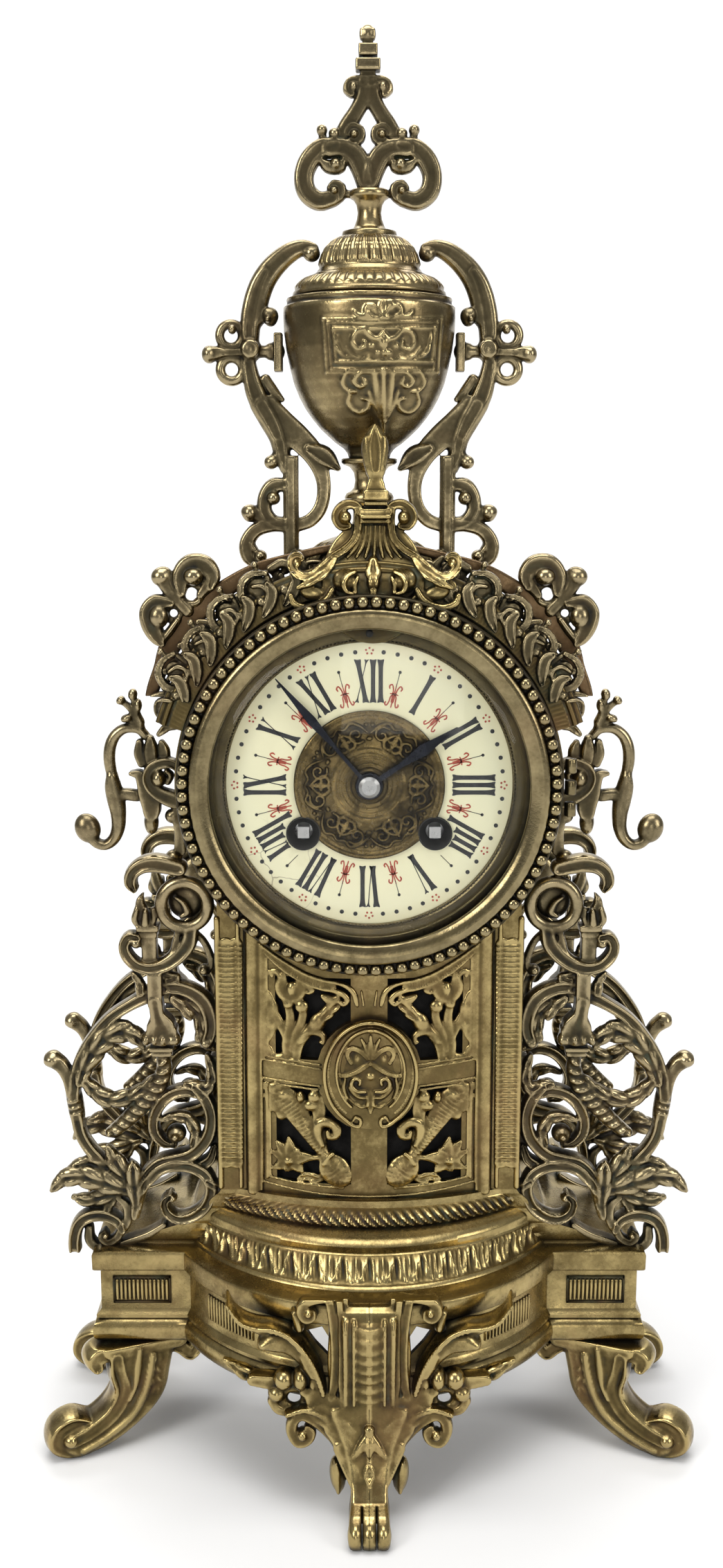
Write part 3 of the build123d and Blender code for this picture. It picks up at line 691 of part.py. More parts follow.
for k in range(ESCAPE_N):
    a = 2 * pi * k / ESCAPE_N
    escape_pts.append((E[0] + 9.3 * cos(a + 0.05), ZD + E[1] + 9.3 * sin(a + 0.05)))
    escape_pts.append((E[0] + ESCAPE_R * cos(a + 0.13), ZD + E[1] + ESCAPE_R * sin(a + 0.13)))
    escape_pts.append((E[0] + ESCAPE_R * cos(a + 0.145), ZD + E[1] + ESCAPE_R * sin(a + 0.145)))
nodes["escape_wheel"] = (
    gear(E, ESCAPE_PINION, THIRD_M, ph_ep, 23.4, 25.4)
    + arbor(E, 0.6, 7.0, 33.0)
    + arbor(E, 0.4, 4.2, 35.8)
    + (Solid.extrude(face_xz(escape_pts, 28.0), (0, 0.8, 0)) - spokes(E, 7.9, 2.2, 28.0, 28.8, 4, 1.3))
)

# anchor over the escape wheel, with the crutch behind the back plate
PALLET_A = 46.0
pal = []
anchor_pts = []
r_out, r_in = 14.6, 12.0
for k in range(13):
    a = radians(90 - PALLET_A + 2 * PALLET_A * k / 12)
    anchor_pts.append((E[0] + r_out * cos(a), ZD + E[1] + r_out * sin(a)))
inner = []
for k in range(12, -1, -1):
    a = radians(90 - PALLET_A + 2 * PALLET_A * k / 12)
    rr = 11.75 if k in (0, 12) else 13.0
    inner.append((E[0] + rr * cos(a), ZD + E[1] + rr * sin(a)))
anchor_plate = Solid.extrude(face_xz(anchor_pts + inner, 27.7), (0, 1.4, 0))
anchor_plate = anchor_plate + box(-1.6, 1.6, 27.7, 29.1, ZD + E[1] + 13.4, ZD + A[1])
anchor = (
    anchor_plate
    + arbor(A, 1.2, 8.0, 33.4)
    + arbor(A, 0.5, 4.2, 8.0)
    + arbor(A, 0.9, 33.4, 38.6)
    + arbor(A, 2.0, 37.0, 38.6)
    + box(-0.8, 0.8, 37.0, 38.0, ZD + A[1] - 27, ZD + A[1])
    + box(-2.6, 2.6, 37.0, 38.0, ZD + A[1] - 30, ZD + A[1] - 27)
    + box(-2.6, -1.5, 38.0, 42.0, ZD + A[1] - 30, ZD + A[1] - 27)
    + box(1.5, 2.6, 38.0, 42.0, ZD + A[1] - 30, ZD + A[1] - 27)
)
nodes["anchor_and_crutch"] = anchor

# pendulum on its suspension spring
PZ = ZD + PENDULUM_PIVOT
BOB_Z = PZ - PENDULUM_LEN
nodes["pendulum_rod"] = (
    box(-1.5, 1.5, 40.7, 40.9, PZ - 8, PZ + 2.2)
    + box(-2.2, 2.2, 39.9, 41.7, PZ - 11, PZ - 8)
    + cyl_z(0, 40.8, 1.1, BOB_Z - 17.0, PZ - 11)
    + cyl_z(0, 40.8, 2.2, BOB_Z - 15.5, BOB_Z - 13.5)
)
bob = turned_y([(0, 37.2), (9, 37.7), (13.0, 39.4), (13.4, 40.8), (13.0, 42.2), (9, 43.9), (0, 44.4)], 0, BOB_Z)
nodes["pendulum_bob"] = bob - cyl_z(0, 40.8, 1.1, BOB_Z - 20, BOB_Z + 20)
cock = box(-9, 9, 36.0, 37.0, PZ + 5.2, PZ + 8.0) + box(-9, -6, 36.0, 44.0, PZ + 3.4, PZ + 8.0) + box(6, 9, 36.0, 44.0, PZ + 3.4, PZ + 8.0)
cock = cock + (box(-9, 9, 39.2, 44.0, PZ + 3.4, PZ + 8.0))
cock = cock & cyl_y(0, ZD, 57.0, 30, 50)
chops = box(-3.0, 3.0, 39.9, 41.7, PZ + 0.9, PZ + 3.4) - box(-2.0, 2.0, 40.5, 41.1, PZ + 0.5, PZ + 2.9)
nodes["suspension_cock"] = cock - cyl_y(0, ZD + 48.9, 1.0, 30, 46)
nodes["suspension_chops"] = chops - cyl_y(0, ZD + 48.9, 1.0, 30, 46)
nodes["regulator_arbor"] = cyl_y(0, ZD + 48.9, 0.9, -6.8, 39.0)

# ================================================================ motion work and hands
ph_cannon = 0.1
nodes["cannon_pinion"] = (
    gear(C, MOTION["cannon"], MOTION["minute_m"], ph_cannon, 1.0, 3.4)
    + arbor(C, 1.9, -9.9, 1.0)
    - arbor(C, 1.1, -20, 10)
)
ph_mw = mesh_phase(MOTION["cannon"], MOTION["minute_m"], ph_cannon, MOTION["minute"], MOTION["minute_m"], direction(C, MW))
ph_mp = 0.0
nodes["minute_wheel"] = (
    gear(MW, MOTION["minute"], MOTION["minute_m"], ph_mw, 1.2, 2.4)
    + gear(MW, MOTION["pinion"], MOTION["hour_m"], ph_mp, -2.6, 1.2)
    - arbor(MW, 0.8 + RUN, -20, 10)
)
nodes["motion_work_stud"] = arbor(MW, 0.8, -3.2, 4.0) + arbor(MW, 1.6, 2.6, 4.0)
ph_hw = mesh_phase(MOTION["pinion"], MOTION["hour_m"], ph_mp, MOTION["hour"], MOTION["hour_m"], direction(MW, C))
nodes["hour_wheel"] = (
    gear(C, MOTION["hour"], MOTION["hour_m"], ph_hw, -2.4, -1.4)
    + arbor(C, 2.95, -8.7, -1.4)
    - arbor(C, 1.9 + RUN, -20, 10)
)


def hand(length, boss_r, hole_r, y0, y1, angle, w_mid, w_neck, tail):
    """Slim lance-shaped blued hand, pointing up, then turned about the dial centre."""
    pts = [(-w_neck, 0), (-w_neck, length * 0.38), (-w_mid, length * 0.62), (-w_mid * 0.55, length * 0.80), (-0.16, length), (0.16, length),
           (w_mid * 0.55, length * 0.80), (w_mid, length * 0.62), (w_neck, length * 0.38), (w_neck, 0)]
    pts = list(reversed(pts))
    h = Solid.extrude(face_xz([(x, ZD + z) for x, z in pts], y0), (0, y1 - y0, 0))
    h = h + cyl_y(0, ZD, boss_r, y0, y1) - cyl_y(0, ZD, hole_r, y0 - 1, y1 + 1)
    return h.rotate(Axis((0, 0, ZD), (0, 1, 0)), -angle)


nodes["hour_hand"] = hand(HOUR_LEN, 4.2, 2.95, -8.7, -8.1, HOUR_ANGLE, 1.9, 0.8, 0)
nodes["minute_hand"] = hand(MINUTE_LEN, 3.2, 1.9, -9.9, -9.3, MINUTE_ANGLE, 1.5, 0.6, 0)
nodes["hand_nut"] = turned_y([(1.1, -11.3), (2.4, -11.3), (3.4, -10.6), (3.4, -9.9), (1.1, -9.9)]) + cyl_y(0, ZD, 1.1, -11.3, -10.4)

# ================================================================ striking train
ph_sgreat = 0.05
nodes["strike_barrel"] = (
    gear(BS, GREAT_N, GREAT_M, ph_sgreat, 8.0, 9.6)
    + arbor(BS, 18.4, 9.6, 27.0)
    - arbor(BS, 17.2, 9.6, 28.0)
    - arbor(BS, 2.2 + RUN, 0, 40)
)
nodes["strike_barrel_cap"] = arbor(BS, 18.4, 27.0, 28.0) - arbor(BS, 2.2 + RUN, 0, 40)
nodes["strike_mainspring"] = spring(BS, 10.2, 26.4)
nodes["strike_winding_arbor"] = winding_arbor(BS)
sc, ss_ = click(BS, -1)
nodes["strike_click"] = sc
nodes["click_screws"] = gs + ss_
ph_sp = mesh_phase(GREAT_N, GREAT_M, ph_sgreat, INTER_PINION, GREAT_M, direction(BS, SS))
nodes["strike_second_wheel"] = (
    gear(SS, INTER_PINION, GREAT_M, ph_sp, 7.4, 10.4)
    + arbor(SS, 1.0, 7.0, 33.0)
    + arbor(SS, 0.6, 4.2, 35.8)
    + wheel(SS, STRIKE_N, STRIKE_M, 0.0, 31.2, 32.2)
)
ph_pp = mesh_phase(STRIKE_N, STRIKE_M, 0.0, PIN_PINION, STRIKE_M, direction(SS, PW))
pin_wheel = (
    gear(PW, PIN_PINION, STRIKE_M, ph_pp, 30.6, 32.8)
    + arbor(PW, 0.9, 7.0, 33.2)
    + arbor(PW, 0.5, 4.2, 35.8)
    + wheel(PW, PIN_N, PIN_M, 0.0, 9.0, 10.0)
)
for k in range(8):
    a = 2 * pi * k / 8 + 0.3
    pin_wheel = pin_wheel + cyl_y(PW[0] + 8.9 * cos(a), ZD + PW[1] + 8.9 * sin(a), 0.45, 10.0, 13.0)
nodes["strike_pin_wheel"] = pin_wheel
ph_fp = mesh_phase(PIN_N, PIN_M, 0.0, FLY_PINION, PIN_M, direction(PW, FLY))
nodes["strike_fly"] = (
    gear(FLY, FLY_PINION, PIN_M, ph_fp, 8.4, 10.6)
    + arbor(FLY, 0.7, 7.0, 33.0)
    + arbor(FLY, 0.4, 4.2, 35.8)
    + box(FLY[0] - 6.5, FLY[0] + 6.5, 15.0, 22.5, ZD + FLY[1] - 0.25, ZD + FLY[1] + 0.25)
)
HEAD = (H[0] + 0.5, H[1] - 14.0)
td = direction(H, PW)
tail = Solid.extrude(face_xz([(H[0] + x * cos(td) - z * sin(td), ZD + H[1] + x * sin(td) + z * cos(td)) for x, z in ((0, -1.0), (3.9, -0.5), (3.9, 0.5), (0, 1.0))], 10.6), (0, 1.8, 0))
nodes["hammer"] = (
    tail
    + arbor(H, 1.1, 7.0, 33.2)
    + arbor(H, 0.6, 4.2, 7.0)
    + arbor(H, 0.9, 33.2, 49.0)
    + arbor(H, 2.0, 46.0, 49.0)
    + box(H[0] - 1.0, H[0] + 1.0, 46.6, 48.4, ZD + HEAD[1], ZD + H[1])
    + cyl_z(HEAD[0], 47.5, 3.0, ZD + HEAD[1] - 4.5, ZD + HEAD[1] + 2.5)
)
BELL = (0.0, -6.0)
bell_out = [(2.0, 54.0), (10, 53.6), (20, 52.0), (27, 49.4), (30.5, 46.4), (32.0, 43.6)]
bell_in = [(30.9, 43.6), (29.4, 46.0), (26.2, 48.6), (19.6, 51.0), (9.8, 52.5), (2.0, 52.9)]
nodes["bell"] = turned_y(bell_out + bell_in, BELL[0], ZD + BELL[1])
stand = cyl_y(17, ZD - 6, 2.6, 36.0, 45.2) + box(0, 17, 43.6, 45.2, ZD - 8.5, ZD - 3.5) + cyl_y(0, ZD - 6, 3.2, 43.6, 45.2)
stand = stand + cyl_y(0, ZD - 6, 1.95, 45.2, 54.0) + cyl_y(0, ZD - 6, 4.2, 50.5, 52.9) - cyl_y(0, 0, 0.1, -50, -49)
stand = stand - nodes["bell"]
nodes["bell_stand"] = stand

# ================================================================ back of the drum
rear_ring = turned_y([(49.5, 54.0), (60.0 - DRUM_WALL - 0.02, 54.0), (57.98, 56.0), (61.0, 56.0), (61.0, 57.4), (49.5, 57.4)])
nodes["rear_ring"] = rear_ring
RX, RY = -56.0, 60.0
door = cyl_y(0, ZD, 52.0, 57.7, 59.1) + cyl_y(44, ZD, 2.4, 59.1, 61.9)
leaf = box(RX, -50, 59.1, 60.1, ZD - 4, ZD + 4) + cyl_z(RX, RY, 1.4, ZD - 4, ZD + 4)
door = door + leaf - cyl_z(RX, RY, 0.7 + RUN, ZD - 20, ZD + 20)
for k in range(5):
    door = door - cyl_y(0, ZD - 24 + 12 * k, 2.2, 50, 65)
nodes["rear_door"] = door
rh = None
for z0, z1 in ((ZD - 8.4, ZD - 4.2), (ZD + 4.2, ZD + 8.4)):
    h = cyl_z(RX, RY, 1.4, z0, z1) + box(RX - 1.4, RX + 0.4, 57.4, RY, z0, z1)
    rh = h if rh is None else rh + h
rh = rh + cyl_z(RX, RY, 0.7, ZD - 8.4, ZD + 8.4)
nodes["rear_door_hinge"] = rh

# ================================================================ urn
nodes["urn_foot"] = turned_z([(0, 297.2), (19.5, 297.2), (20.5, 301), (20.5, 306.0), (18.5, 309), (13, 312.4), (7.0, 314.5), (5.4, 318), (5.2, 322.5), (7.4, 324.4), (7.4, 327.0),
                              (5.4, 329), (5.2, 334.5), (8.9, 336.6), (8.9, 338.2), (0, 338.2)]) - cyl_y(0, ZD, DRUM_R, -10, 100) - box(-60, 60, -50, ARCH_Y[1], 280, 316)
nodes["urn_body"] = turned_z([(0, 338.2), (6.6, 338.2), (8.2, 341.2), (12.8, 344.8), (18.2, 350.5), (22.5, 357.3), (25.4, 366.2), (27.4, 377.7), (27.2, 386.0), (25.7, 387.5),
                              (25.7, 389.6), (23.5, 389.6), (23.5, 386.0), (24.4, 377.0), (22.4, 367.2), (19.4, 359.2), (15.2, 352.8), (10.0, 347.2), (5.0, 344.0), (0, 344.0)])
nodes["urn_lid"] = turned_z([(0, 389.65), (23.0, 389.65), (23.0, 391.6), (20.8, 394.2), (20.0, 395.7), (16.0, 396.8), (14.4, 399.8), (11.8, 402.9), (8.2, 405.6), (8.5, 406.5), (8.5, 408.6),
                             (4.2, 410.0), (4.0, 418.0), (6.3, 418.6), (6.3, 421.0), (0, 421.0)])
finial = plate(FINIAL, URN_Y - 2.6, URN_Y + 2.6)
finial = finial - nodes["urn_lid"] - box(-6.4, 6.4, 0, 60, 380, 421.0)
nodes["finial"] = finial

support = plate(SUPPORT, URN_Y - 3.2, URN_Y + 3.2)
support = support - turned_z([(0, 338.2), (8.2, 341.2), (12.8, 344.8), (18.2, 350.5), (22.5, 357.3), (25.4, 366.2), (27.42, 377.7), (27.22, 386.0), (25.75, 389.6), (23.1, 392), (16.5, 396.8), (14.5, 399.8), (0, 405)])
support = support - cyl_y(0, ZD, DRUM_R, -10, 100) - nodes["urn_foot"] - box(-40, 40, 10, 13.0, 290, 320)
nodes["urn_support_left"] = support
nodes["urn_support_right"] = mirror_x(support)

# ================================================================ arch, crest, hooks, side scrolls
arch = plate(ARCH, ARCH_Y[0], ARCH_Y[1]) - moulding
crest = plate(CREST, -2.0, 5.0) + box(-9, 9, 5.0, 9.0, 299.0, 316.0)
crest = crest - moulding - cyl_y(0, ZD, DRUM_R, -50, 100) - turned_y([(0, -50), (62.5, -50), (62.5, 10), (0, 10)]) - nodes["urn_foot"]
arch = arch - crest - nodes["urn_support_left"] - nodes["urn_support_right"]
nodes["arch_band"] = arch
nodes["crest"] = crest
buds = plate(BUDS, -1.5, 5.95) - moulding - cyl_y(0, ZD, 62.0, -50, 100)
buds = buds - crest
nodes["arch_buds"] = buds
hook = plate(HOOK, 4.1, 11.0) + box(-70, -60, 4.1, 11.0, ZD - 7, ZD + 3)
hook = hook - moulding - arch - cyl_y(0, ZD, DRUM_R, -50, 100)
nodes["hook_left"] = hook
nodes["hook_right"] = mirror_x(hook)

cutters = nodes["cornice"] + nodes["plinth"]
fs = plate(SCROLL, *SCROLL_Y) - box(-COL_X, COL_X, -50, 100, 0, 215) - cyl_y(0, ZD, DRUM_R, -50, 100) - moulding - cutters
fs = fs - box(-200, 200, -100, 100, 0, PLINTH_Z1)
rs = plate(SCROLL, *REAR_SCROLL_Y) - box(-COL_X, COL_X, -50, 100, 0, 215) - cyl_y(0, ZD, DRUM_R, -50, 100) - cutters
rs = rs - box(-200, 200, -100, 100, 0, PLINTH_Z1)
nodes["side_scroll_front_left"] = fs - hook
nodes["side_scroll_front_right"] = mirror_x(nodes["side_scroll_front_left"])
nodes["side_scroll_rear_left"] = rs
nodes["side_scroll_rear_right"] = mirror_x(rs)

# long bolt that clamps the urn, its foot and the drum together
bolt = cyl_z(0, URN_Y, 2.0, 292.2, 347.2) + cyl_z(0, URN_Y, 4.2, 344.02, 347.2) + cyl_z(0, URN_Y, 4.2, 290.4, 293.4)
bolt = bolt & cyl_z(0, URN_Y, 10, 200, 400)
hole = cyl_z(0, URN_Y, 2.0, 250, 360)
for n in ("urn_foot", "urn_body", "drum"):
    nodes[n] = nodes[n] - hole
nodes["drum"] = nodes["drum"] - bolt
nodes["urn_bolt"] = bolt

# ---------------------------------------------------------------- pieces that are one casting, or a group of like pieces
def fuse(new, *names):
    shape = nodes[names[0]]
    for n in names[1:]:
        shape = shape + nodes[n]
    for n in names:
        del nodes[n]
    nodes[new] = shape


def group(new, *names):
    parts = [s for n in names for s in nodes[n].solids()]
    for n in names:
        del nodes[n]
    nodes[new] = Compound(children=parts)


# openwork either side of the centre bracket
HOLE = [(-20.3, 62.0), (-15.2, 64.1), (-13.0, 60.6), (-12.0, 54.7), (-12.3, 53.2), (-17.4, 58.2)]
for m in (-1, 1):
    nodes["plinth"] = nodes["plinth"] - Solid.extrude(face_xz([(-m * x, z) for x, z in HOLE], -60.0), (0, 40.0, 0))
fuse("plinth", "plinth", "cornice")
fuse("front_apron", "apron", "centre_foot")
fuse("front_panel", "front_panel", "cartouche")
fuse("dial_moulding", "dial_moulding", "arch_buds", "bezel_hinge")
fuse("rear_ring", "rear_ring", "rear_door_hinge")
fuse("front_plate", "front_plate", "click_screws", "motion_work_stud")
group("front_feet", "front_foot_left", "front_foot_right")
group("rear_feet", "rear_foot_left", "rear_foot_right")
group("going_barrel", "going_barrel", "going_barrel_cap")
group("strike_barrel", "strike_barrel", "strike_barrel_cap")
group("back_cocks", "suspension_cock", "suspension_chops", "bell_stand")
group("urn_supports", "urn_support_left", "urn_support_right")
group("hooks", "hook_left", "hook_right")
group("side_scrolls_front", "side_scroll_front_left", "side_scroll_front_right")
group("side_scrolls_rear", "side_scroll_rear_left", "side_scroll_rear_right")

for name, shape in nodes.items():
    solids = shape.solids() if not isinstance(shape, Solid) else [shape]
    keep_solids = [s for s in solids if s.volume > 0.5]
    out = keep_solids[0] if len(keep_solids) == 1 else Compound(children=keep_solids)
    export_step(out, f"parts/{name}.step")
print(len(nodes), "nodes")
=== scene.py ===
import bpy, math
import numpy as np
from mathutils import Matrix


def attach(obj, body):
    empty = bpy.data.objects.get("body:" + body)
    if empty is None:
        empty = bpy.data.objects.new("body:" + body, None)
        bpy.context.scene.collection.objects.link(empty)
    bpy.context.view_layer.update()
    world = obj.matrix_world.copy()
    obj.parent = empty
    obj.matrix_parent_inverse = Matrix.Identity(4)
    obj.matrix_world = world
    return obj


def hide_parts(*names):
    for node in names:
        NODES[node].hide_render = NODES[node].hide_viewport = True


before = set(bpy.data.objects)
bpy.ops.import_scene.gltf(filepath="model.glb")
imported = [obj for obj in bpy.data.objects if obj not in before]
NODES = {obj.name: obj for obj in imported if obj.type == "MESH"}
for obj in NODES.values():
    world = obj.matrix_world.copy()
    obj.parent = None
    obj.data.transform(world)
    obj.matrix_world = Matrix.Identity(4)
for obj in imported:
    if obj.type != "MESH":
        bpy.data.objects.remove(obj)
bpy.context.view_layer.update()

import openvdb as vdb
from math import sin, cos, pi, radians, hypot

ZD = 235.5            # dial centre height, mm
COLL = bpy.context.scene.collection


# ------------------------------------------------------------------ curves
def spl(pts, step=1.1):
    """Centripetal Catmull-Rom through rows of numbers; the first two columns are the position."""
    p = np.array(pts, float)
    if len(p) < 3:
        n = max(2, int(np.linalg.norm(p[1, :2] - p[0, :2]) / step) + 1)
        t = np.linspace(0, 1, n)[:, None]
        return p[0] * (1 - t) + p[1] * t
    d = np.r_[0, np.cumsum(np.sqrt(np.maximum(np.linalg.norm(np.diff(p[:, :2], axis=0), axis=1), 1e-6)))]
    q = np.vstack([2 * p[0] - p[1], p, 2 * p[-1] - p[-2]])
    dd = np.r_[d[0] - (d[1] - d[0]), d, d[-1] + (d[-1] - d[-2])]
    out = []
    for i in range(1, len(q) - 2):
        n = max(2, int(np.linalg.norm(q[i + 1, :2] - q[i, :2]) / step) + 1)
        t = np.linspace(dd[i], dd[i + 1], n, endpoint=False)[:, None]
        A1 = (dd[i] - t) / (dd[i] - dd[i - 1]) * q[i - 1] + (t - dd[i - 1]) / (dd[i] - dd[i - 1]) * q[i]
        A2 = (dd[i + 1] - t) / (dd[i + 1] - dd[i]) * q[i] + (t - dd[i]) / (dd[i + 1] - dd[i]) * q[i + 1]
        A3 = (dd[i + 2] - t) / (dd[i + 2] - dd[i + 1]) * q[i + 1] + (t - dd[i + 1]) / (dd[i + 2] - dd[i + 1]) * q[i + 2]
        B1 = (dd[i + 1] - t) / (dd[i + 1] - dd[i - 1]) * A1 + (t - dd[i - 1]) / (dd[i + 1] - dd[i - 1]) * A2
        B2 = (dd[i + 2] - t) / (dd[i + 2] - dd[i]) * A2 + (t - dd[i]) / (dd[i + 2] - dd[i]) * A3
        out.append((dd[i + 1] - t) / (dd[i + 1] - dd[i]) * B1 + (t - dd[i]) / (dd[i + 1] - dd[i]) * B2)
    out.append(p[-1:])
    return np.vstack(out)


def volute(cx, cz, r0, r1, a0, turns, w0, w1, y0=None, n=None):
    """Rows of a spiral that winds in from radius r0 at angle a0 (degrees)."""
    n = n or max(6, int(abs(turns) * 12))
    rows = []
    for i in range(n + 1):
        t = i / n
        a = radians(a0 + 360 * turns * t)
        r = r0 * (1 - t) ** 1.15 + r1 * t if r0 > r1 else r0 + (r1 - r0) * t
        row = [cx + r * cos(a), cz + r * sin(a), w0 + (w1 - w0) * t]
        if y0 is not None:
            row += [y0, row[2]]
        rows.append(row)
    return rows


def mir(rows):
    return [[-r[0]] + list(r[1:]) for r in rows]


# ------------------------------------------------------------------ sculpting field
class Field:
    """A signed field on a grid, in mm, negative inside the metal. Front is -y."""

    def __init__(s, x0, x1, y0, y1, z0, z1, v=0.45):
        s.v = v
        s.o = np.array([x0, y0, z0], float)
        s.n = [int(math.ceil((b - a) / v)) + 1 for a, b in ((x0, x1), (y0, y1), (z0, z1))]
        s.ax = [s.o[i] + v * np.arange(s.n[i]) for i in range(3)]
        s.f = np.full(s.n, 3.0, np.float32)

    def win(s, lo, hi):
        sl = []
        for i in range(3):
            a = max(0, int(math.floor((lo[i] - s.o[i]) / s.v)))
            b = min(s.n[i], int(math.ceil((hi[i] - s.o[i]) / s.v)) + 1)
            if b <= a:
                return None
            sl.append(slice(a, b))
        return tuple(sl)

    def grid(s, sl):
        return s.ax[0][sl[0]][:, None, None], s.ax[1][sl[1]][None, :, None], s.ax[2][sl[2]][None, None, :]

    def put(s, sl, d, k=0.5, cut=False):
        a = s.f[sl]
        d = np.clip(np.broadcast_to(d, a.shape), -4, 4).astype(np.float32)
        if cut:
            d = -d
            h = np.clip(0.5 - 0.5 * (d - a) / k, 0, 1)
            s.f[sl] = d * (1 - h) + a * h + k * h * (1 - h)
        else:
            h = np.clip(0.5 + 0.5 * (d - a) / k, 0, 1)
            s.f[sl] = d * (1 - h) + a * h - k * h * (1 - h)

    # --- strokes in the x-z plane with a thickness in y
    def near(s, P, sl):
        X = s.ax[0][sl[0]][:, None]
        Z = s.ax[2][sl[2]][None, :]
        best = np.full((X.shape[0], Z.shape[1]), 1e9)
        idx = np.zeros(best.shape, int)
        tt = np.zeros(best.shape)
        sd = np.zeros(best.shape)
        for i in range(len(P) - 1):
            ax, az = P[i, 0], P[i, 1]
            bx, bz = P[i + 1, 0] - ax, P[i + 1, 1] - az
            L2 = bx * bx + bz * bz + 1e-9
            t = np.clip(((X - ax) * bx + (Z - az) * bz) / L2, 0, 1)
            dx, dz = X - ax - t * bx, Z - az - t * bz
            w = P[i, 2] + (P[i + 1, 2] - P[i, 2]) * t
            e = np.hypot(dx, dz) - w
            m = e < best
            best = np.where(m, e, best)
            idx = np.where(m, i, idx)
            tt = np.where(m, t, tt)
            sd = np.where(m, np.sign(bx * dz - bz * dx), sd)
        seg = np.hypot(np.diff(P[:, 0]), np.diff(P[:, 1]))
        arc = np.r_[0, np.cumsum(seg)]
        A = P[idx] * (1 - tt[..., None]) + P[np.minimum(idx + 1, len(P) - 1)] * tt[..., None]
        S = arc[idx] * (1 - tt) + arc[np.minimum(idx + 1, len(P) - 1)] * tt
        d = best + A[..., 2]
        return d, A, S, sd, arc[-1]

    def stroke(s, pts, y=4.0, h=3.0, kind="round", k=0.5, g=0.0, gw=0.5, lobes=0.0, pitch=3.0, slant=0.8, notch=0.28,
               flute=0.0, fpitch=1.2, twist=0.0, cut=False, back=None, rim=0.0, step=1.1, p=2.2, soft=0.6):
        """pts rows are x, z, half-width and, if given, y centre and half-thickness."""
        P = spl([list(r) + ([y, h] if len(r) == 3 else []) for r in pts], step)
        P[:, 2] = np.maximum(P[:, 2], 0.25)
        m = P[:, 2].max() + 2.2
        hy = P[:, 4].max() + 2.0
        sl = s.win((P[:, 0].min() - m, P[:, 3].min() - hy, P[:, 1].min() - m),
                   (P[:, 0].max() + m, P[:, 3].max() + hy, P[:, 1].max() + m))
        if sl is None:
            return
        d, A, S, sd, L = s.near(P, sl)
        w, yc, hh = A[..., 2], A[..., 3], A[..., 4]
        disp = np.zeros_like(d)
        if lobes or kind == "leaf":
            ph = (S - slant * d) / pitch
            lob = np.abs(np.cos(pi * ph))
            w = w * (1 - notch + notch * lob)
            hh = hh * (0.62 + 0.38 * lob ** 0.7)
            disp = disp + 0.45 * np.exp(-(d / 0.55) ** 2)
        w = np.maximum(w, 0.2)
        u = d / w
        if g:
            disp = disp + g * np.exp(-(u / gw) ** 4)
        if rim:
            disp = disp - rim * np.exp(-((u - 0.78) / 0.16) ** 2)
        if flute:
            disp = disp + flute * (0.5 + 0.5 * np.cos(2 * pi * (S + twist * d * sd) / fpitch))
        Y = s.ax[1][sl[1]][None, :, None]
        d3, w3, y3, h3, u3 = (q[:, None, :] for q in (d, w, yc, hh, u))
        yy = np.abs(Y - y3)
        if kind == "flat":
            r = np.minimum(soft, np.minimum(w3, h3) * 0.9)
            qx, qy = d3 - (w3 - r), yy - (h3 - r)
            f = np.hypot(np.maximum(qx, 0), np.maximum(qy, 0)) + np.minimum(np.maximum(qx, qy), 0) - r
        else:
            q = (u3 ** p + (yy / np.maximum(h3, 0.2)) ** p) ** (1 / p)
            f = (q - 1) * np.minimum(w3, h3)
        if g or rim or flute or lobes or kind == "leaf":
            face = np.clip((yy / np.maximum(h3, 0.2) - 0.25) * 2.5, 0, 1)
            f = f + disp[:, None, :] * face
        s.put(sl, f, k, cut)

    def ell(s, x, y, z, rx, ry, rz, k=0.4, cut=False, rot=0.0):
        """An ellipsoid, turned by rot degrees about y."""
        m = max(rx, ry, rz) + 1.5
        sl = s.win((x - m, y - m, z - m), (x + m, y + m, z + m))
        if sl is None:
            return
        X, Y, Z = s.grid(sl)
        X, Y, Z = X - x, Y - y, Z - z
        c, q = cos(radians(rot)), sin(radians(rot))
        X, Z = X * c + Z * q, -X * q + Z * c
        n = np.sqrt((X / rx) ** 2 + (Y / ry) ** 2 + (Z / rz) ** 2)
        s.put(sl, (n - 1) * min(rx, ry, rz), k, cut)

    def box(s, x0, x1, y0, y1, z0, z1, r=0.4, k=0.3, cut=False, rot=0.0):
        cx, cy, cz = (x0 + x1) / 2, (y0 + y1) / 2, (z0 + z1) / 2
        hx, hy, hz = abs(x1 - x0) / 2, abs(y1 - y0) / 2, abs(z1 - z0) / 2
        m = (hypot(hx, hz) if rot else max(hx, hz)) + 1.5
        sl = s.win((cx - m, cy - hy - 1.5, cz - m), (cx + m, cy + hy + 1.5, cz + m))
        if sl is None:
            return
        X, Y, Z = s.grid(sl)
        X, Y, Z = X - cx, Y - cy, Z - cz
        if rot:
            c, q = cos(radians(rot)), sin(radians(rot))
            X, Z = X * c + Z * q, -X * q + Z * c
        X, Y, Z = np.abs(X) - (hx - r), np.abs(Y) - (hy - r), np.abs(Z) - (hz - r)
        f = np.sqrt(np.maximum(X, 0) ** 2 + np.maximum(Y, 0) ** 2 + np.maximum(Z, 0) ** 2) + np.minimum(np.maximum(np.maximum(X, Y), Z), 0) - r
        s.put(sl, f, k, cut)

    def ring(s, x, y, z, R, r, k=0.4, cut=False, ry=None):
        """A torus about a line along y."""
        ry = ry or r
        m = R + r + 1.5
        sl = s.win((x - m, y - ry - 1.5, z - m), (x + m, y + ry + 1.5, z + m))
        if sl is None:
            return
        X, Y, Z = s.grid(sl)
        q = np.hypot(np.hypot(X - x, Z - z) - R, 0)
        f = (np.sqrt((q / r) ** 2 + ((Y - y) / ry) ** 2) - 1) * min(r, ry)
        s.put(sl, f, k, cut)

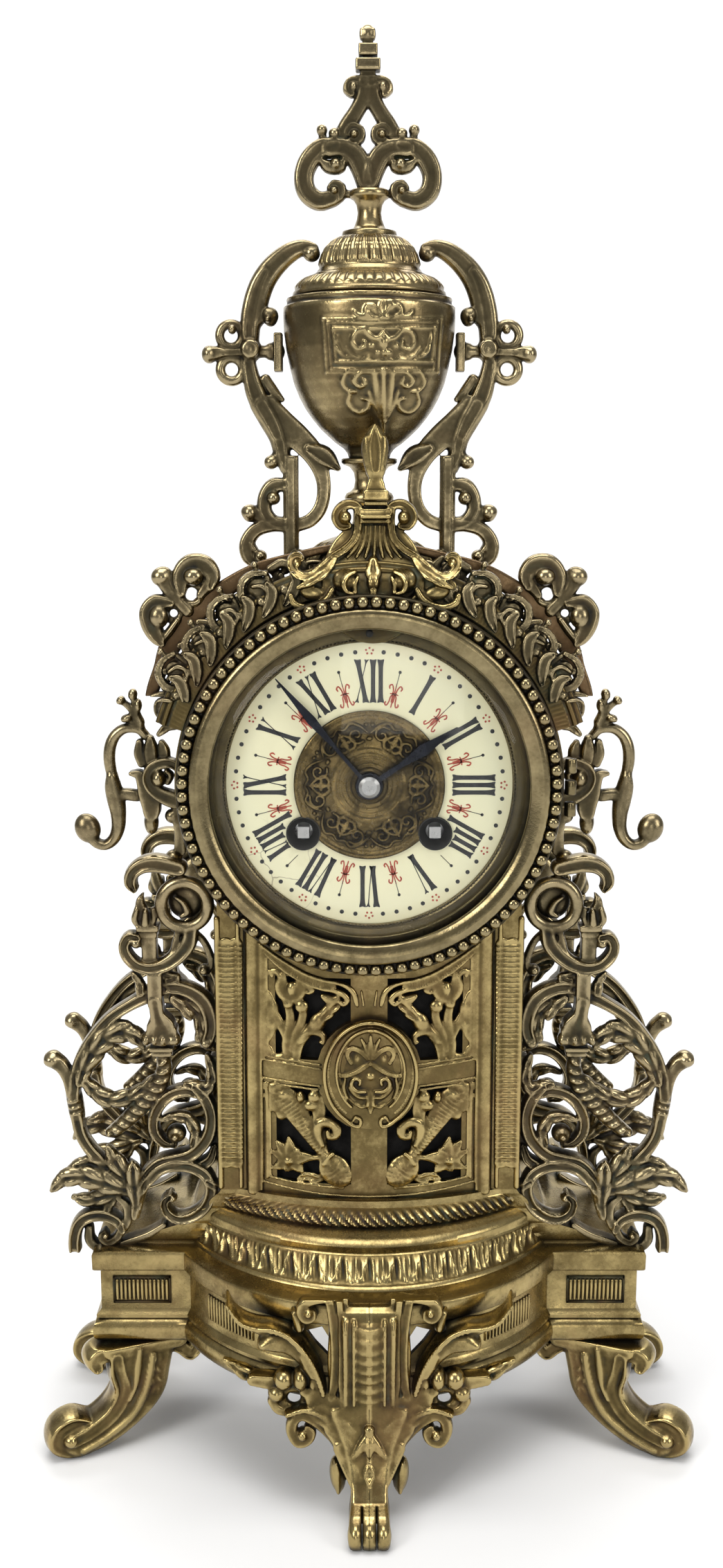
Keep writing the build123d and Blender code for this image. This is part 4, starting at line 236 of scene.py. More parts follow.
    def disc(s, x, y0, y1, z, r, k=0.3, cut=False, soft=0.4):
        """A round slab whose flat faces look along y."""
        m = r + 1.5
        sl = s.win((x - m, y0 - 1.5, z - m), (x + m, y1 + 1.5, z + m))
        if sl is None:
            return
        X, Y, Z = s.grid(sl)
        qx = np.hypot(X - x, Z - z) - (r - soft)
        qy = np.abs(Y - (y0 + y1) / 2) - ((y1 - y0) / 2 - soft)
        f = np.hypot(np.maximum(qx, 0), np.maximum(qy, 0)) + np.minimum(np.maximum(qx, qy), 0) - soft
        s.put(sl, f, k, cut)

    def turned(s, prof, x, y, k=0.3, cut=False):
        """A turned form about a vertical line: prof rows are z and radius, from the bottom up."""
        pr = np.array(prof, float)
        R = pr[:, 1].max() + 1.5
        sl = s.win((x - R, y - R, pr[0, 0] - 1.0), (x + R, y + R, pr[-1, 0] + 1.0))
        if sl is None:
            return
        X, Y, Z = s.grid(sl)
        rad = np.interp(Z[0, 0], pr[:, 0], pr[:, 1])[None, None, :]
        f = np.maximum(np.hypot(X - x, Y - y) - rad, np.maximum(pr[0, 0] - Z, Z - pr[-1, 0]))
        s.put(sl, f, k, cut)

    def fn(s, lo, hi, func, k=0.3, cut=False):
        sl = s.win(lo, hi)
        if sl is None:
            return
        X, Y, Z = s.grid(sl)
        s.put(sl, func(X, Y, Z), k, cut)

    def arrays(s, adapt=0.0):
        """Vertices in mm, faces, and how proud (+) or sunk (-) each vertex lies."""
        f = s.f.copy()
        for i in range(3):
            sl0 = [slice(None)] * 3; sl0[i] = 0
            sl1 = [slice(None)] * 3; sl1[i] = -1
            f[tuple(sl0)] = 3.0
            f[tuple(sl1)] = 3.0
        g = vdb.FloatGrid(3.0)
        g.copyFromArray(np.ascontiguousarray(f, np.float32))
        pts, tris, quads = g.convertToPolygons(isovalue=0.0, adaptivity=adapt)
        pts = np.asarray(pts, float)
        r = max(1, int(round(1.3 / s.v)))
        b = np.clip(f, -2.0, 2.0).astype(np.float32)
        src = b.copy()
        for i in range(3):
            n = b.shape[i]
            pad = [(0, 0)] * 3
            pad[i] = (r + 1, r)
            c = np.cumsum(np.pad(b, pad, mode="edge"), axis=i, dtype=np.float64)
            hi = np.take(c, np.arange(n) + 2 * r + 1, axis=i)
            lo = np.take(c, np.arange(n), axis=i)
            b = ((hi - lo) / (2 * r + 1)).astype(np.float32)
        q = pts.copy()
        i0 = np.clip(np.floor(q).astype(int), 0, np.array(s.n) - 2)
        t = np.clip(q - i0, 0, 1)
        cav = np.zeros(len(pts))
        for dx in (0, 1):
            for dy in (0, 1):
                for dz in (0, 1):
                    w = (t[:, 0] if dx else 1 - t[:, 0]) * (t[:, 1] if dy else 1 - t[:, 1]) * (t[:, 2] if dz else 1 - t[:, 2])
                    cav += w * b[i0[:, 0] + dx, i0[:, 1] + dy, i0[:, 2] + dz]
        v = pts * s.v + s.o
        return v, np.asarray(tris, int).reshape(-1, 3), np.asarray(quads, int).reshape(-1, 4), cav


def mesh_obj(name, v, tris=None, quads=None, cav=None, faces=None, smooth=True):
    """A Blender mesh object from mm coordinates."""
    me = bpy.data.meshes.new(name)
    v = np.asarray(v, float)
    if faces is not None:
        me.from_pydata((v * 0.001).tolist(), [], [list(map(int, f)) for f in faces])
    else:
        tris = np.zeros((0, 3), int) if tris is None else np.asarray(tris, int).reshape(-1, 3)
        quads = np.zeros((0, 4), int) if quads is None else np.asarray(quads, int).reshape(-1, 4)
        me.vertices.add(len(v))
        me.vertices.foreach_set("co", (v * 0.001).astype(np.float32).ravel())
        nl = tris.size + quads.size
        me.loops.add(nl)
        me.loops.foreach_set("vertex_index", np.r_[tris.ravel(), quads.ravel()].astype(np.int32))
        me.polygons.add(len(tris) + len(quads))
        st = np.r_[np.arange(len(tris)) * 3, tris.size + np.arange(len(quads)) * 4].astype(np.int32)
        me.polygons.foreach_set("loop_start", st)
        me.update(calc_edges=True)
    if smooth:
        me.polygons.foreach_set("use_smooth", np.ones(len(me.polygons), bool))
    if cav is not None:
        at = me.attributes.new("cav", "FLOAT", "POINT")
        at.data.foreach_set("value", np.asarray(cav, np.float32))
    me.validate()
    me.update()
    ob = bpy.data.objects.new(name, me)
    COLL.objects.link(ob)
    return ob


def flipm(v, tris, quads, axis=0):
    w = v.copy()
    w[:, axis] *= -1
    return w, tris[:, ::-1], quads[:, ::-1]


def join_arrays(parts):
    vs, ts, qs, cs, off = [], [], [], [], 0
    for v, t, q, c in parts:
        vs.append(v); ts.append(t + off); qs.append(q + off); cs.append(c)
        off += len(v)
    return np.vstack(vs), np.vstack(ts), np.vstack(qs), np.concatenate(cs)


def both(arr):
    """The left casting and its mirror image."""
    v, t, q, c = arr
    w, t2, q2 = flipm(v, t, q)
    return join_arrays([(v, t, q, c), (w, t2, q2, c)])


def place(name, arr, body, nodes=None, mat=None):
    ob = mesh_obj(name, arr[0], arr[1], arr[2], arr[3])
    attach(ob, body)
    if nodes:
        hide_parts(*([nodes] if isinstance(nodes, str) else nodes))
    if mat is not None:
        ob.data.materials.clear()
        ob.data.materials.append(mat)
    return ob


# ------------------------------------------------------------------ casting data: what a list row means
CAST = {}


def tuned(kind, o, r, grow=1.0, dy=0.0, plain=False):
    """A leaf is a broad folded blade with shallow lobes; grow widens strokes, dy moves a row bodily in y."""
    o = dict(o)
    if kind == "s":
        k = grow
        if plain and o.get("kind") == "leaf":
            for w in ("kind", "lobes", "notch", "pitch", "slant"):
                o.pop(w, None)
            o.update(g=0.55, gw=0.42, rim=0.25)
        if o.get("kind") == "leaf":
            o["notch"] = min(o.get("notch", 0.28), 0.17)
            o["pitch"] = o.get("pitch", 3.0) * 1.6
            o.setdefault("g", 0.4)
            o.setdefault("gw", 0.3)
            k *= 1.12
        r = [[q[0], q[1], q[2] * k] + ([q[3] + dy] + list(q[4:]) if len(q) > 3 else []) for q in r]
        if len(r[0]) == 3:
            o["y"] = o.get("y", 4.0) + dy
    elif kind == "e":
        o["y"] = o["y"] + dy
        r = [r[0], r[1], r[2] * grow, r[3], r[4] * grow]
    elif kind == "r":
        o["y"] = o["y"] + dy
        r = [r[0], r[1], r[2], r[3] * grow]
    elif kind == "b":
        r = [r[0], r[1], r[2] + dy, r[3] + dy, r[4], r[5]]
    return o, r


def sculpt(F, items, k=0.5, grow=1.0, dy=0.0, plain=False):
    for kind, o, r in items:
        o, r = tuned(kind, o, r, grow, dy, plain)
        if kind == "s":
            F.stroke(r, **o)
        elif kind == "e":
            y = o.pop("y")
            F.ell(r[0], y, r[1], r[2], r[3], r[4], **o)
        elif kind == "r":
            y = o.pop("y")
            F.ring(r[0], y, r[1], r[2], r[3], **o)
        elif kind == "b":
            F.box(*r, **o)


# ------------------------------------------------------------------ materials
class Mat:
    def __init__(s, name):
        s.m = bpy.data.materials.new(name)
        s.m.use_nodes = True
        s.nt = s.m.node_tree
        s.nt.nodes.clear()
        s.out = s.n("ShaderNodeOutputMaterial")
        s.b = s.n("ShaderNodeBsdfPrincipled")
        s.nt.links.new(s.b.outputs[0], s.out.inputs[0])
        tc = s.n("ShaderNodeTexCoord")
        s.co = tc.outputs["Object"]

    def n(s, t):
        return s.nt.nodes.new(t)

    def link(s, a, b):
        s.nt.links.new(a, b)

    def noise(s, scale, detail=4.0, rough=0.55, dist=0.0, out="Fac", co=None):
        t = s.n("ShaderNodeTexNoise")
        t.inputs["Scale"].default_value = scale
        t.inputs["Detail"].default_value = detail
        t.inputs["Roughness"].default_value = rough
        t.inputs["Distortion"].default_value = dist
        s.link(co or s.co, t.inputs["Vector"])
        return t.outputs[out]

    def ramp(s, fac, stops, interp="LINEAR"):
        r = s.n("ShaderNodeValToRGB")
        r.color_ramp.interpolation = interp
        e = r.color_ramp.elements
        e[0].position, e[1].position = stops[0][0], stops[-1][0]
        for _ in stops[1:-1]:
            e.new(0.5)
        for i, (p, c) in enumerate(stops):
            e[i].position = p
            c = (c, c, c) if isinstance(c, (int, float)) else c
            e[i].color = (*c, 1)
        s.link(fac, r.inputs[0])
        return r.outputs[0]

    def mix(s, fac, a, b, mode="MIX"):
        m = s.n("ShaderNodeMix")
        m.data_type = "RGBA"
        m.blend_type = mode
        for val, sock in ((fac, m.inputs[0]), (a, m.inputs[6]), (b, m.inputs[7])):
            if isinstance(val, (int, float)):
                sock.default_value = val if sock == m.inputs[0] else (val, val, val, 1)
            elif isinstance(val, (tuple, list)):
                sock.default_value = (*val, 1)
            else:
                s.link(val, sock)
        return m.outputs[2]

    def math(s, op, a, b=0.0, c=0.0, clamp=False):
        m = s.n("ShaderNodeMath")
        m.operation = op
        m.use_clamp = clamp
        for i, val in enumerate((a, b, c)):
            if isinstance(val, (int, float)):
                m.inputs[i].default_value = val
            else:
                s.link(val, m.inputs[i])
        return m.outputs[0]

    def mapr(s, v, a, b, c=0.0, d=1.0):
        m = s.n("ShaderNodeMapRange")
        m.clamp = True
        for i, x in enumerate((a, b, c, d)):
            m.inputs[1 + i].default_value = x
        s.link(v, m.inputs[0])
        return m.outputs[0]

    def bump(s, h, strength, dist):
        b = s.n("ShaderNodeBump")
        b.inputs["Strength"].default_value = strength
        b.inputs["Distance"].default_value = dist
        s.link(h, b.inputs["Height"])
        s.link(b.outputs[0], s.b.inputs["Normal"])
        return b

    def set(s, **k):
        for a, v in k.items():
            s.b.inputs[a.replace("_", " ")].default_value = v


def brass(name, bright=(0.66, 0.50, 0.235), mid=(0.40, 0.285, 0.115), dark=(0.075, 0.052, 0.024), green=0.35, polish=0.5,
          grime_and_shade=0.5, rough=(0.20, 0.52), ao=True, bump=0.35, brown=(0.24, 0.14, 0.07), tarn=0.35, cavs=1.0):
    """Old gilt brass: bright on the high places, from rubbing and painted highlight; brown and dark in the low ones,
    from grime and painted shade (the sunk measure and ambient occlusion); a little verdigris in the corners.
    """
    M = Mat(name)
    at = M.n("ShaderNodeAttribute")
    at.attribute_name = "cav"
    big = M.noise(38, 3, 0.55)
    medium = M.noise(170, 5, 0.6, 0.3)
    fine = M.noise(900, 5, 0.65)
    # how sunk a point lies, 0 proud, 1 deep; sunk points take the dark colour, which is grime and painted shade
    cav = M.mapr(at.outputs["Fac"], 0.30 * cavs, -0.42 * cavs, 0.0, 1.0)
    low = cav
    # ambient occlusion darkens the colour where shade falls: painted shade
    if ao:
        a = M.n("ShaderNodeAmbientOcclusion")
        a.samples = 4
        a.inputs["Distance"].default_value = 0.0065
        low = M.math("MAXIMUM", cav, M.mapr(a.outputs["AO"], 0.92, 0.25, 0.0, 1.0))
    wob = M.math("ADD", low, M.math("MULTIPLY", M.math("SUBTRACT", medium, 0.5), 0.55))
    wob = M.math("ADD", wob, M.math("MULTIPLY", M.math("SUBTRACT", big, 0.5), 0.5))
    wob = M.math("ADD", wob, M.math("MULTIPLY", M.math("SUBTRACT", fine, 0.5), 0.22))
    # this offset moves the whole colour toward the dark end: grime and painted shade
    wob = M.math("ADD", wob, (grime_and_shade - 0.5) * 0.6)
    # bright colour on proud places is rubbed wear and painted highlight; dark colour in sunk places is grime and
    # painted shade
    col = M.ramp(wob, [(0.12, bright), (0.42, mid), (0.66, tuple(0.5 * (a + b) for a, b in zip(mid, dark))), (0.92, dark)])
    tar = M.mapr(M.noise(22, 4, 0.6, 0.8), 0.50, 0.72, 0.0, tarn)
    col = M.mix(tar, col, M.mix(0.5, col, brown))
    vg = M.noise(60, 5, 0.7, 0.5)
    vfac = M.math("MULTIPLY", M.mapr(wob, 0.55, 0.95), M.mapr(vg, 0.52, 0.70, 0.0, green), clamp=True)
    col = M.mix(vfac, col, (0.22, 0.27, 0.15))
    M.link(col, M.b.inputs["Base Color"])
    met = M.math("SUBTRACT", 1.0, M.math("MULTIPLY", vfac, 0.8), clamp=True)
    met = M.math("SUBTRACT", met, M.mapr(wob, 0.62, 1.1, 0.0, 0.55), clamp=True)
    M.link(met, M.b.inputs["Metallic"])
    r = M.mapr(wob, 0.1, 0.95, rough[0], rough[1])
    r = M.math("ADD", r, M.math("MULTIPLY", M.math("SUBTRACT", fine, 0.5), 0.16), clamp=True)
    M.link(r, M.b.inputs["Roughness"])
    h = M.math("ADD", M.math("MULTIPLY", fine, 0.6), M.math("MULTIPLY", medium, 1.0))
    M.bump(h, bump, 0.00022)
    return M.m
CAST['apron'] = [
 ('s', {'y':-39.4,'h':3.0,'g':0.4}, [[-12.45,76.69,1.65],[-15.49,75.94,1.51],[-18.67,75.34,1.65],[-21.17,73.54,1.65],[-21.74,70.83,1.51],[-20.09,68.72,1.38],[-18.01,69.62,1.24],[-18.14,71.58,0.96]]),
 ('e', {'y':-40.2}, [-19.39,71.28,1.38,3.2,1.51]),
 ('s', {'y':-39.6,'h':2.8,'g':0.6,'gw':0.5}, [[-12.73,75.34,1.38],[-11.78,69.92,1.51],[-10.97,62.36,1.51],[-10.72,53.23,1.65],[-11.44,45.58,1.51],[-12.3,41.73,1.1]]),
 ('s', {'y':-40.6,'h':2.6,'g':0.3}, [[-9.68,76.69,1.1],[-8.87,68.42,1.1],[-8.62,57.81,1.1],[-8.78,47.11,1.1],[-8.38,39.42,0.96]]),
 ('s', {'y':-38.4,'h':2.4,'kind':'flat'}, [[-8.99,77.44,2.06],[-9.71,65.39,2.75],[-10.03,51.71,3.03],[-9.08,40.96,3.03]]),
 ('s', {'y':-36,'h':3.6}, [[-45.77,74.74,0.55],[-44.31,70.68,1.1],[-40.9,66.91,1.79],[-36.77,64.94,2.2],[-31.93,63.43,3.03],[-27.09,61.61,3.58]]),
 ('s', {'y':-37.2,'h':4.4}, [[-34.06,59.33,1.79],[-30.58,60.09,3.44],[-25.72,59.33,3.58],[-21.57,55.52,2.89],[-18.12,50.18,2.61],[-15.64,44.81,2.06]]),
 ('s', {'y':-40.2,'h':2.4,'rim':0.2}, [[-45.36,73.99,0.48],[-40.89,67.81,0.62],[-36.06,65.85,0.76],[-31.21,65.39,0.83],[-26.38,63.43,0.89],[-22.52,59.63,0.96],[-18.8,54.0,0.96],[-16.18,47.88,0.89],[-14.67,42.81,0.69]]),
 ('s', {'y':-37,'h':3.6}, [[-24.24,70.23,0.83],[-23.15,67.66,1.38],[-22.48,64.64,1.51]]),
 ('e', {'y':-38.0}, [-27.5,46.65,3.03,4.0,3.3]),
 ('e', {'y':-38.6}, [-22.19,47.11,2.34,4.2,3.44]),
 ('e', {'y':-38.2}, [-18.15,46.19,1.51,3.6,3.16]),
 ('s', {'y':-40.0,'h':2.6}, [[-21.57,56.28,0.96],[-19.5,52.47,1.65],[-18.13,49.41,1.24]]),
 ('s', {'y':-33.8,'h':2.4,'pitch':3.6,'notch':0.2,'kind':'leaf','lobes':1}, [[-46.99,50.79,0.55],[-42.57,47.88,1.93],[-37.73,44.66,2.06],[-32.16,42.04,1.38]]),
 ('s', {'y':-35.6,'h':2.8,'kind':'flat'}, [[-37.71,45.58,1.65],[-32.13,44.81,2.06],[-25.15,44.04,2.06],[-18.17,42.5,1.65]]),
 ('e', {'y':-37.4}, [-29.93,41.27,2.61,3.2,2.61]),
 ('s', {'y':-37.2,'h':2.8,'g':0.3}, [[-31.5,38.65,1.38],[-29.43,35.87,1.65],[-26.63,34.79,1.38]]),
 ('r', {'y':-37.0}, [-24.35,39.42,3.58,1.38]),
 ('s', {'y':-38,'h':2.6,'kind':'flat'}, [[-20.96,42.81,1.38],[-15.38,40.96,2.75],[-9.79,36.95,4.4],[-5.59,30.91,4.95],[-2.78,23.91,4.54],[-0.66,16.09,4.13],[0.75,11.37,3.85]]),
 ('s', {'y':-39.4,'h':2.6,'g':0.5,'gw':0.5}, [[-6.32,12.55,0.96],[-7.3,19.22,1.65],[-9.82,24.69,1.93],[-14.03,29.98,1.93],[-18.22,33.55,1.93],[-22.0,34.79,1.65],[-24.54,32.77,1.79],[-25.0,28.89,1.79],[-22.78,25.0,1.65],[-19.67,26.09,1.51],[-18.53,28.89,1.24],[-20.07,30.45,0.96]]),
 ('s', {'y':-40.4,'h':2.0,'rim':0.2}, [[-26.62,35.56,0.69],[-21.0,37.26,0.83],[-15.4,35.56,0.89],[-10.51,30.91,0.89],[-7.01,24.69,0.89],[-5.61,17.65,0.83],[-4.76,12.16,0.69]]),
 ('e', {'y':-39.8}, [-21.63,28.12,1.65,3.2,1.79]),
 ('e', {'y':-40,'rot':6}, [-10.28,13.89,2.34,4.4,5.5]),
 ('s', {'y':-42,'h':2.0}, [[-10.54,19.22,0.69],[-9.85,14.52,1.1],[-10.01,9.01,0.69]]),
]
CAST['buds'] = [
 ('e', {'y':2.6}, [-35.22,298.61,3.33,3.2,3.16]),
 ('s', {'y':2.2,'h':2.4,'g':0.3,'rim':0.2}, [[-36.91,294.21,1.0],[-39.16,296.57,1.08],[-39.14,300.12,1.0],[-36.66,302.24,0.83],[-33.56,302.39,0.5]]),
 ('s', {'y':-0.4,'h':1.0,'p':2}, [[-36.64,299.3,0.42],[-34.29,299.37,0.58],[-32.92,297.46,0.58],[-33.89,295.48,0.42]]),
 ('s', {'y':2.6,'h':2.0,'p':2}, [[-33.56,302.39,0.67],[-32.5,299.7,0.75],[-32.19,296.93,0.75],[-34.46,294.14,0.75],[-37.63,292.78,0.67]]),
 ('e', {'y':2.4}, [-36.15,304.32,0.92,1.5,0.92]),
 ('s', {'y':2.8,'h':1.2,'p':2}, [[-35.53,302.35,0.67],[-35.97,304.04,0.42]]),
 ('s', {'y':3.2,'h':1.8,'pitch':2.6,'lobes':1,'kind':'leaf'}, [[-31.0,298.25,0.83],[-28.51,298.41,1.5],[-25.47,296.73,0.67]]),
 ('e', {'y':2.6}, [-45.16,291.01,3.08,3.2,2.93]),
 ('s', {'y':2.2,'h':2.4,'g':0.3,'rim':0.2}, [[-46.08,286.37,1.0],[-48.71,288.31,1.08],[-49.31,291.83,1.0],[-47.21,294.35,0.83],[-44.16,295.03,0.5]]),
 ('s', {'y':-0.4,'h':1.0,'p':2}, [[-46.69,291.45,0.42],[-44.37,291.93,0.58],[-42.68,290.28,0.58],[-43.31,288.15,0.42]]),
 ('s', {'y':2.6,'h':2.0,'p':2}, [[-44.16,295.03,0.67],[-42.65,292.56,0.75],[-41.87,289.88,0.75],[-43.65,286.72,0.75],[-46.55,284.83,0.67]]),
 ('e', {'y':2.4}, [-47.06,296.5,0.92,1.5,0.92]),
 ('s', {'y':2.8,'h':1.2,'p':2}, [[-46.11,294.65,0.67],[-46.84,296.25,0.42]]),
 ('s', {'y':3.2,'h':1.8,'pitch':2.6,'lobes':1,'kind':'leaf'}, [[-40.93,291.39,0.83],[-38.48,291.98,1.5],[-35.19,290.85,0.67]]),
 ('e', {'y':2.6}, [-53.33,281.15,2.83,3.2,2.69]),
 ('s', {'y':2.2,'h':2.4,'g':0.3,'rim':0.2}, [[-53.44,276.4,1.0],[-56.39,277.86,1.08],[-57.58,281.23,1.0],[-55.94,284.1,0.83],[-53.03,285.3,0.5]]),
 ('s', {'y':-0.4,'h':1.0,'p':2}, [[-54.92,281.32,0.42],[-52.71,282.2,0.58],[-50.75,280.86,0.58],[-51.0,278.64,0.42]]),
 ('s', {'y':2.6,'h':2.0,'p':2}, [[-53.03,285.3,0.67],[-51.1,283.12,0.75],[-49.87,280.6,0.75],[-51.09,277.17,0.75],[-53.64,274.79,0.67]]),
 ('e', {'y':2.4}, [-56.16,286.25,0.92,1.5,0.92]),
 ('s', {'y':2.8,'h':1.2,'p':2}, [[-54.9,284.59,0.67],[-55.89,286.04,0.42]]),
 ('s', {'y':3.2,'h':1.8,'pitch':2.6,'lobes':1,'kind':'leaf'}, [[-49.19,282.26,0.83],[-46.87,283.27,1.5],[-43.42,282.73,0.67]]),
 ('e', {'y':2.6}, [-62.04,272.59,2.66,3.2,2.53]),
 ('s', {'y':2.2,'h':2.4,'g':0.3,'rim':0.2}, [[-61.34,267.88,1.0],[-64.51,268.81,1.08],[-66.28,271.93,1.0],[-65.13,275.05,0.83],[-62.45,276.75,0.5]]),
 ('s', {'y':-0.4,'h':1.0,'p':2}, [[-63.65,272.48,0.42],[-61.6,273.73,0.58],[-59.43,272.76,0.58],[-59.3,270.53,0.42]]),
 ('s', {'y':2.6,'h':2.0,'p':2}, [[-62.45,276.75,0.67],[-60.17,274.93,0.75],[-58.52,272.66,0.75],[-59.14,269.06,0.75],[-61.26,266.26,0.67]]),
 ('e', {'y':2.4}, [-65.72,277.14,0.92,1.5,0.92]),
 ('s', {'y':2.8,'h':1.2,'p':2}, [[-64.18,275.72,0.67],[-65.42,276.98,0.42]]),
 ('s', {'y':3.2,'h':1.8,'pitch':2.6,'lobes':1,'kind':'leaf'}, [[-58.13,274.42,0.83],[-56.0,275.82,1.5],[-52.49,275.88,0.67]]),
]
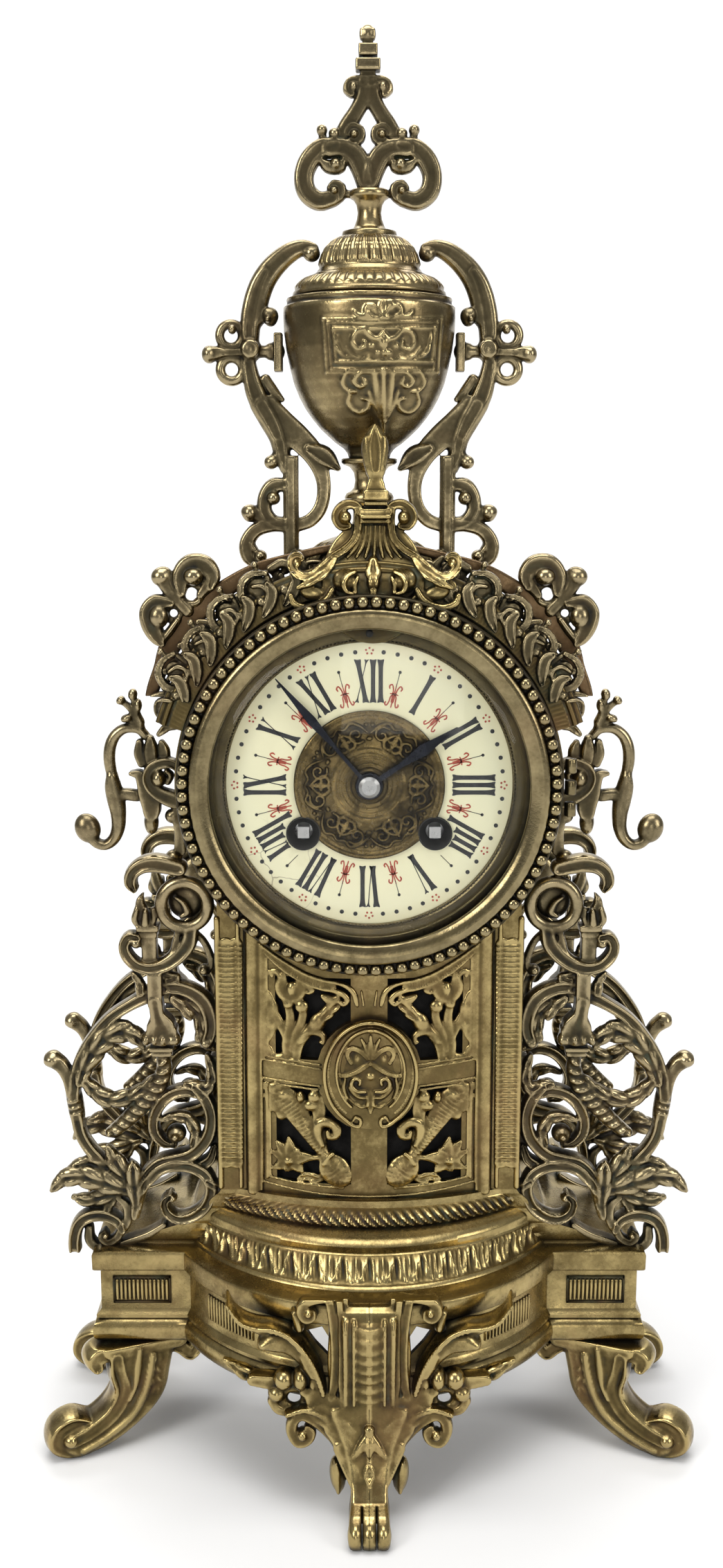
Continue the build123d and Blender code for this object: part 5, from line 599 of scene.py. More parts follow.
CAST['cart'] = [
 ('s', {'y':-0.1,'h':1.5,'p':2.2}, [[0.46,157.66,0.79],[-1.69,157.47,0.79],[-3.79,156.92,0.79],[-5.81,156.01,0.79],[-7.7,154.77,0.79],[-9.43,153.22,0.79],[-10.95,151.38,0.79],[-12.24,149.3,0.79],[-13.27,147.01,0.79],[-14.03,144.57,0.79],[-14.48,142.02,0.79],[-14.63,139.42,0.79],[-14.47,136.81,0.79],[-14.0,134.26,0.79],[-13.24,131.8,0.79],[-12.18,129.51,0.79],[-10.87,127.42,0.79],[-9.32,125.58,0.79],[-7.56,124.02,0.79],[-5.76,122.51,0.85],[-3.34,121.79,0.79],[-2.8,124.08,0.72],[-4.42,125.08,0.66],[-5.36,123.79,0.53]]),
 ('s', {'y':0.3,'h':1.0,'kind':'flat','flute':0.25,'fpitch':0.95}, [[0.46,156.68,0.66],[-1.47,156.52,0.66],[-3.35,156.04,0.66],[-5.17,155.24,0.66],[-6.87,154.16,0.66],[-8.43,152.79,0.66],[-9.83,151.18,0.66],[-11.02,149.34,0.66],[-12.0,147.33,0.66],[-12.73,145.16,0.66],[-13.21,142.9,0.66],[-13.42,140.57,0.66],[-13.36,138.22,0.66],[-13.03,135.91,0.66],[-12.44,133.67,0.66],[-11.59,131.56,0.66],[-10.51,129.6,0.66],[-9.21,127.84,0.66],[-7.72,126.32,0.66]]),
 ('s', {'y':-0.2,'h':1.4,'p':2.2}, [[0.46,155.15,0.59],[-1.12,155.0,0.59],[-2.66,154.57,0.59],[-4.14,153.87,0.59],[-5.54,152.9,0.59],[-6.81,151.69,0.59],[-7.94,150.25,0.59],[-8.9,148.63,0.59],[-9.68,146.84,0.59],[-10.25,144.93,0.59],[-10.61,142.93,0.59],[-10.75,140.88,0.59],[-10.67,138.83,0.59],[-10.36,136.81,0.59],[-9.83,134.87,0.59],[-9.1,133.04,0.59],[-8.17,131.36,0.59],[-7.07,129.86,0.59],[-5.82,128.58,0.59]]),
 ('s', {'y':0.1,'h':1.0,'p':2.2}, [[0.46,154.31,0.33],[-1.01,154.17,0.33],[-2.44,153.75,0.33],[-3.81,153.06,0.33],[-5.1,152.12,0.33],[-6.26,150.95,0.33],[-7.29,149.56,0.33],[-8.16,147.99,0.33],[-8.84,146.27,0.33],[-9.33,144.43,0.33],[-9.61,142.52,0.33],[-9.68,140.58,0.33],[-9.54,138.64,0.33],[-9.18,136.75,0.33],[-8.62,134.94,0.33],[-7.86,133.26,0.33],[-6.93,131.74,0.33],[-5.84,130.42,0.33],[-4.61,129.31,0.33]]),
 ('s', {'y':-0.3,'h':1.5,'g':0.3}, [[0.47,143.79,0.53],[-1.87,142.24,0.79],[-4.27,140.69,0.79],[-7.21,139.56,0.72],[-9.22,139.56,0.66]]),
 ('s', {'y':-0.4,'h':1.4}, [[-1.19,134.04,0.53],[-3.87,134.18,0.79],[-5.88,136.59,0.79],[-4.81,138.57,0.72],[-2.93,138.0,0.66],[-3.2,136.45,0.53]]),
 ('s', {'y':-0.2,'h':1.2}, [[-0.52,131.91,0.53],[-3.2,132.05,0.72],[-5.55,134.04,0.72],[-6.55,135.46,0.53]]),
 ('s', {'y':-0.2,'h':1.4,'g':0.3}, [[-0.53,145.34,0.53],[-3.2,148.15,0.92],[-5.86,148.85,0.92],[-7.2,146.74,0.79],[-5.87,143.93,0.66]]),
 ('s', {'y':0,'h':1.2}, [[-0.53,146.74,0.53],[-1.6,150.25,0.79],[-2.53,152.0,0.53]]),
 ('s', {'y':-0.2,'h':1.2}, [[-7.88,138.29,0.53],[-8.29,135.46,0.66],[-7.23,131.91,0.53]]),
 ('e', {'y':0.2,'rot':-20}, [-3.87,145.34,1.31,1.3,1.97]),
 ('s', {'y':0,'h':1.0}, [[-0.52,129.07,0.53],[-2.53,128.36,0.66],[-4.21,129.64,0.46]]),
 ('s', {'y':-0.1,'h':1.5,'p':2.2}, [[0.46,157.66,0.79],[2.6,157.47,0.79],[4.71,156.92,0.79],[6.73,156.01,0.79],[8.62,154.77,0.79],[10.35,153.22,0.79],[11.87,151.38,0.79],[13.17,149.3,0.79],[14.21,147.01,0.79],[14.97,144.57,0.79],[15.43,142.02,0.79],[15.59,139.42,0.79],[15.43,136.81,0.79],[14.97,134.26,0.79],[14.2,131.8,0.79],[13.16,129.51,0.79],[11.85,127.42,0.79],[10.3,125.58,0.79],[8.54,124.02,0.79],[6.75,122.51,0.85],[4.33,121.79,0.79],[3.79,124.08,0.72],[5.4,125.08,0.66],[6.34,123.79,0.53]]),
 ('s', {'y':0.3,'h':1.0,'kind':'flat','flute':0.25,'fpitch':0.95}, [[0.46,156.68,0.66],[2.38,156.52,0.66],[4.27,156.04,0.66],[6.08,155.24,0.66],[7.79,154.16,0.66],[9.36,152.79,0.66],[10.75,151.18,0.66],[11.95,149.34,0.66],[12.93,147.33,0.66],[13.67,145.16,0.66],[14.15,142.9,0.66],[14.37,140.57,0.66],[14.31,138.22,0.66],[13.99,135.91,0.66],[13.4,133.67,0.66],[12.56,131.56,0.66],[11.48,129.6,0.66],[10.19,127.84,0.66],[8.7,126.32,0.66]]),
 ('s', {'y':-0.2,'h':1.4,'p':2.2}, [[0.46,155.15,0.59],[2.03,155.0,0.59],[3.58,154.57,0.59],[5.06,153.87,0.59],[6.46,152.9,0.59],[7.73,151.69,0.59],[8.86,150.25,0.59],[9.83,148.63,0.59],[10.61,146.84,0.59],[11.19,144.93,0.59],[11.55,142.93,0.59],[11.7,140.88,0.59],[11.62,138.83,0.59],[11.32,136.81,0.59],[10.79,134.87,0.59],[10.06,133.04,0.59],[9.14,131.36,0.59],[8.04,129.86,0.59],[6.79,128.58,0.59]]),
 ('s', {'y':0.1,'h':1.0,'p':2.2}, [[0.46,154.31,0.33],[1.92,154.17,0.33],[3.36,153.75,0.33],[4.73,153.06,0.33],[6.02,152.12,0.33],[7.19,150.95,0.33],[8.22,149.56,0.33],[9.09,147.99,0.33],[9.78,146.27,0.33],[10.27,144.43,0.33],[10.55,142.52,0.33],[10.63,140.58,0.33],[10.49,138.64,0.33],[10.13,136.75,0.33],[9.58,134.94,0.33],[8.83,133.26,0.33],[7.9,131.74,0.33],[6.81,130.42,0.33],[5.59,129.31,0.33]]),
 ('s', {'y':-0.3,'h':1.5,'g':0.3}, [[0.47,143.79,0.53],[2.81,142.24,0.79],[5.22,140.69,0.79],[8.16,139.56,0.72],[10.17,139.56,0.66]]),
 ('s', {'y':-0.4,'h':1.4}, [[2.16,134.04,0.53],[4.84,134.18,0.79],[6.84,136.59,0.79],[5.76,138.57,0.72],[3.89,138.0,0.66],[4.16,136.45,0.53]]),
 ('s', {'y':-0.2,'h':1.2}, [[1.49,131.91,0.53],[4.17,132.05,0.72],[6.51,134.04,0.72],[7.51,135.46,0.53]]),
 ('s', {'y':-0.2,'h':1.4,'g':0.3}, [[1.47,145.34,0.53],[4.13,148.15,0.92],[6.79,148.85,0.92],[8.14,146.74,0.79],[6.81,143.93,0.66]]),
 ('s', {'y':0,'h':1.2}, [[1.47,146.74,0.53],[2.53,150.25,0.79],[3.46,152.0,0.53]]),
 ('s', {'y':-0.2,'h':1.2}, [[8.84,138.29,0.53],[9.25,135.46,0.66],[8.19,131.91,0.53]]),
 ('e', {'y':0.2,'rot':20}, [4.81,145.34,1.31,1.3,1.97]),
 ('s', {'y':0,'h':1.0}, [[1.49,129.07,0.53],[3.51,128.36,0.66],[5.18,129.64,0.46]]),
 ('s', {'y':-0.2,'h':1.4,'g':0.3}, [[0.47,145.34,0.53],[0.47,148.85,1.05],[0.46,153.05,0.53]]),
 ('e', {'y':-0.2}, [0.48,139.28,1.58,1.5,1.58]),
 ('s', {'y':-0.3,'h':1.5,'kind':'leaf','lobes':1,'pitch':2.2,'notch':0.3}, [[0.48,134.04,0.66],[0.48,130.49,1.58],[0.49,126.57,0.53]]),
]
CAST['crest_a'] = [
 ('s', {'y':-1.4,'h':3.0,'g':0.35,'gw':0.3}, [[1.61,348.08,0.4],[1.61,345.42,2.27],[1.62,341.8,3.74],[1.76,338.05,3.61],[1.9,334.55,2.94]]),
 ('s', {'y':-1.6,'h':2.2}, [[-1.26,344.08,0.67],[-0.85,341.4,1.34],[-0.02,336.7,1.47]]),
 ('s', {'y':-1.6,'h':2.2}, [[4.62,344.08,0.67],[4.36,341.4,1.34],[3.55,336.7,1.47]]),
 ('s', {'y':-1.2,'h':2.4,'kind':'flat'}, [[1.9,334.68,2.67],[1.91,331.99,2.0],[1.91,328.61,2.94]]),
 ('b', {}, [-2.08,6.04,-4.0,1.8,325.08,328.2]),
 ('b', {}, [-1.66,5.64,-3.6,1.4,323.45,324.81]),
]
CAST['crest_b'] = [
 ('b', {}, [-3.3,6.89,-3.6,3,320.67,322.57]),
 ('b', {}, [-2.96,6.67,-4.2,3,319.44,320.56]),
 ('b', {}, [-2.96,6.67,-3.6,3,318.1,319.22]),
 ('s', {'kind':'flat','y':1.2,'h':2.6}, [[1.8,318.77,5.42],[1.58,315.41,5.87],[1.36,311.48,7.34],[1.14,307.54,10.72],[1.14,303.58,14.11],[1.15,299.62,14.78],[1.15,296.21,14.11]]),
 ('s', {'y':-1.2,'h':1.3,'p':2}, [[-2.62,317.21,0.56],[-2.82,313.73,0.68],[-4.4,310.36,0.68],[-6.96,307.54,0.51]]),
 ('s', {'y':-1.2,'h':1.3,'p':2}, [[-1.15,317.21,0.56],[-1.32,313.73,0.68],[-2.4,310.36,0.68],[-4.15,307.54,0.51]]),
 ('s', {'y':-1.2,'h':1.3,'p':2}, [[0.33,317.21,0.56],[0.19,313.73,0.68],[-0.41,310.36,0.68],[-1.33,307.54,0.51]]),
 ('s', {'y':-1.2,'h':1.3,'p':2}, [[1.8,317.21,0.56],[1.69,313.73,0.68],[1.59,310.36,0.68],[1.48,307.54,0.51]]),
 ('s', {'y':-1.2,'h':1.3,'p':2}, [[3.28,317.21,0.56],[3.2,313.73,0.68],[3.58,310.36,0.68],[4.29,307.54,0.51]]),
 ('s', {'y':-1.2,'h':1.3,'p':2}, [[4.75,317.21,0.56],[4.71,313.73,0.68],[5.58,310.36,0.68],[7.1,307.54,0.51]]),
 ('s', {'y':-1.2,'h':1.3,'p':2}, [[6.23,317.21,0.56],[6.21,313.73,0.68],[7.57,310.36,0.68],[9.91,307.54,0.51]]),
 ('s', {'y':-0.6,'h':3.0,'g':0.5,'gw':0.4,'rim':0.2}, [[6.1,321.57,1.35],[7.22,323.46,1.35],[9.94,323.91,1.58],[12.66,322.13,1.58],[13.47,319.56,1.58],[12.01,317.32,1.47],[9.85,317.32,1.13]]),
 ('e', {'y':-2.2}, [10.64,319.89,1.69,3.0,1.92]),
 ('s', {'y':-0.4,'h':3.0,'g':0.3,'rim':0.3}, [[7.0,322.13,1.13],[6.79,317.65,1.13],[7.72,313.39,1.13],[10.57,310.24,1.13],[14.57,307.65,1.13],[18.01,304.6,1.35],[21.68,302.11,1.35],[25.09,302.34,1.35],[27.35,304.6,1.35],[27.66,306.97,1.24],[25.83,308.22,1.13],[24.47,307.2,0.9]]),
 ('e', {'y':-2.0}, [25.74,305.84,1.24,2.6,1.35]),
 ('s', {'kind':'flat','y':1.4,'h':2.0}, [[11.16,306.41,2.82],[15.73,303.58,3.16],[20.9,299.62,3.05],[24.91,298.48,2.26]]),
 ('e', {'y':-1.6}, [10.62,300.75,3.72,3.2,3.5]),
 ('s', {'y':-4.4,'h':1.5,'p':2}, [[7.75,303.58,0.68],[9.81,302.68,0.9],[11.19,300.18,0.9],[10.29,297.34,0.79],[8.35,296.78,0.56]]),
 ('s', {'y':-3.6,'h':1.2,'p':2}, [[6.85,301.88,0.56],[7.77,299.62,0.79],[7.44,296.78,0.56]]),
 ('s', {'y':-2.6,'h':1.6,'p':2,'rim':0.2}, [[27.67,296.21,0.68],[26.9,293.93,1.02],[23.83,292.33,1.13],[19.81,292.79,1.13],[16.48,294.84,1.13],[14.74,297.91,0.79]]),
 ('e', {'y':-1.0,'rot':14}, [20.92,296.78,3.95,1.6,2.26]),
 ('s', {'y':-2.4,'h':1.4,'pitch':3,'lobes':1,'kind':'leaf'}, [[14.0,306.97,0.68],[16.87,303.58,1.35],[20.89,300.75,1.35],[25.48,298.48,0.56]]),
 ('s', {'y':-2.0,'h':1.4,'p':2}, [[14.64,296.21,0.79],[12.37,293.93,1.02],[8.94,293.36,0.79]]),
 ('s', {'y':-0.6,'h':3.0,'g':0.5,'gw':0.4,'rim':0.2}, [[-2.96,321.57,1.35],[-4.09,323.46,1.35],[-6.81,323.91,1.58],[-9.53,322.13,1.58],[-10.33,319.56,1.58],[-8.86,317.32,1.47],[-6.7,317.32,1.13]]),
 ('e', {'y':-2.2}, [-7.49,319.89,1.69,3.0,1.92]),
 ('s', {'y':-0.4,'h':3.0,'g':0.3,'rim':0.3}, [[-3.87,322.13,1.13],[-3.64,317.65,1.13],[-4.55,313.39,1.13],[-7.4,310.24,1.13],[-11.39,307.65,1.13],[-14.81,304.6,1.35],[-18.48,302.11,1.35],[-21.9,302.34,1.35],[-24.16,304.6,1.35],[-24.48,306.97,1.24],[-22.65,308.22,1.13],[-21.29,307.2,0.9]]),
 ('e', {'y':-2.0}, [-22.55,305.84,1.24,2.6,1.35]),
 ('s', {'kind':'flat','y':1.4,'h':2.0}, [[-7.97,306.41,2.82],[-12.54,303.58,3.16],[-17.69,299.62,3.05],[-21.7,298.48,2.26]]),
 ('e', {'y':-1.6}, [-7.41,300.75,3.72,3.2,3.5]),
 ('s', {'y':-4.4,'h':1.5,'p':2}, [[-4.56,303.58,0.68],[-6.61,302.68,0.9],[-7.99,300.18,0.9],[-7.08,297.34,0.79],[-5.14,296.78,0.56]]),
 ('s', {'y':-3.6,'h':1.2,'p':2}, [[-3.65,301.88,0.56],[-4.56,299.62,0.79],[-4.22,296.78,0.56]]),
 ('s', {'y':-2.6,'h':1.6,'p':2,'rim':0.2}, [[-24.46,296.21,0.68],[-23.67,293.93,1.02],[-20.6,292.33,1.13],[-16.59,292.79,1.13],[-13.26,294.84,1.13],[-11.53,297.91,0.79]]),
 ('e', {'y':-1.0,'rot':-14}, [-17.71,296.78,3.95,1.6,2.26]),
 ('s', {'y':-2.4,'h':1.4,'pitch':3,'lobes':1,'kind':'leaf'}, [[-10.82,306.97,0.68],[-13.68,303.58,1.35],[-17.69,300.75,1.35],[-22.27,298.48,0.56]]),
 ('s', {'y':-2.0,'h':1.4,'p':2}, [[-11.42,296.21,0.79],[-9.14,293.93,1.02],[-5.71,293.36,0.79]]),
 ('s', {'y':-2.2,'h':1.8,'pitch':3.2,'lobes':1,'kind':'leaf'}, [[1.14,306.41,1.35],[1.14,303.58,2.26],[1.15,300.18,1.69],[1.15,296.21,0.9]]),
 ('s', {'y':-2.0,'h':1.6,'p':2}, [[-4.57,293.93,0.79],[-1.71,295.3,1.13],[1.15,294.16,1.13],[4.01,295.3,1.13],[6.88,293.93,0.79]]),
]
CAST['finial'] = [
 ('e', {'y':22}, [-0.61,466.78,2.35,2.3,2.57]),
 ('b', {}, [-3.04,1.82,20.2,23.8,465.18,468.24]),
 ('b', {}, [-2.04,0.97,20.6,23.4,463.64,465.31]),
 ('b', {}, [-3.47,2.54,19.4,24.6,460.23,463.84]),
 ('b', {}, [-2.04,0.97,20.4,23.6,459.29,460.23]),
 ('b', {}, [-4.4,3.41,19.0,25.0,455.94,459.49]),
 ('b', {}, [-2.9,1.83,20.2,23.8,452.57,455.94]),
 ('s', {'y':22,'h':2.6,'g':0.6,'gw':0.5}, [[0.4,452.57,1.57],[2.99,453.24,1.43],[5.29,452.44,1.43],[5.87,450.55,1.43],[4.72,449.33,1.14]]),
 ('e', {'y':22}, [4.14,451.36,1.43,2.8,1.57]),
 ('s', {'y':22,'h':2.2,'g':0.3}, [[0.4,452.57,2.42],[0.84,448.52,2.42],[3.0,444.46,2.28],[5.75,440.38,2.42],[7.64,437.66,2.14]]),
 ('e', {'y':21.4}, [13.99,438.61,1.57,2.3,1.57]),
 ('s', {'y':22,'h':1.8}, [[13.99,438.61,0.86],[13.43,434.93,1.43],[11.99,432.88,1.85]]),
 ('e', {'y':21.2}, [10.09,437.52,1.64,2.3,1.64]),
 ('s', {'y':21.8,'h':2.6,'g':0.5}, [[4.75,434.93,1.57],[2.15,436.3,1.57],[2.15,438.61,1.43],[4.45,439.16,1.43],[5.76,437.66,1.14]]),
 ('e', {'y':21}, [3.88,437.25,1.28,2.8,1.28]),
 ('s', {'y':21.8,'h':2.7,'pitch':4.2,'notch':0.16,'lobes':1,'kind':'leaf'}, [[0.42,423.27,2.71],[1.58,427.4,3.14],[4.04,431.51,3.14],[7.65,433.29,2.71],[11.41,433.15,2.71]]),
 ('s', {'y':22,'h':2.8,'pitch':3.0,'notch':0.22,'lobes':1,'kind':'leaf'}, [[9.82,434.11,2.14],[14.31,433.15,2.85],[17.95,429.73,2.99],[19.73,424.92,2.85],[18.75,420.23,2.85],[14.98,417.6,2.71],[10.91,418.3,2.42]]),
 ('s', {'y':21.8,'h':2.4,'g':0.4}, [[12.07,418.02,2.0],[8.86,419.13,2.0],[8.27,421.47,1.71],[10.16,422.44,1.43],[11.47,421.47,1.0]]),
 ('e', {'y':20.8}, [10.17,420.51,1.28,2.6,1.28]),
 ('s', {'y':21.6,'h':2.2}, [[14.33,429.45,0.86],[12.02,427.81,1.85],[8.4,427.81,1.85],[7.23,429.45,1.0]]),
 ('e', {'y':20.8}, [9.7,428.43,1.71,2.6,1.71]),
 ('s', {'y':22,'h':1.5}, [[8.86,419.82,1.43],[6.24,419.68,1.07],[3.34,419.68,1.43]]),
 ('s', {'y':22,'h':2.6,'g':0.6,'gw':0.5}, [[-1.32,452.57,1.57],[-3.9,453.24,1.43],[-6.2,452.44,1.43],[-6.78,450.55,1.43],[-5.63,449.33,1.14]]),
 ('e', {'y':22}, [-5.06,451.36,1.43,2.8,1.57]),
 ('s', {'y':22,'h':2.2,'g':0.3}, [[-1.32,452.57,2.42],[-1.75,448.52,2.42],[-3.91,444.46,2.28],[-6.66,440.38,2.42],[-8.54,437.66,2.14]]),
 ('e', {'y':21.4}, [-14.89,438.61,1.57,2.3,1.57]),
 ('s', {'y':22,'h':1.8}, [[-14.89,438.61,0.86],[-14.33,434.93,1.43],[-12.9,432.88,1.85]]),
 ('e', {'y':21.2}, [-11.0,437.52,1.64,2.3,1.64]),
 ('s', {'y':21.8,'h':2.6,'g':0.5}, [[-5.66,434.93,1.57],[-3.05,436.3,1.57],[-3.05,438.61,1.43],[-5.36,439.16,1.43],[-6.66,437.66,1.14]]),
 ('e', {'y':21}, [-4.79,437.25,1.28,2.8,1.28]),
 ('s', {'y':21.8,'h':2.7,'pitch':4.2,'notch':0.16,'lobes':1,'kind':'leaf'}, [[-1.32,423.27,2.71],[-2.48,427.4,3.14],[-4.94,431.51,3.14],[-8.55,433.29,2.71],[-12.32,433.15,2.71]]),
 ('s', {'y':22,'h':2.8,'pitch':3.0,'notch':0.22,'lobes':1,'kind':'leaf'}, [[-10.72,434.11,2.14],[-15.21,433.15,2.85],[-18.85,429.73,2.99],[-20.62,424.92,2.85],[-19.64,420.23,2.85],[-15.87,417.6,2.71],[-11.8,418.3,2.42]]),
 ('s', {'y':21.8,'h':2.4,'g':0.4}, [[-12.96,418.02,2.0],[-9.76,419.13,2.0],[-9.17,421.47,1.71],[-11.05,422.44,1.43],[-12.36,421.47,1.0]]),
 ('e', {'y':20.8}, [-11.06,420.51,1.28,2.6,1.28]),
 ('s', {'y':21.6,'h':2.2}, [[-15.23,429.45,0.86],[-12.92,427.81,1.85],[-9.29,427.81,1.85],[-8.13,429.45,1.0]]),
 ('e', {'y':20.8}, [-10.6,428.43,1.71,2.6,1.71]),
 ('s', {'y':22,'h':1.5}, [[-9.75,419.82,1.43],[-7.14,419.68,1.07],[-4.23,419.68,1.43]]),
 ('s', {'y':22,'h':2.6,'g':0.4}, [[-0.45,422.3,2.85],[-0.45,425.33,2.57],[-0.45,426.98,1.43]]),
]
CAST['hook'] = [
 ('e', {'y':6.6,'rot':40}, [-80.73,261.05,1.43,2.0,1.17]),
 ('e', {'y':6.6,'rot':-10}, [-76.76,263.0,1.35,2.0,1.7]),
 ('e', {'y':6.6,'rot':0}, [-75.06,259.46,1.08,2.0,1.88]),
 ('e', {'y':6.6,'rot':20}, [-78.87,255.18,1.88,2.0,1.17]),
 ('s', {'y':7.4,'h':1.8,'g':0.2}, [[-80.43,260.73,0.81],[-77.44,258.1,1.08],[-74.84,254.0,1.35]]),
 ('s', {'y':7.4,'h':1.8}, [[-76.77,262.64,0.72],[-76.08,258.1,0.99],[-74.63,253.54,1.17]]),
 ('s', {'y':7.4,'h':1.6}, [[-79.77,255.18,0.72],[-76.66,253.54,0.9],[-74.44,252.17,1.08]]),
 ('s', {'y':7.5,'h':2.0}, [[-73.15,249.42,1.35],[-74.91,251.25,1.35],[-77.61,251.8,1.35],[-80.33,251.44,1.48],[-82.92,249.42,1.61],[-84.56,246.21,1.7],[-85.13,242.08,1.7],[-84.71,237.93,1.61],[-84.14,235.8,1.43]]),
 ('s', {'y':7.5,'h':2.6}, [[-84.41,235.8,1.7],[-84.15,232.37,2.42],[-83.29,227.73,2.6],[-82.69,223.07,2.24],[-82.92,218.39,1.93],[-84.5,214.64,1.7],[-87.31,212.67,1.52],[-90.12,213.42,1.52],[-92.06,215.77,1.61]]),
 ('e', {'y':7.4,'rot':20}, [-92.98,218.39,3.68,3.4,4.39]),
 ('s', {'y':7.5,'h':2.0}, [[-82.78,229.59,1.79],[-79.58,229.78,1.79],[-76.41,229.4,1.79],[-74.12,229.59,1.35]]),
 ('s', {'y':7.2,'h':2.4,'g':0.4}, [[-75.02,247.13,1.08],[-75.3,243.46,1.52],[-74.48,240.23,1.26]]),
 ('s', {'y':6.6,'h':2.6,'g':0.4}, [[-71.37,248.51,1.08],[-71.29,244.38,2.24],[-71.12,240.23,1.79]]),
 ('s', {'y':7.2,'h':2.4,'g':0.4}, [[-67.78,247.13,0.9],[-67.03,244.38,1.7],[-67.02,241.16,1.52]]),
 ('s', {'y':7.2,'h':2.6,'kind':'flat'}, [[-78.02,237.0,0.63],[-75.31,236.54,1.35],[-73.56,233.76,2.24],[-72.52,230.05,2.69],[-71.56,226.33,2.69],[-71.53,224.0,2.33]]),
 ('b', {}, [-74.0,-68.67,4.8,10.2,223.72,225.12]),
 ('e', {'y':7.4}, [-71.85,220.5,2.11,2.9,3.77]),
 ('s', {'y':6.4,'h':3.0,'g':0.6,'gw':0.45,'rim':0.3}, [[-62.08,238.85,1.35],[-64.31,240.42,1.52],[-67.49,240.51,1.7],[-70.7,239.04,1.79],[-72.32,236.08,1.88],[-71.31,232.65,1.97],[-68.19,230.05,2.33],[-64.13,228.38,2.69],[-61.41,227.73,2.24]]),
 ('e', {'y':5.0}, [-68.74,235.52,2.15,3.2,2.42]),
 ('s', {'y':6,'h':2.4}, [[-66.19,237.93,0.72],[-64.86,236.54,0.99],[-65.82,234.23,0.9]]),
 ('e', {'y':6.6}, [-64.71,222.7,2.24,2.6,2.15]),
 ('s', {'y':7,'h':2.6,'kind':'flat'}, [[-62.34,226.8,1.79],[-62.63,222.14,1.79],[-62.27,217.46,1.61],[-62.31,211.35,1.79]]),
 ('e', {'y':5.6}, [-64.48,208.9,2.51,3.4,2.33]),
 ('b', {}, [-65.13,-60.48,4.2,9.5,204.27,206.63]),
 ('s', {'y':6.4,'h':2.4,'g':0.5,'rim':0.2}, [[-60.58,266.26,1.35],[-61.75,262.19,1.52],[-63.65,257.64,1.43],[-66.22,255.73,1.52],[-68.17,257.19,1.43],[-68.29,259.92,1.35],[-66.54,261.37,0.99]]),
 ('e', {'y':4.8}, [-66.51,259.01,1.97,3.0,2.42]),
 ('s', {'y':7.0,'h':2.0,'pitch':3.4,'lobes':1,'kind':'leaf'}, [[-68.62,249.88,0.72],[-65.86,252.17,1.35],[-62.66,253.54,1.52],[-60.37,255.36,0.9]]),
]
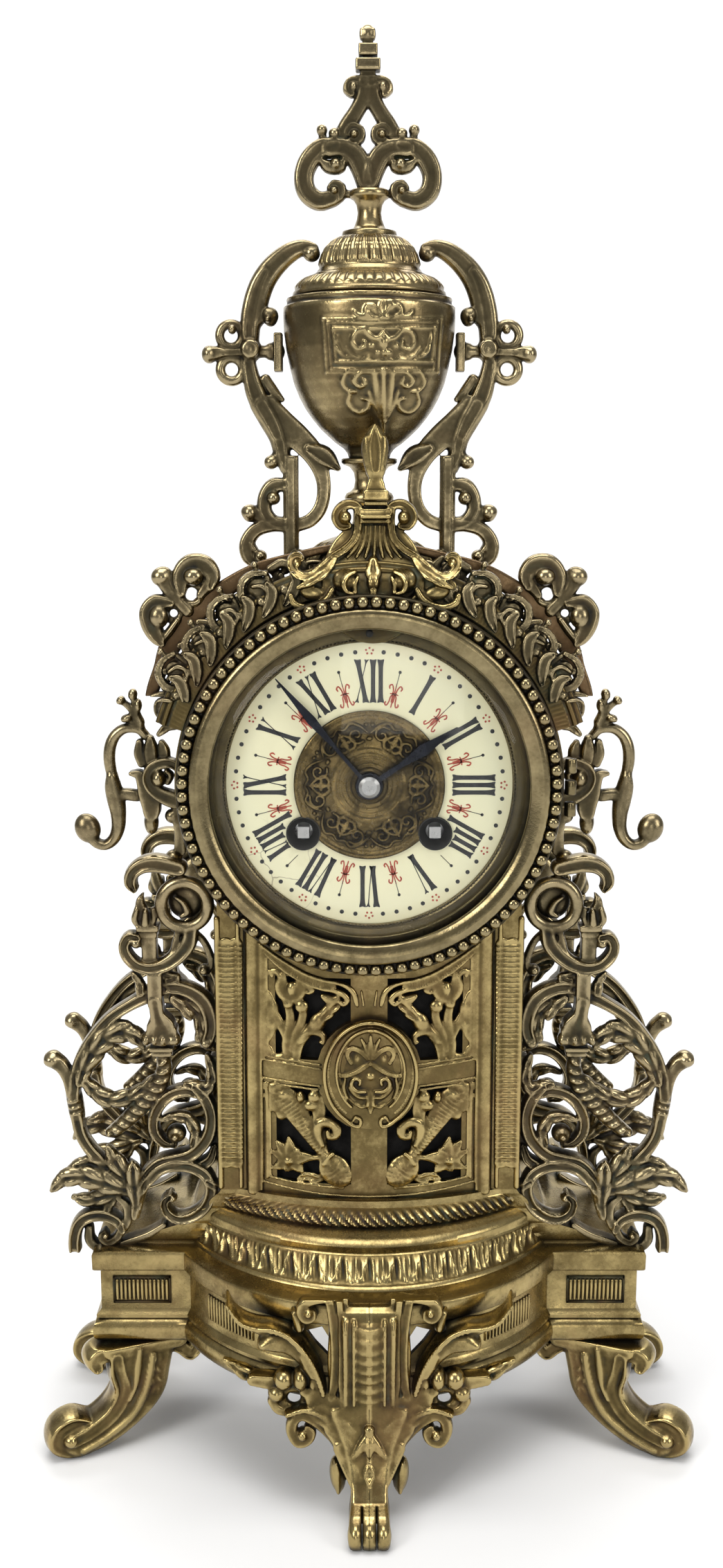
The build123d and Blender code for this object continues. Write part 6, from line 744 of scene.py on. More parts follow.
CAST['panel'] = [
 ('s', {'y':0.1,'h':0.9,'kind':'flat','flute':0.32,'fpitch':0.85}, [[-35.11,180.72,0.66],[-31.16,177.26,1.33],[-26.53,174.0,1.59],[-20.55,171.21,1.59],[-15.22,169.61,1.46],[-11.88,168.78,1.06]]),
 ('s', {'y':0.2,'h':1.2,'p':2.6}, [[-35.36,181.55,0.4],[-31.14,178.5,0.46],[-25.85,175.31,0.53],[-20.54,172.54,0.53],[-15.21,170.87,0.6],[-10.54,170.03,0.66],[-7.21,168.78,0.8],[-5.07,166.68,0.86],[-4.27,163.89,0.8],[-3.87,162.35,0.53]]),
 ('s', {'y':0.2,'h':1.1,'p':2.6}, [[-34.73,179.33,0.27],[-30.51,175.59,0.4],[-25.87,172.12,0.4],[-20.56,169.33,0.46],[-15.89,167.8,0.53],[-11.89,167.38,0.8],[-8.55,166.12,0.93],[-7.08,164.17,0.93],[-8.29,162.63,0.8],[-9.62,163.61,0.66]]),
 ('s', {'y':0.2,'h':0.9,'p':2.6}, [[-2.53,167.38,0.33],[-2.13,164.59,0.4],[-1.86,162.35,0.4]]),
 ('s', {'y':0.2,'h':0.75,'p':2.6}, [[-35.11,180.58,0.36],[-35.0,167.38,0.36],[-35.03,142.37,0.36]]),
 ('s', {'y':0.2,'h':0.75,'p':2.6}, [[-35.3,142.02,0.36],[-28.83,141.45,0.36],[-22.1,140.74,0.36],[-15.89,139.88,0.36]]),
 ('s', {'y':0.2,'h':0.75,'p':2.6}, [[-35.92,135.61,0.36],[-28.89,135.18,0.36],[-22.14,134.46,0.36],[-16.19,134.03,0.36]]),
 ('s', {'y':0.2,'h':0.75,'p':2.6}, [[-35.65,135.25,0.36],[-35.59,117.63,0.36],[-35.68,98.69,0.36]]),
 ('s', {'y':0.2,'h':0.75,'p':2.6}, [[-35.54,98.54,0.36],[-25.83,96.93,0.36],[-15.56,95.75,0.36],[-8.7,95.46,0.36],[0.55,95.17,0.36]]),
 ('s', {'y':0.2,'h':0.75,'p':2.6}, [[-33.67,178.5,0.36],[-33.61,160.38,0.36],[-33.53,143.44,0.36]]),
 ('s', {'y':0.2,'h':0.75,'p':2.6}, [[-33.4,143.16,0.36],[-27.47,142.73,0.36],[-20.74,142.02,0.36],[-16.02,141.45,0.36]]),
 ('s', {'y':0.2,'h':0.75,'p':2.6}, [[-32.97,133.75,0.36],[-26.21,133.46,0.36],[-20.8,133.03,0.36],[-16.74,132.75,0.36]]),
 ('s', {'y':0.2,'h':0.75,'p':2.6}, [[-33.1,133.46,0.36],[-33.01,117.63,0.36],[-33.05,100.74,0.36]]),
 ('s', {'y':0.2,'h':0.75,'p':2.6}, [[-32.92,100.45,0.36],[-25.81,99.42,0.36],[-15.55,98.54,0.36],[-8.7,98.1,0.36]]),
 ('s', {'y':0.05,'h':0.45,'kind':'flat','flute':0.2,'fpitch':0.9}, [[-34.27,178.5,0.53],[-34.21,160.38,0.6],[-34.21,143.44,0.6]]),
 ('s', {'y':0.05,'h':0.45,'kind':'flat','flute':0.2,'fpitch':0.9}, [[-34.18,133.82,0.66],[-34.09,117.63,0.66],[-34.16,100.16,0.66]]),
 ('s', {'y':1.0,'h':1.3,'p':2.2,'g':0.25}, [[-26.8,143.09,1.06],[-27.16,147.7,1.13],[-26.3,153.35,1.06],[-26.0,157.57,0.93],[-26.64,161.08,0.86],[-27.27,165.28,1.06]]),
 ('s', {'y':1.0,'h':1.3,'p':2.2,'g':0.25}, [[-24.1,143.09,0.93],[-22.98,148.4,1.13],[-20.0,152.64,1.06],[-16.95,156.87,0.99],[-13.25,161.08,0.86],[-11.23,163.89,0.8]]),
 ('s', {'y':1.0,'h':1.3,'p':2.2,'g':0.25}, [[-25.42,146.28,0.8],[-24.03,151.94,0.93],[-21.98,156.87,0.93],[-21.62,161.08,0.8]]),
 ('s', {'y':1.0,'h':1.3,'p':2.2,'g':0.25}, [[-27.08,149.11,0.66],[-28.72,153.35,0.93],[-30.69,157.57,0.86],[-32.34,160.38,0.66]]),
 ('s', {'y':0.6,'h':1.5,'g':0.4}, [[-28.21,171.7,0.66],[-28.71,168.08,1.46],[-26.94,165.28,1.72],[-24.26,165.28,1.72],[-22.57,168.08,1.46],[-22.41,171.14,0.66]]),
 ('e', {'y':0.2}, [-25.38,167.24,1.46,1.6,2.25]),
 ('s', {'y':0.7,'h':1.3}, [[-28.55,170.87,0.66],[-30.54,172.81,0.8],[-32.21,172.54,0.66],[-31.89,171.14,0.46]]),
 ('s', {'y':0.7,'h':1.3}, [[-22.56,169.47,0.6],[-19.89,168.78,0.8],[-18.7,166.96,0.66],[-19.91,166.12,0.46]]),
 ('e', {'y':0.5,'rot':-20}, [-16.89,156.03,1.59,1.6,1.99]),
 ('e', {'y':0.6}, [-22.08,161.22,1.33,1.5,1.33]),
 ('e', {'y':0.5}, [-26.63,161.78,1.06,1.4,0.93]),
 ('e', {'y':0.7}, [-31.74,159.68,1.19,1.3,1.72]),
 ('e', {'y':0.7}, [-31.67,154.05,1.06,1.3,1.33]),
 ('s', {'y':0.8,'h':1.3}, [[-22.71,149.11,0.66],[-20.67,152.22,0.8],[-17.31,152.64,0.8],[-14.97,151.23,0.66],[-15.04,149.11,0.53],[-15.98,149.39,0.4]]),
 ('s', {'y':0.7,'h':1.4,'kind':'leaf','lobes':1,'pitch':2.4,'notch':0.35}, [[-17.97,155.46,0.53],[-13.93,158.98,1.19],[-11.24,161.78,1.06],[-9.22,163.19,0.4]]),
 ('s', {'y':0.7,'h':1.3}, [[-15.24,165.28,0.53],[-13.57,164.24,0.93],[-11.23,163.89,0.93],[-10.16,165.28,0.53]]),
 ('s', {'y':0.8,'h':1.2}, [[-32.83,146.28,0.53],[-31.51,143.44,0.66],[-28.82,143.44,0.8]]),
 ('s', {'y':0.8,'h':1.2}, [[-32.95,165.28,0.53],[-31.85,161.78,0.8],[-32.37,157.57,0.93],[-32.09,151.94,0.8],[-33.07,149.11,0.53]]),
 ('s', {'y':0.4,'h':1.8,'flute':0.3,'fpitch':1.1}, [[-7.32,100.45,0.66],[-9.37,102.21,2.25],[-11.42,104.55,2.92],[-13.19,106.74,1.99]]),
 ('s', {'y':0.2,'h':1.6,'kind':'flat'}, [[-15.1,106.74,0.6],[-13.72,109.07,0.73],[-12.08,110.52,0.66]]),
 ('s', {'y':0.6,'h':1.7,'flute':0.25,'fpitch':1.3}, [[-14.54,109.65,1.06],[-18.2,114.01,1.19],[-20.89,118.36,1.59],[-24.25,124.13,2.25],[-27.6,128.44,2.52],[-30.95,132.03,1.59]]),
 ('s', {'y':1.0,'h':1.3,'p':2.2,'g':0.25}, [[-14.81,110.38,0.8],[-16.15,115.46,1.06],[-16.8,120.52,1.06],[-15.69,125.57,0.93],[-16.08,129.88,0.8]]),
 ('s', {'y':0.4,'h':1.6}, [[-15.48,113.28,0.53],[-17.16,117.63,0.93],[-16.12,120.88,1.06],[-13.06,121.25,1.06],[-10.83,119.44,1.06],[-11.11,116.91,0.93],[-13.15,116.47,0.73],[-13.76,118.07,0.53]]),
 ('s', {'y':1.0,'h':1.3,'p':2.2,'g':0.25}, [[-18.19,114.73,0.66],[-20.2,120.52,0.93],[-22.2,126.29,0.93],[-22.17,129.88,0.66]]),
 ('e', {'y':0.3}, [-28.26,130.17,1.99,1.6,1.72]),
 ('e', {'y':0.2}, [-22.85,129.88,1.19,1.7,1.86]),
 ('e', {'y':0.4}, [-18.11,130.17,1.33,1.5,1.33]),
 ('e', {'y':0.5}, [-19.14,127.01,1.46,1.5,1.19]),
 ('e', {'y':0.6}, [-30.61,126.29,1.59,1.4,1.86]),
 ('e', {'y':0.7}, [-29.01,122.69,1.19,1.3,1.06]),
 ('s', {'y':1.0,'h':1.3,'p':2.2,'g':0.25}, [[-18.13,126.29,0.66],[-17.47,122.69,0.8],[-18.18,117.63,0.66]]),
 ('s', {'y':0.6,'h':1.5,'g':0.3}, [[-26.7,107.03,0.93],[-29.22,108.34,1.26],[-32.55,109.65,0.33]]),
 ('s', {'y':0.6,'h':1.5,'g':0.3}, [[-26.7,107.03,0.93],[-28.45,110.16,1.26],[-31.01,113.28,0.33]]),
 ('s', {'y':0.6,'h':1.5,'g':0.3}, [[-26.7,107.03,0.93],[-26.4,111.03,1.26],[-26.91,115.03,0.33]]),
 ('s', {'y':0.6,'h':1.5,'g':0.3}, [[-26.7,107.03,0.93],[-24.78,109.07,1.26],[-23.67,111.1,0.33]]),
 ('s', {'y':0.6,'h':1.5,'g':0.3}, [[-26.7,107.03,0.93],[-22.74,108.12,1.26],[-19.59,109.21,0.33]]),
 ('s', {'y':0.6,'h':1.5,'g':0.3}, [[-26.7,107.03,0.93],[-24.12,105.2,1.26],[-22.36,103.38,0.33]]),
 ('s', {'y':0.6,'h':1.5,'g':0.3}, [[-26.7,107.03,0.93],[-26.86,105.2,1.26],[-27.83,103.38,0.33]]),
 ('s', {'y':0.6,'h':1.5,'g':0.3}, [[-26.7,107.03,0.93],[-29.04,105.42,1.26],[-32.2,103.82,0.33]]),
 ('e', {'y':0.1}, [-26.7,107.03,1.72,1.6,1.46]),
 ('s', {'y':0.8,'h':1.3}, [[-23.7,106.74,0.66],[-18.91,108.34,0.6],[-14.82,108.92,0.6]]),
 ('s', {'y':0.8,'h':1.2,'kind':'leaf','lobes':1,'pitch':2.4,'notch':0.3}, [[-14.16,103.08,0.53],[-16.9,100.89,0.93],[-21.01,101.48,0.93],[-23.75,100.45,0.4]]),
 ('s', {'y':1.0,'h':0.9,'kind':'flat','flute':0.8,'fpitch':1.75}, [[-47.2,181.27,1.46],[-47.61,143.8,1.46],[-48.04,105.28,1.46]]),
 ('s', {'y':1.0,'h':0.9,'kind':'flat','flute':0.8,'fpitch':1.75}, [[-44.01,181.27,1.46],[-44.38,143.8,1.46],[-44.76,105.28,1.46]]),
]
CAST['scroll'] = [
 ('s', {'y':3.2,'h':4.2,'g':0.8,'gw':0.42,'rim':0.25}, [[-62.4,206.16,2.78],[-67.44,207.34,3.16],[-71.23,207.73,3.16],[-75.06,206.82,2.78],[-77.98,204.21,2.4],[-78.51,201.26,2.15],[-77.3,199.1,1.14]]),
 ('r', {'y':1.5}, [-60.88,193.85,7.71,2.15]),
 ('e', {'y':4.6}, [-60.87,194.37,5.81,2.0,6.06]),
 ('s', {'y':3,'h':2.0}, [[-63.89,196.35,0.63],[-61.38,194.37,1.14],[-60.18,191.08,1.39],[-62.12,189.76,0.88]]),
 ('s', {'y':2.6,'h':3.4,'g':0.8,'gw':0.42,'rim':0.25}, [[-58.9,185.13,2.27],[-60.08,180.49,2.91],[-63.05,176.5,2.78],[-67.61,173.29,2.65],[-72.77,171.96,2.27],[-77.23,173.16,2.15],[-80.34,176.5,2.15],[-81.14,180.16,1.96],[-79.4,182.94,1.83],[-76.66,182.61,1.39]]),
 ('e', {'y':2.0}, [-77.16,180.62,1.89,3.0,1.77]),
 ('s', {'y':1.8,'h':2.2,'g':0.4}, [[-63.11,185.26,0.88],[-63.82,181.82,1.26],[-64.94,177.49,1.39],[-68.22,174.49,1.14]]),
 ('s', {'y':3.6,'h':2.4,'g':0.3}, [[-58.4,184.47,0.88],[-55.27,181.15,1.07],[-53.29,177.16,1.2],[-52.47,173.16,1.26],[-54.06,170.22,1.14]]),
 ('e', {'y':3.0}, [-54.95,171.15,1.96,3.2,1.83]),
 ('s', {'y':3.6,'h':2.6,'g':0.5}, [[-74.67,197.4,0.25],[-75.7,194.7,1.39],[-75.16,191.08,2.15],[-73.77,187.78,2.27]]),
 ('s', {'y':2.4,'h':1.8}, [[-76.72,192.07,1.01],[-77.46,188.44,1.26],[-76.55,186.79,1.01]]),
 ('s', {'y':2.4,'h':1.8}, [[-71.31,192.07,0.88],[-71.06,189.1,1.14],[-72.08,186.79,1.01]]),
 ('s', {'y':1.4,'h':2.0}, [[-73.67,191.74,0.88],[-73.91,187.45,1.39]]),
 ('b', {}, [-77.05,-69.52,0.2,7.0,184.6,186.79]),
 ('b', {}, [-76.22,-70.15,1.0,6.5,182.35,184.6]),
 ('b', {}, [-75.48,-70.46,1.2,6.4,173.83,182.35]),
 ('b', {}, [-73.61,-68.83,-0.6,5.0,159.06,170.48]),
 ('s', {'kind':'flat','y':2.4,'h':3.2,'g':0.5,'gw':0.4}, [[-71.26,160.41,2.27],[-70.47,155.68,2.53],[-69.7,152.97,3.79],[-69.43,150.6,5.31]]),
 ('e', {'y':1.2}, [-74.56,147.4,1.52,3.0,2.15]),
 ('e', {'y':1.2}, [-71.71,147.4,1.52,3.0,2.15]),
 ('e', {'y':1.2}, [-68.86,147.4,1.52,3.0,2.15]),
 ('e', {'y':1.2}, [-65.88,147.4,1.52,3.0,2.15]),
 ('e', {'y':1.2}, [-64.59,147.4,1.52,3.0,2.15]),
 ('b', {}, [-75.37,-63.97,0.2,6.0,146.04,148.76]),
 ('b', {}, [-73.63,-65.68,-0.4,6.4,143.04,144.68]),
 ('b', {}, [-73.03,-66.11,0.2,6.0,141.27,142.91]),
 ('s', {'y':3.0,'h':3.6,'flute':0.75,'fpitch':3.4,'twist':0.35}, [[-69.4,140.86,2.15],[-69.05,136.61,2.59],[-70.81,131.12,2.91],[-74.18,126.29,3.03],[-78.62,121.45,2.91],[-82.65,117.42,2.65],[-86.14,114.64,2.15],[-88.13,113.66,1.52]]),
 ('s', {'y':4.4,'h':3.6,'g':0.8,'gw':0.42,'rim':0.25}, [[-68.46,164.45,2.15],[-73.66,162.09,2.53],[-80.2,158.65,2.15],[-87.11,153.92,2.02],[-92.68,147.54,2.02],[-96.79,140.72,2.02],[-98.97,133.87,2.02],[-99.88,126.29,2.02]]),
 ('s', {'y':4.4,'h':3.6,'flute':0.6,'fpitch':2.2}, [[-100.02,125.94,2.78],[-99.5,122.14,2.78],[-99.21,119.36,2.65]]),
 ('s', {'y':4.4,'h':3.4,'g':0.8,'gw':0.42,'rim':0.25}, [[-99.21,119.36,2.27],[-98.11,113.1,2.15],[-95.4,107.66,2.15],[-92.24,103.87,2.15],[-89.37,100.85,1.64]]),
 ('s', {'y':4.4,'h':3.8,'g':0.8,'gw':0.42,'rim':0.25}, [[-68.44,164.99,2.15],[-63.3,164.85,2.53],[-58.83,163.1,2.78],[-55.16,159.87,2.91],[-53.31,155.14,2.78],[-53.01,150.26,2.53],[-54.24,146.45,2.27]]),
 ('e', {'y':4.0}, [-54.52,145.36,2.65,3.6,2.15]),
 ('s', {'y':3.0,'h':2.6,'pitch':3.6,'kind':'leaf','lobes':1}, [[-65.31,161.08,1.64],[-62.48,158.25,2.02],[-59.98,154.06,0.88]]),
 ('s', {'y':3.4,'h':2.6,'pitch':3.2,'kind':'leaf','lobes':1}, [[-67.1,167.47,1.64],[-64.51,168.34,1.64],[-68.34,169.48,1.26]]),
 ('s', {'y':3.4,'h':2.6,'pitch':3.2,'kind':'leaf','lobes':1}, [[-76.21,163.1,1.64],[-76.63,166.8,1.64],[-78.73,169.81,0.76]]),
 ('s', {'y':4.2,'h':3,'pitch':3.6,'kind':'leaf','lobes':1}, [[-64.68,160.41,1.26],[-60.84,159.19,1.89],[-57.56,155.55,2.15],[-56.75,150.6,1.89],[-57.54,146.86,1.14]]),
 ('s', {'y':3.2,'h':2.9,'pitch':4.2,'slant':1.0,'notch':0.42,'kind':'leaf','lobes':1}, [[-97.55,131.67,1.89],[-95.61,137.3,3.16],[-92.17,143.04,3.79],[-87.49,147.81,3.92],[-82.27,149.44,3.66],[-77.92,147.54,2.65],[-76.2,144.0,1.01]]),
 ('s', {'y':3.2,'h':2.8,'pitch':4.0,'slant':1.0,'notch':0.4,'kind':'leaf','lobes':1}, [[-95.78,132.08,1.39],[-92.39,127.95,2.91],[-88.17,125.46,2.91],[-83.47,125.6,2.78],[-78.45,127.81,2.15],[-74.44,131.67,1.26],[-72.43,133.87,0.51]]),
 ('s', {'y':4.2,'h':3.0,'g':0.4}, [[-106.57,139.35,3.03],[-103.68,136.89,2.65],[-101.75,132.63,2.15],[-100.9,126.98,1.77]]),
 ('e', {'y':4.0}, [-106.97,139.21,3.16,3.6,2.65]),
 ('s', {'y':3.4,'h':3.6,'g':0.8,'gw':0.42,'rim':0.25}, [[-56.29,127.26,1.64],[-61.48,128.77,2.15],[-66.72,127.39,2.15],[-70.86,123.52,2.15],[-72.95,118.25,2.02],[-72.29,113.1,1.89],[-69.09,109.89,1.52],[-65.82,109.47,0.88]]),
 ('s', {'y':3.0,'h':3.8,'g':0.8,'gw':0.42,'rim':0.25}, [[-58.84,130.43,1.26],[-55.52,126.7,2.27],[-53.41,120.75,2.27],[-53.92,114.5,2.4],[-56.63,109.61,2.53],[-60.64,105.97,2.65],[-65.93,104.29,2.65],[-71.09,103.17,2.27],[-75.12,99.65,2.15],[-77.36,94.58,2.15],[-78.84,88.49,1.89],[-79.62,84.23,1.39]]),
 ('s', {'y':2.2,'h':2.6,'pitch':3.4,'kind':'leaf','lobes':1}, [[-54.34,141.27,0.88],[-53.24,137.3,1.77],[-52.8,133.18,2.15],[-54.55,129.74,2.27],[-58.44,130.7,2.15],[-61.95,131.25,1.01]]),
 ('e', {'y':2.6}, [-65.4,113.45,3.41,4.0,3.16]),
 ('e', {'y':-1.0}, [-65.4,113.45,1.39,2.2,1.26]),
 ('s', {'y':1.8,'h':2.6,'pitch':3.4,'kind':'leaf','lobes':1}, [[-70.06,118.67,0.76],[-65.58,120.06,1.64],[-61.16,118.81,2.15],[-59.02,114.5,2.02],[-59.91,109.47,1.14]]),
 ('s', {'y':3.6,'h':3.4,'g':0.8,'gw':0.42,'rim':0.25}, [[-52.38,108.91,1.01],[-54.11,104.01,1.89],[-58.1,101.2,2.15]]),
 ('s', {'y':2.6,'h':3.8,'g':0.8,'gw':0.42,'rim':0.25}, [[-78.07,92.74,1.39],[-74.92,97.12,2.02],[-71.14,100.78,2.27],[-65.97,102.47,2.4],[-59.94,101.62,2.27],[-55.52,98.67,2.27],[-53.77,93.31,2.27],[-55.99,87.36,2.27],[-60.83,83.52,2.21],[-65.61,82.95,2.02],[-69.0,85.37,1.77],[-69.84,89.2,1.52],[-67.81,91.33,1.14]]),
 ('e', {'y':1.6}, [-66.9,90.48,1.52,3.0,1.39]),
 ('s', {'y':1.6,'h':3.0,'pitch':5,'notch':0.15,'kind':'leaf','lobes':1}, [[-54.9,96.63,1.26],[-50.33,93.8,2.53],[-45.75,91.61,2.78],[-42.17,92.32,2.15],[-41.48,94.86,0.88]]),
 ('s', {'y':1.6,'h':2.4,'pitch':4.4,'notch':0.4,'kind':'leaf','lobes':1}, [[-79.4,92.32,1.14],[-85.29,94.15,3.03],[-92.47,96.55,3.92],[-99.0,98.25,3.41],[-104.32,96.98,2.78],[-108.29,93.02,0.88]]),
 ('s', {'y':3.4,'h':2.4,'pitch':4.2,'notch':0.4,'kind':'leaf','lobes':1}, [[-80.67,94.15,1.01],[-85.82,98.39,2.65],[-91.13,101.34,3.03],[-97.16,102.05,2.53],[-102.21,100.64,0.88]]),
 ('s', {'y':2.4,'h':2.6,'pitch':4.4,'notch':0.36,'kind':'leaf','lobes':1}, [[-80.67,94.15,1.01],[-83.43,99.09,2.53],[-86.71,104.01,2.91],[-88.68,108.49,0.88]]),
 ('s', {'y':3.0,'h':2.4,'pitch':4.2,'notch':0.36,'kind':'leaf','lobes':1}, [[-83.35,92.74,0.88],[-90.02,90.48,2.65],[-96.28,88.92,2.53],[-101.27,89.91,0.88]]),
 ('s', {'y':3.0,'h':2.2,'pitch':3.8,'kind':'leaf','lobes':1}, [[-86.71,90.62,0.88],[-89.06,87.07,1.89],[-90.89,83.52,0.63]]),
 ('s', {'y':0.8,'h':2.4,'pitch':4.6,'notch':0.3,'kind':'leaf','lobes':1}, [[-80.3,83.52,0.88],[-79.47,89.91,2.15],[-79.97,95.57,2.91],[-80.1,100.5,2.4],[-80.54,103.73,0.51]]),
 ('s', {'y':2.4,'h':2.4,'g':0.4}, [[-85.8,90.19,0.88],[-82.97,87.36,1.64],[-82.57,82.81,1.77],[-84.83,77.81,1.39],[-86.49,75.67,1.01]]),
 ('s', {'y':3.2,'h':3.6,'g':0.8,'gw':0.42,'rim':0.25}, [[-84.41,78.53,1.26],[-86.44,81.67,1.89],[-90.75,83.8,2.27],[-95.4,83.52,2.4],[-99.18,81.24,2.27],[-101.07,76.38,2.21],[-101.27,70.51,2.15],[-99.98,65.32,2.15],[-97.59,61.14,2.15]]),
 ('s', {'y':3.2,'h':3.4,'flute':0.5,'fpitch':2.0}, [[-98.09,62.01,2.53],[-95.8,58.68,2.27]]),
 ('s', {'y':2.4,'h':3.0,'g':0.5}, [[-84.76,80.24,1.39],[-86.35,75.95,1.64],[-89.86,73.95,1.52],[-91.92,75.95,1.26],[-90.67,77.96,0.88]]),
 ('e', {'y':1.2}, [-90.16,77.1,1.39,3.2,1.26]),
 ('s', {'y':3.6,'h':3.0,'g':0.4}, [[-96.22,78.53,1.52],[-96.09,74.24,1.89],[-93.26,71.51,1.89],[-88.43,72.94,1.64]]),
 ('s', {'y':3.2,'h':2.6,'g':0.4}, [[-93.94,49.67,1.26],[-97.11,51.13,1.64],[-99.71,49.53,1.77],[-98.59,47.05,1.26]]),
 ('b', {}, [-93.84,-70.65,0.4,7.6,69.93,71.51]),
 ('b', {}, [-53.57,-48.25,2.4,7.6,133.87,140.72]),
 ('b', {}, [-54.03,-47.05,2.4,7.6,108.22,113.8]),
 ('s', {'y':4,'h':3,'kind':'flat'}, [[-70.45,79.95,1.01],[-75.85,76.38,1.26],[-84.57,72.94,1.39]]),
]
CAST['support_a'] = [
 ('s', {'y':22,'h':2.9,'g':0.5,'gw':0.35,'rim':0.2}, [[-32.99,395.97,1.5],[-34.78,393.01,2.21],[-36.61,387.93,2.74],[-37.74,382.82,2.91],[-38.16,377.69,2.74],[-38.11,375.12,2.47]]),
 ('e', {'y':20.6,'rot':20}, [-31.91,382.31,2.03,2.6,2.74]),
 ('e', {'y':18.4}, [-32.27,381.45,0.88,2.0,0.97]),
 ('e', {'y':21.4}, [-38.06,372.33,3.09,3.6,3.71]),
 ('r', {'y':18.8}, [-37.97,372.33,2.12,0.62]),
 ('s', {'y':22,'h':2.2}, [[-35.49,371.69,1.76],[-32.82,371.69,1.76],[-30.38,371.69,2.91]]),
 ('b', {}, [-30.58,-27.79,19.0,25.0,365.31,377.52]),
 ('r', {'y':21.6}, [-44.3,376.62,3.62,1.32]),
 ('r', {'y':21.6}, [-44.24,366.09,3.62,1.41]),
 ('e', {'y':19.4}, [-43.74,378.29,1.15,2.2,1.32]),
 ('s', {'y':21.4,'h':2.8,'g':0.35}, [[-51.05,370.83,2.29],[-48.82,371.17,1.94],[-45.71,371.26,1.15],[-42.16,371.43,1.15],[-39.93,371.69,1.5]]),
 ('e', {'y':21.4}, [-51.41,370.74,2.03,3.2,2.47]),
 ('s', {'y':21.8,'h':2.6,'pitch':4.2,'slant':0.9,'notch':0.25,'kind':'leaf','lobes':1}, [[-38.64,368.25,1.94],[-37.82,363.06,2.47],[-36.54,358.73,2.91],[-34.36,353.95,2.91],[-31.73,349.58,2.65],[-29.98,345.64,2.03]]),
 ('s', {'y':22,'h':2.4,'g':0.3}, [[-33.37,363.06,1.5],[-30.73,359.16,1.5],[-28.08,356.73,0.71]]),
]
CAST['support_b'] = [
 ('e', {'y':21.4}, [-18.32,401.66,2.37,2.9,2.23]),
 ('s', {'y':22,'h':2.8,'g':0.4,'gw':0.4,'rim':0.2}, [[-17.82,403.27,1.54],[-20.61,403.67,2.09],[-24.47,402.47,2.65],[-29.27,398.98,3.07],[-33.1,394.41,3.35],[-35.56,389.01,3.49],[-36.91,382.5,3.35]]),
 ('e', {'y':20.6}, [-31.34,382.5,2.09,2.2,2.37]),
 ('s', {'y':22,'h':2.9,'g':0.4,'gw':0.35}, [[-34.84,355.03,3.07],[-32.04,350.03,3.07],[-29.53,344.72,2.65],[-28.15,338.98,2.37],[-26.61,335.46,2.37]]),
 ('s', {'y':22,'h':2.2,'kind':'flat'}, [[-32.27,355.03,2.65],[-27.77,349.47,3.35],[-22.81,344.58,3.49],[-18.26,339.68,3.07],[-15.42,333.35,2.23],[-14.73,327.7,1.95],[-16.05,322.02,1.95],[-19.25,318.32,1.95],[-23.16,316.75,1.82]]),
 ('s', {'y':21.4,'h':2.6,'pitch':3.6,'notch':0.2,'kind':'leaf','lobes':1}, [[-19.25,341.08,1.54],[-14.96,338.98,2.93],[-10.1,334.9,0.84]]),
 ('e', {'y':21.0}, [-31.76,336.87,2.09,2.4,1.95]),
 ('s', {'y':22,'h':2.4}, [[-31.46,337.57,1.4],[-28.86,339.68,1.82],[-26.97,342.48,2.09]]),
 ('b', {}, [-28.03,-22.99,19.8,24.2,305.58,338.98]),
 ('b', {}, [-27.29,-23.71,19.2,24.8,307.01,338.98]),
 ('s', {'y':21.8,'h':2.6,'g':0.5,'gw':0.4,'rim':0.2}, [[-27.52,329.82,1.82],[-31.12,329.26,2.37],[-33.61,325.86,2.37],[-34.09,321.6,2.09],[-31.53,317.89,2.09],[-27.2,317.04,1.95]]),
 ('e', {'y':20.2}, [-31.16,325.43,1.95,2.6,1.95]),
 ('s', {'y':21.8,'h':2.4,'g':0.4}, [[-35.27,319.46,1.68],[-38.28,320.6,2.37],[-39.87,321.03,1.82]]),
 ('e', {'y':21.4}, [-39.01,320.6,2.23,2.8,2.51]),
 ('s', {'y':21.8,'h':2.6,'g':0.4,'rim':0.2}, [[-27.21,316.18,1.54],[-32.27,316.61,1.95],[-37.35,314.9,2.09],[-40.16,310.46,2.23],[-39.63,306.29,1.95],[-37.19,304.14,1.4]]),
 ('e', {'y':20.6}, [-35.56,306.73,1.88,2.6,1.82]),
 ('s', {'y':21.8,'h':2.4}, [[-36.86,307.73,0.98],[-38.28,309.89,1.12],[-38.7,311.03,0.7]]),
 ('e', {'y':19.6}, [-23.09,306.29,2.51,2.4,2.51]),
]
CAST['trefoil'] = [
 ('s', {'y':7.6,'h':2.6,'g':0.3}, [[-66.08,300.99,2.86],[-64.46,296.91,2.02],[-61.46,293.33,1.85],[-58.28,289.91,1.85]]),
 ('e', {'y':7.2}, [-66.76,300.82,2.86,3.0,2.69]),
 ('r', {'y':7.4}, [-57.14,295.38,3.36,1.18]),
 ('s', {'y':7.2,'h':2.4,'pitch':2.6,'notch':0.35,'slant':0.6,'lobes':1,'kind':'leaf'}, [[-60.21,295.89,1.35],[-60.1,300.99,2.86],[-57.12,304.55,3.19],[-52.69,304.55,2.86],[-50.02,300.99,2.19],[-50.77,297.59,1.18]]),
 ('e', {'y':5.8}, [-56.17,300.99,2.86,2.8,2.52]),
 ('s', {'y':7.4,'h':2.4,'g':0.3}, [[-54.07,295.04,1.35],[-51.61,298.44,2.02],[-50.71,300.99,1.68]]),
 ('s', {'y':7.2,'h':2.4,'pitch':2.6,'notch':0.35,'slant':0.6,'lobes':1,'kind':'leaf'}, [[-63.71,292.48,1.18],[-68.33,292.82,2.35],[-71.31,289.91,2.35],[-70.22,285.63,3.03],[-68.26,281.33,2.19],[-66.76,279.43,1.01]]),
 ('e', {'y':6.0}, [-67.58,288.2,2.86,2.6,3.36]),
 ('r', {'y':7.4}, [-62.93,289.23,2.35,1.01]),
 ('s', {'y':7.4,'h':2.2}, [[-61.6,287.0,1.18],[-63.9,283.91,1.35],[-66.56,280.47,1.18]]),
]
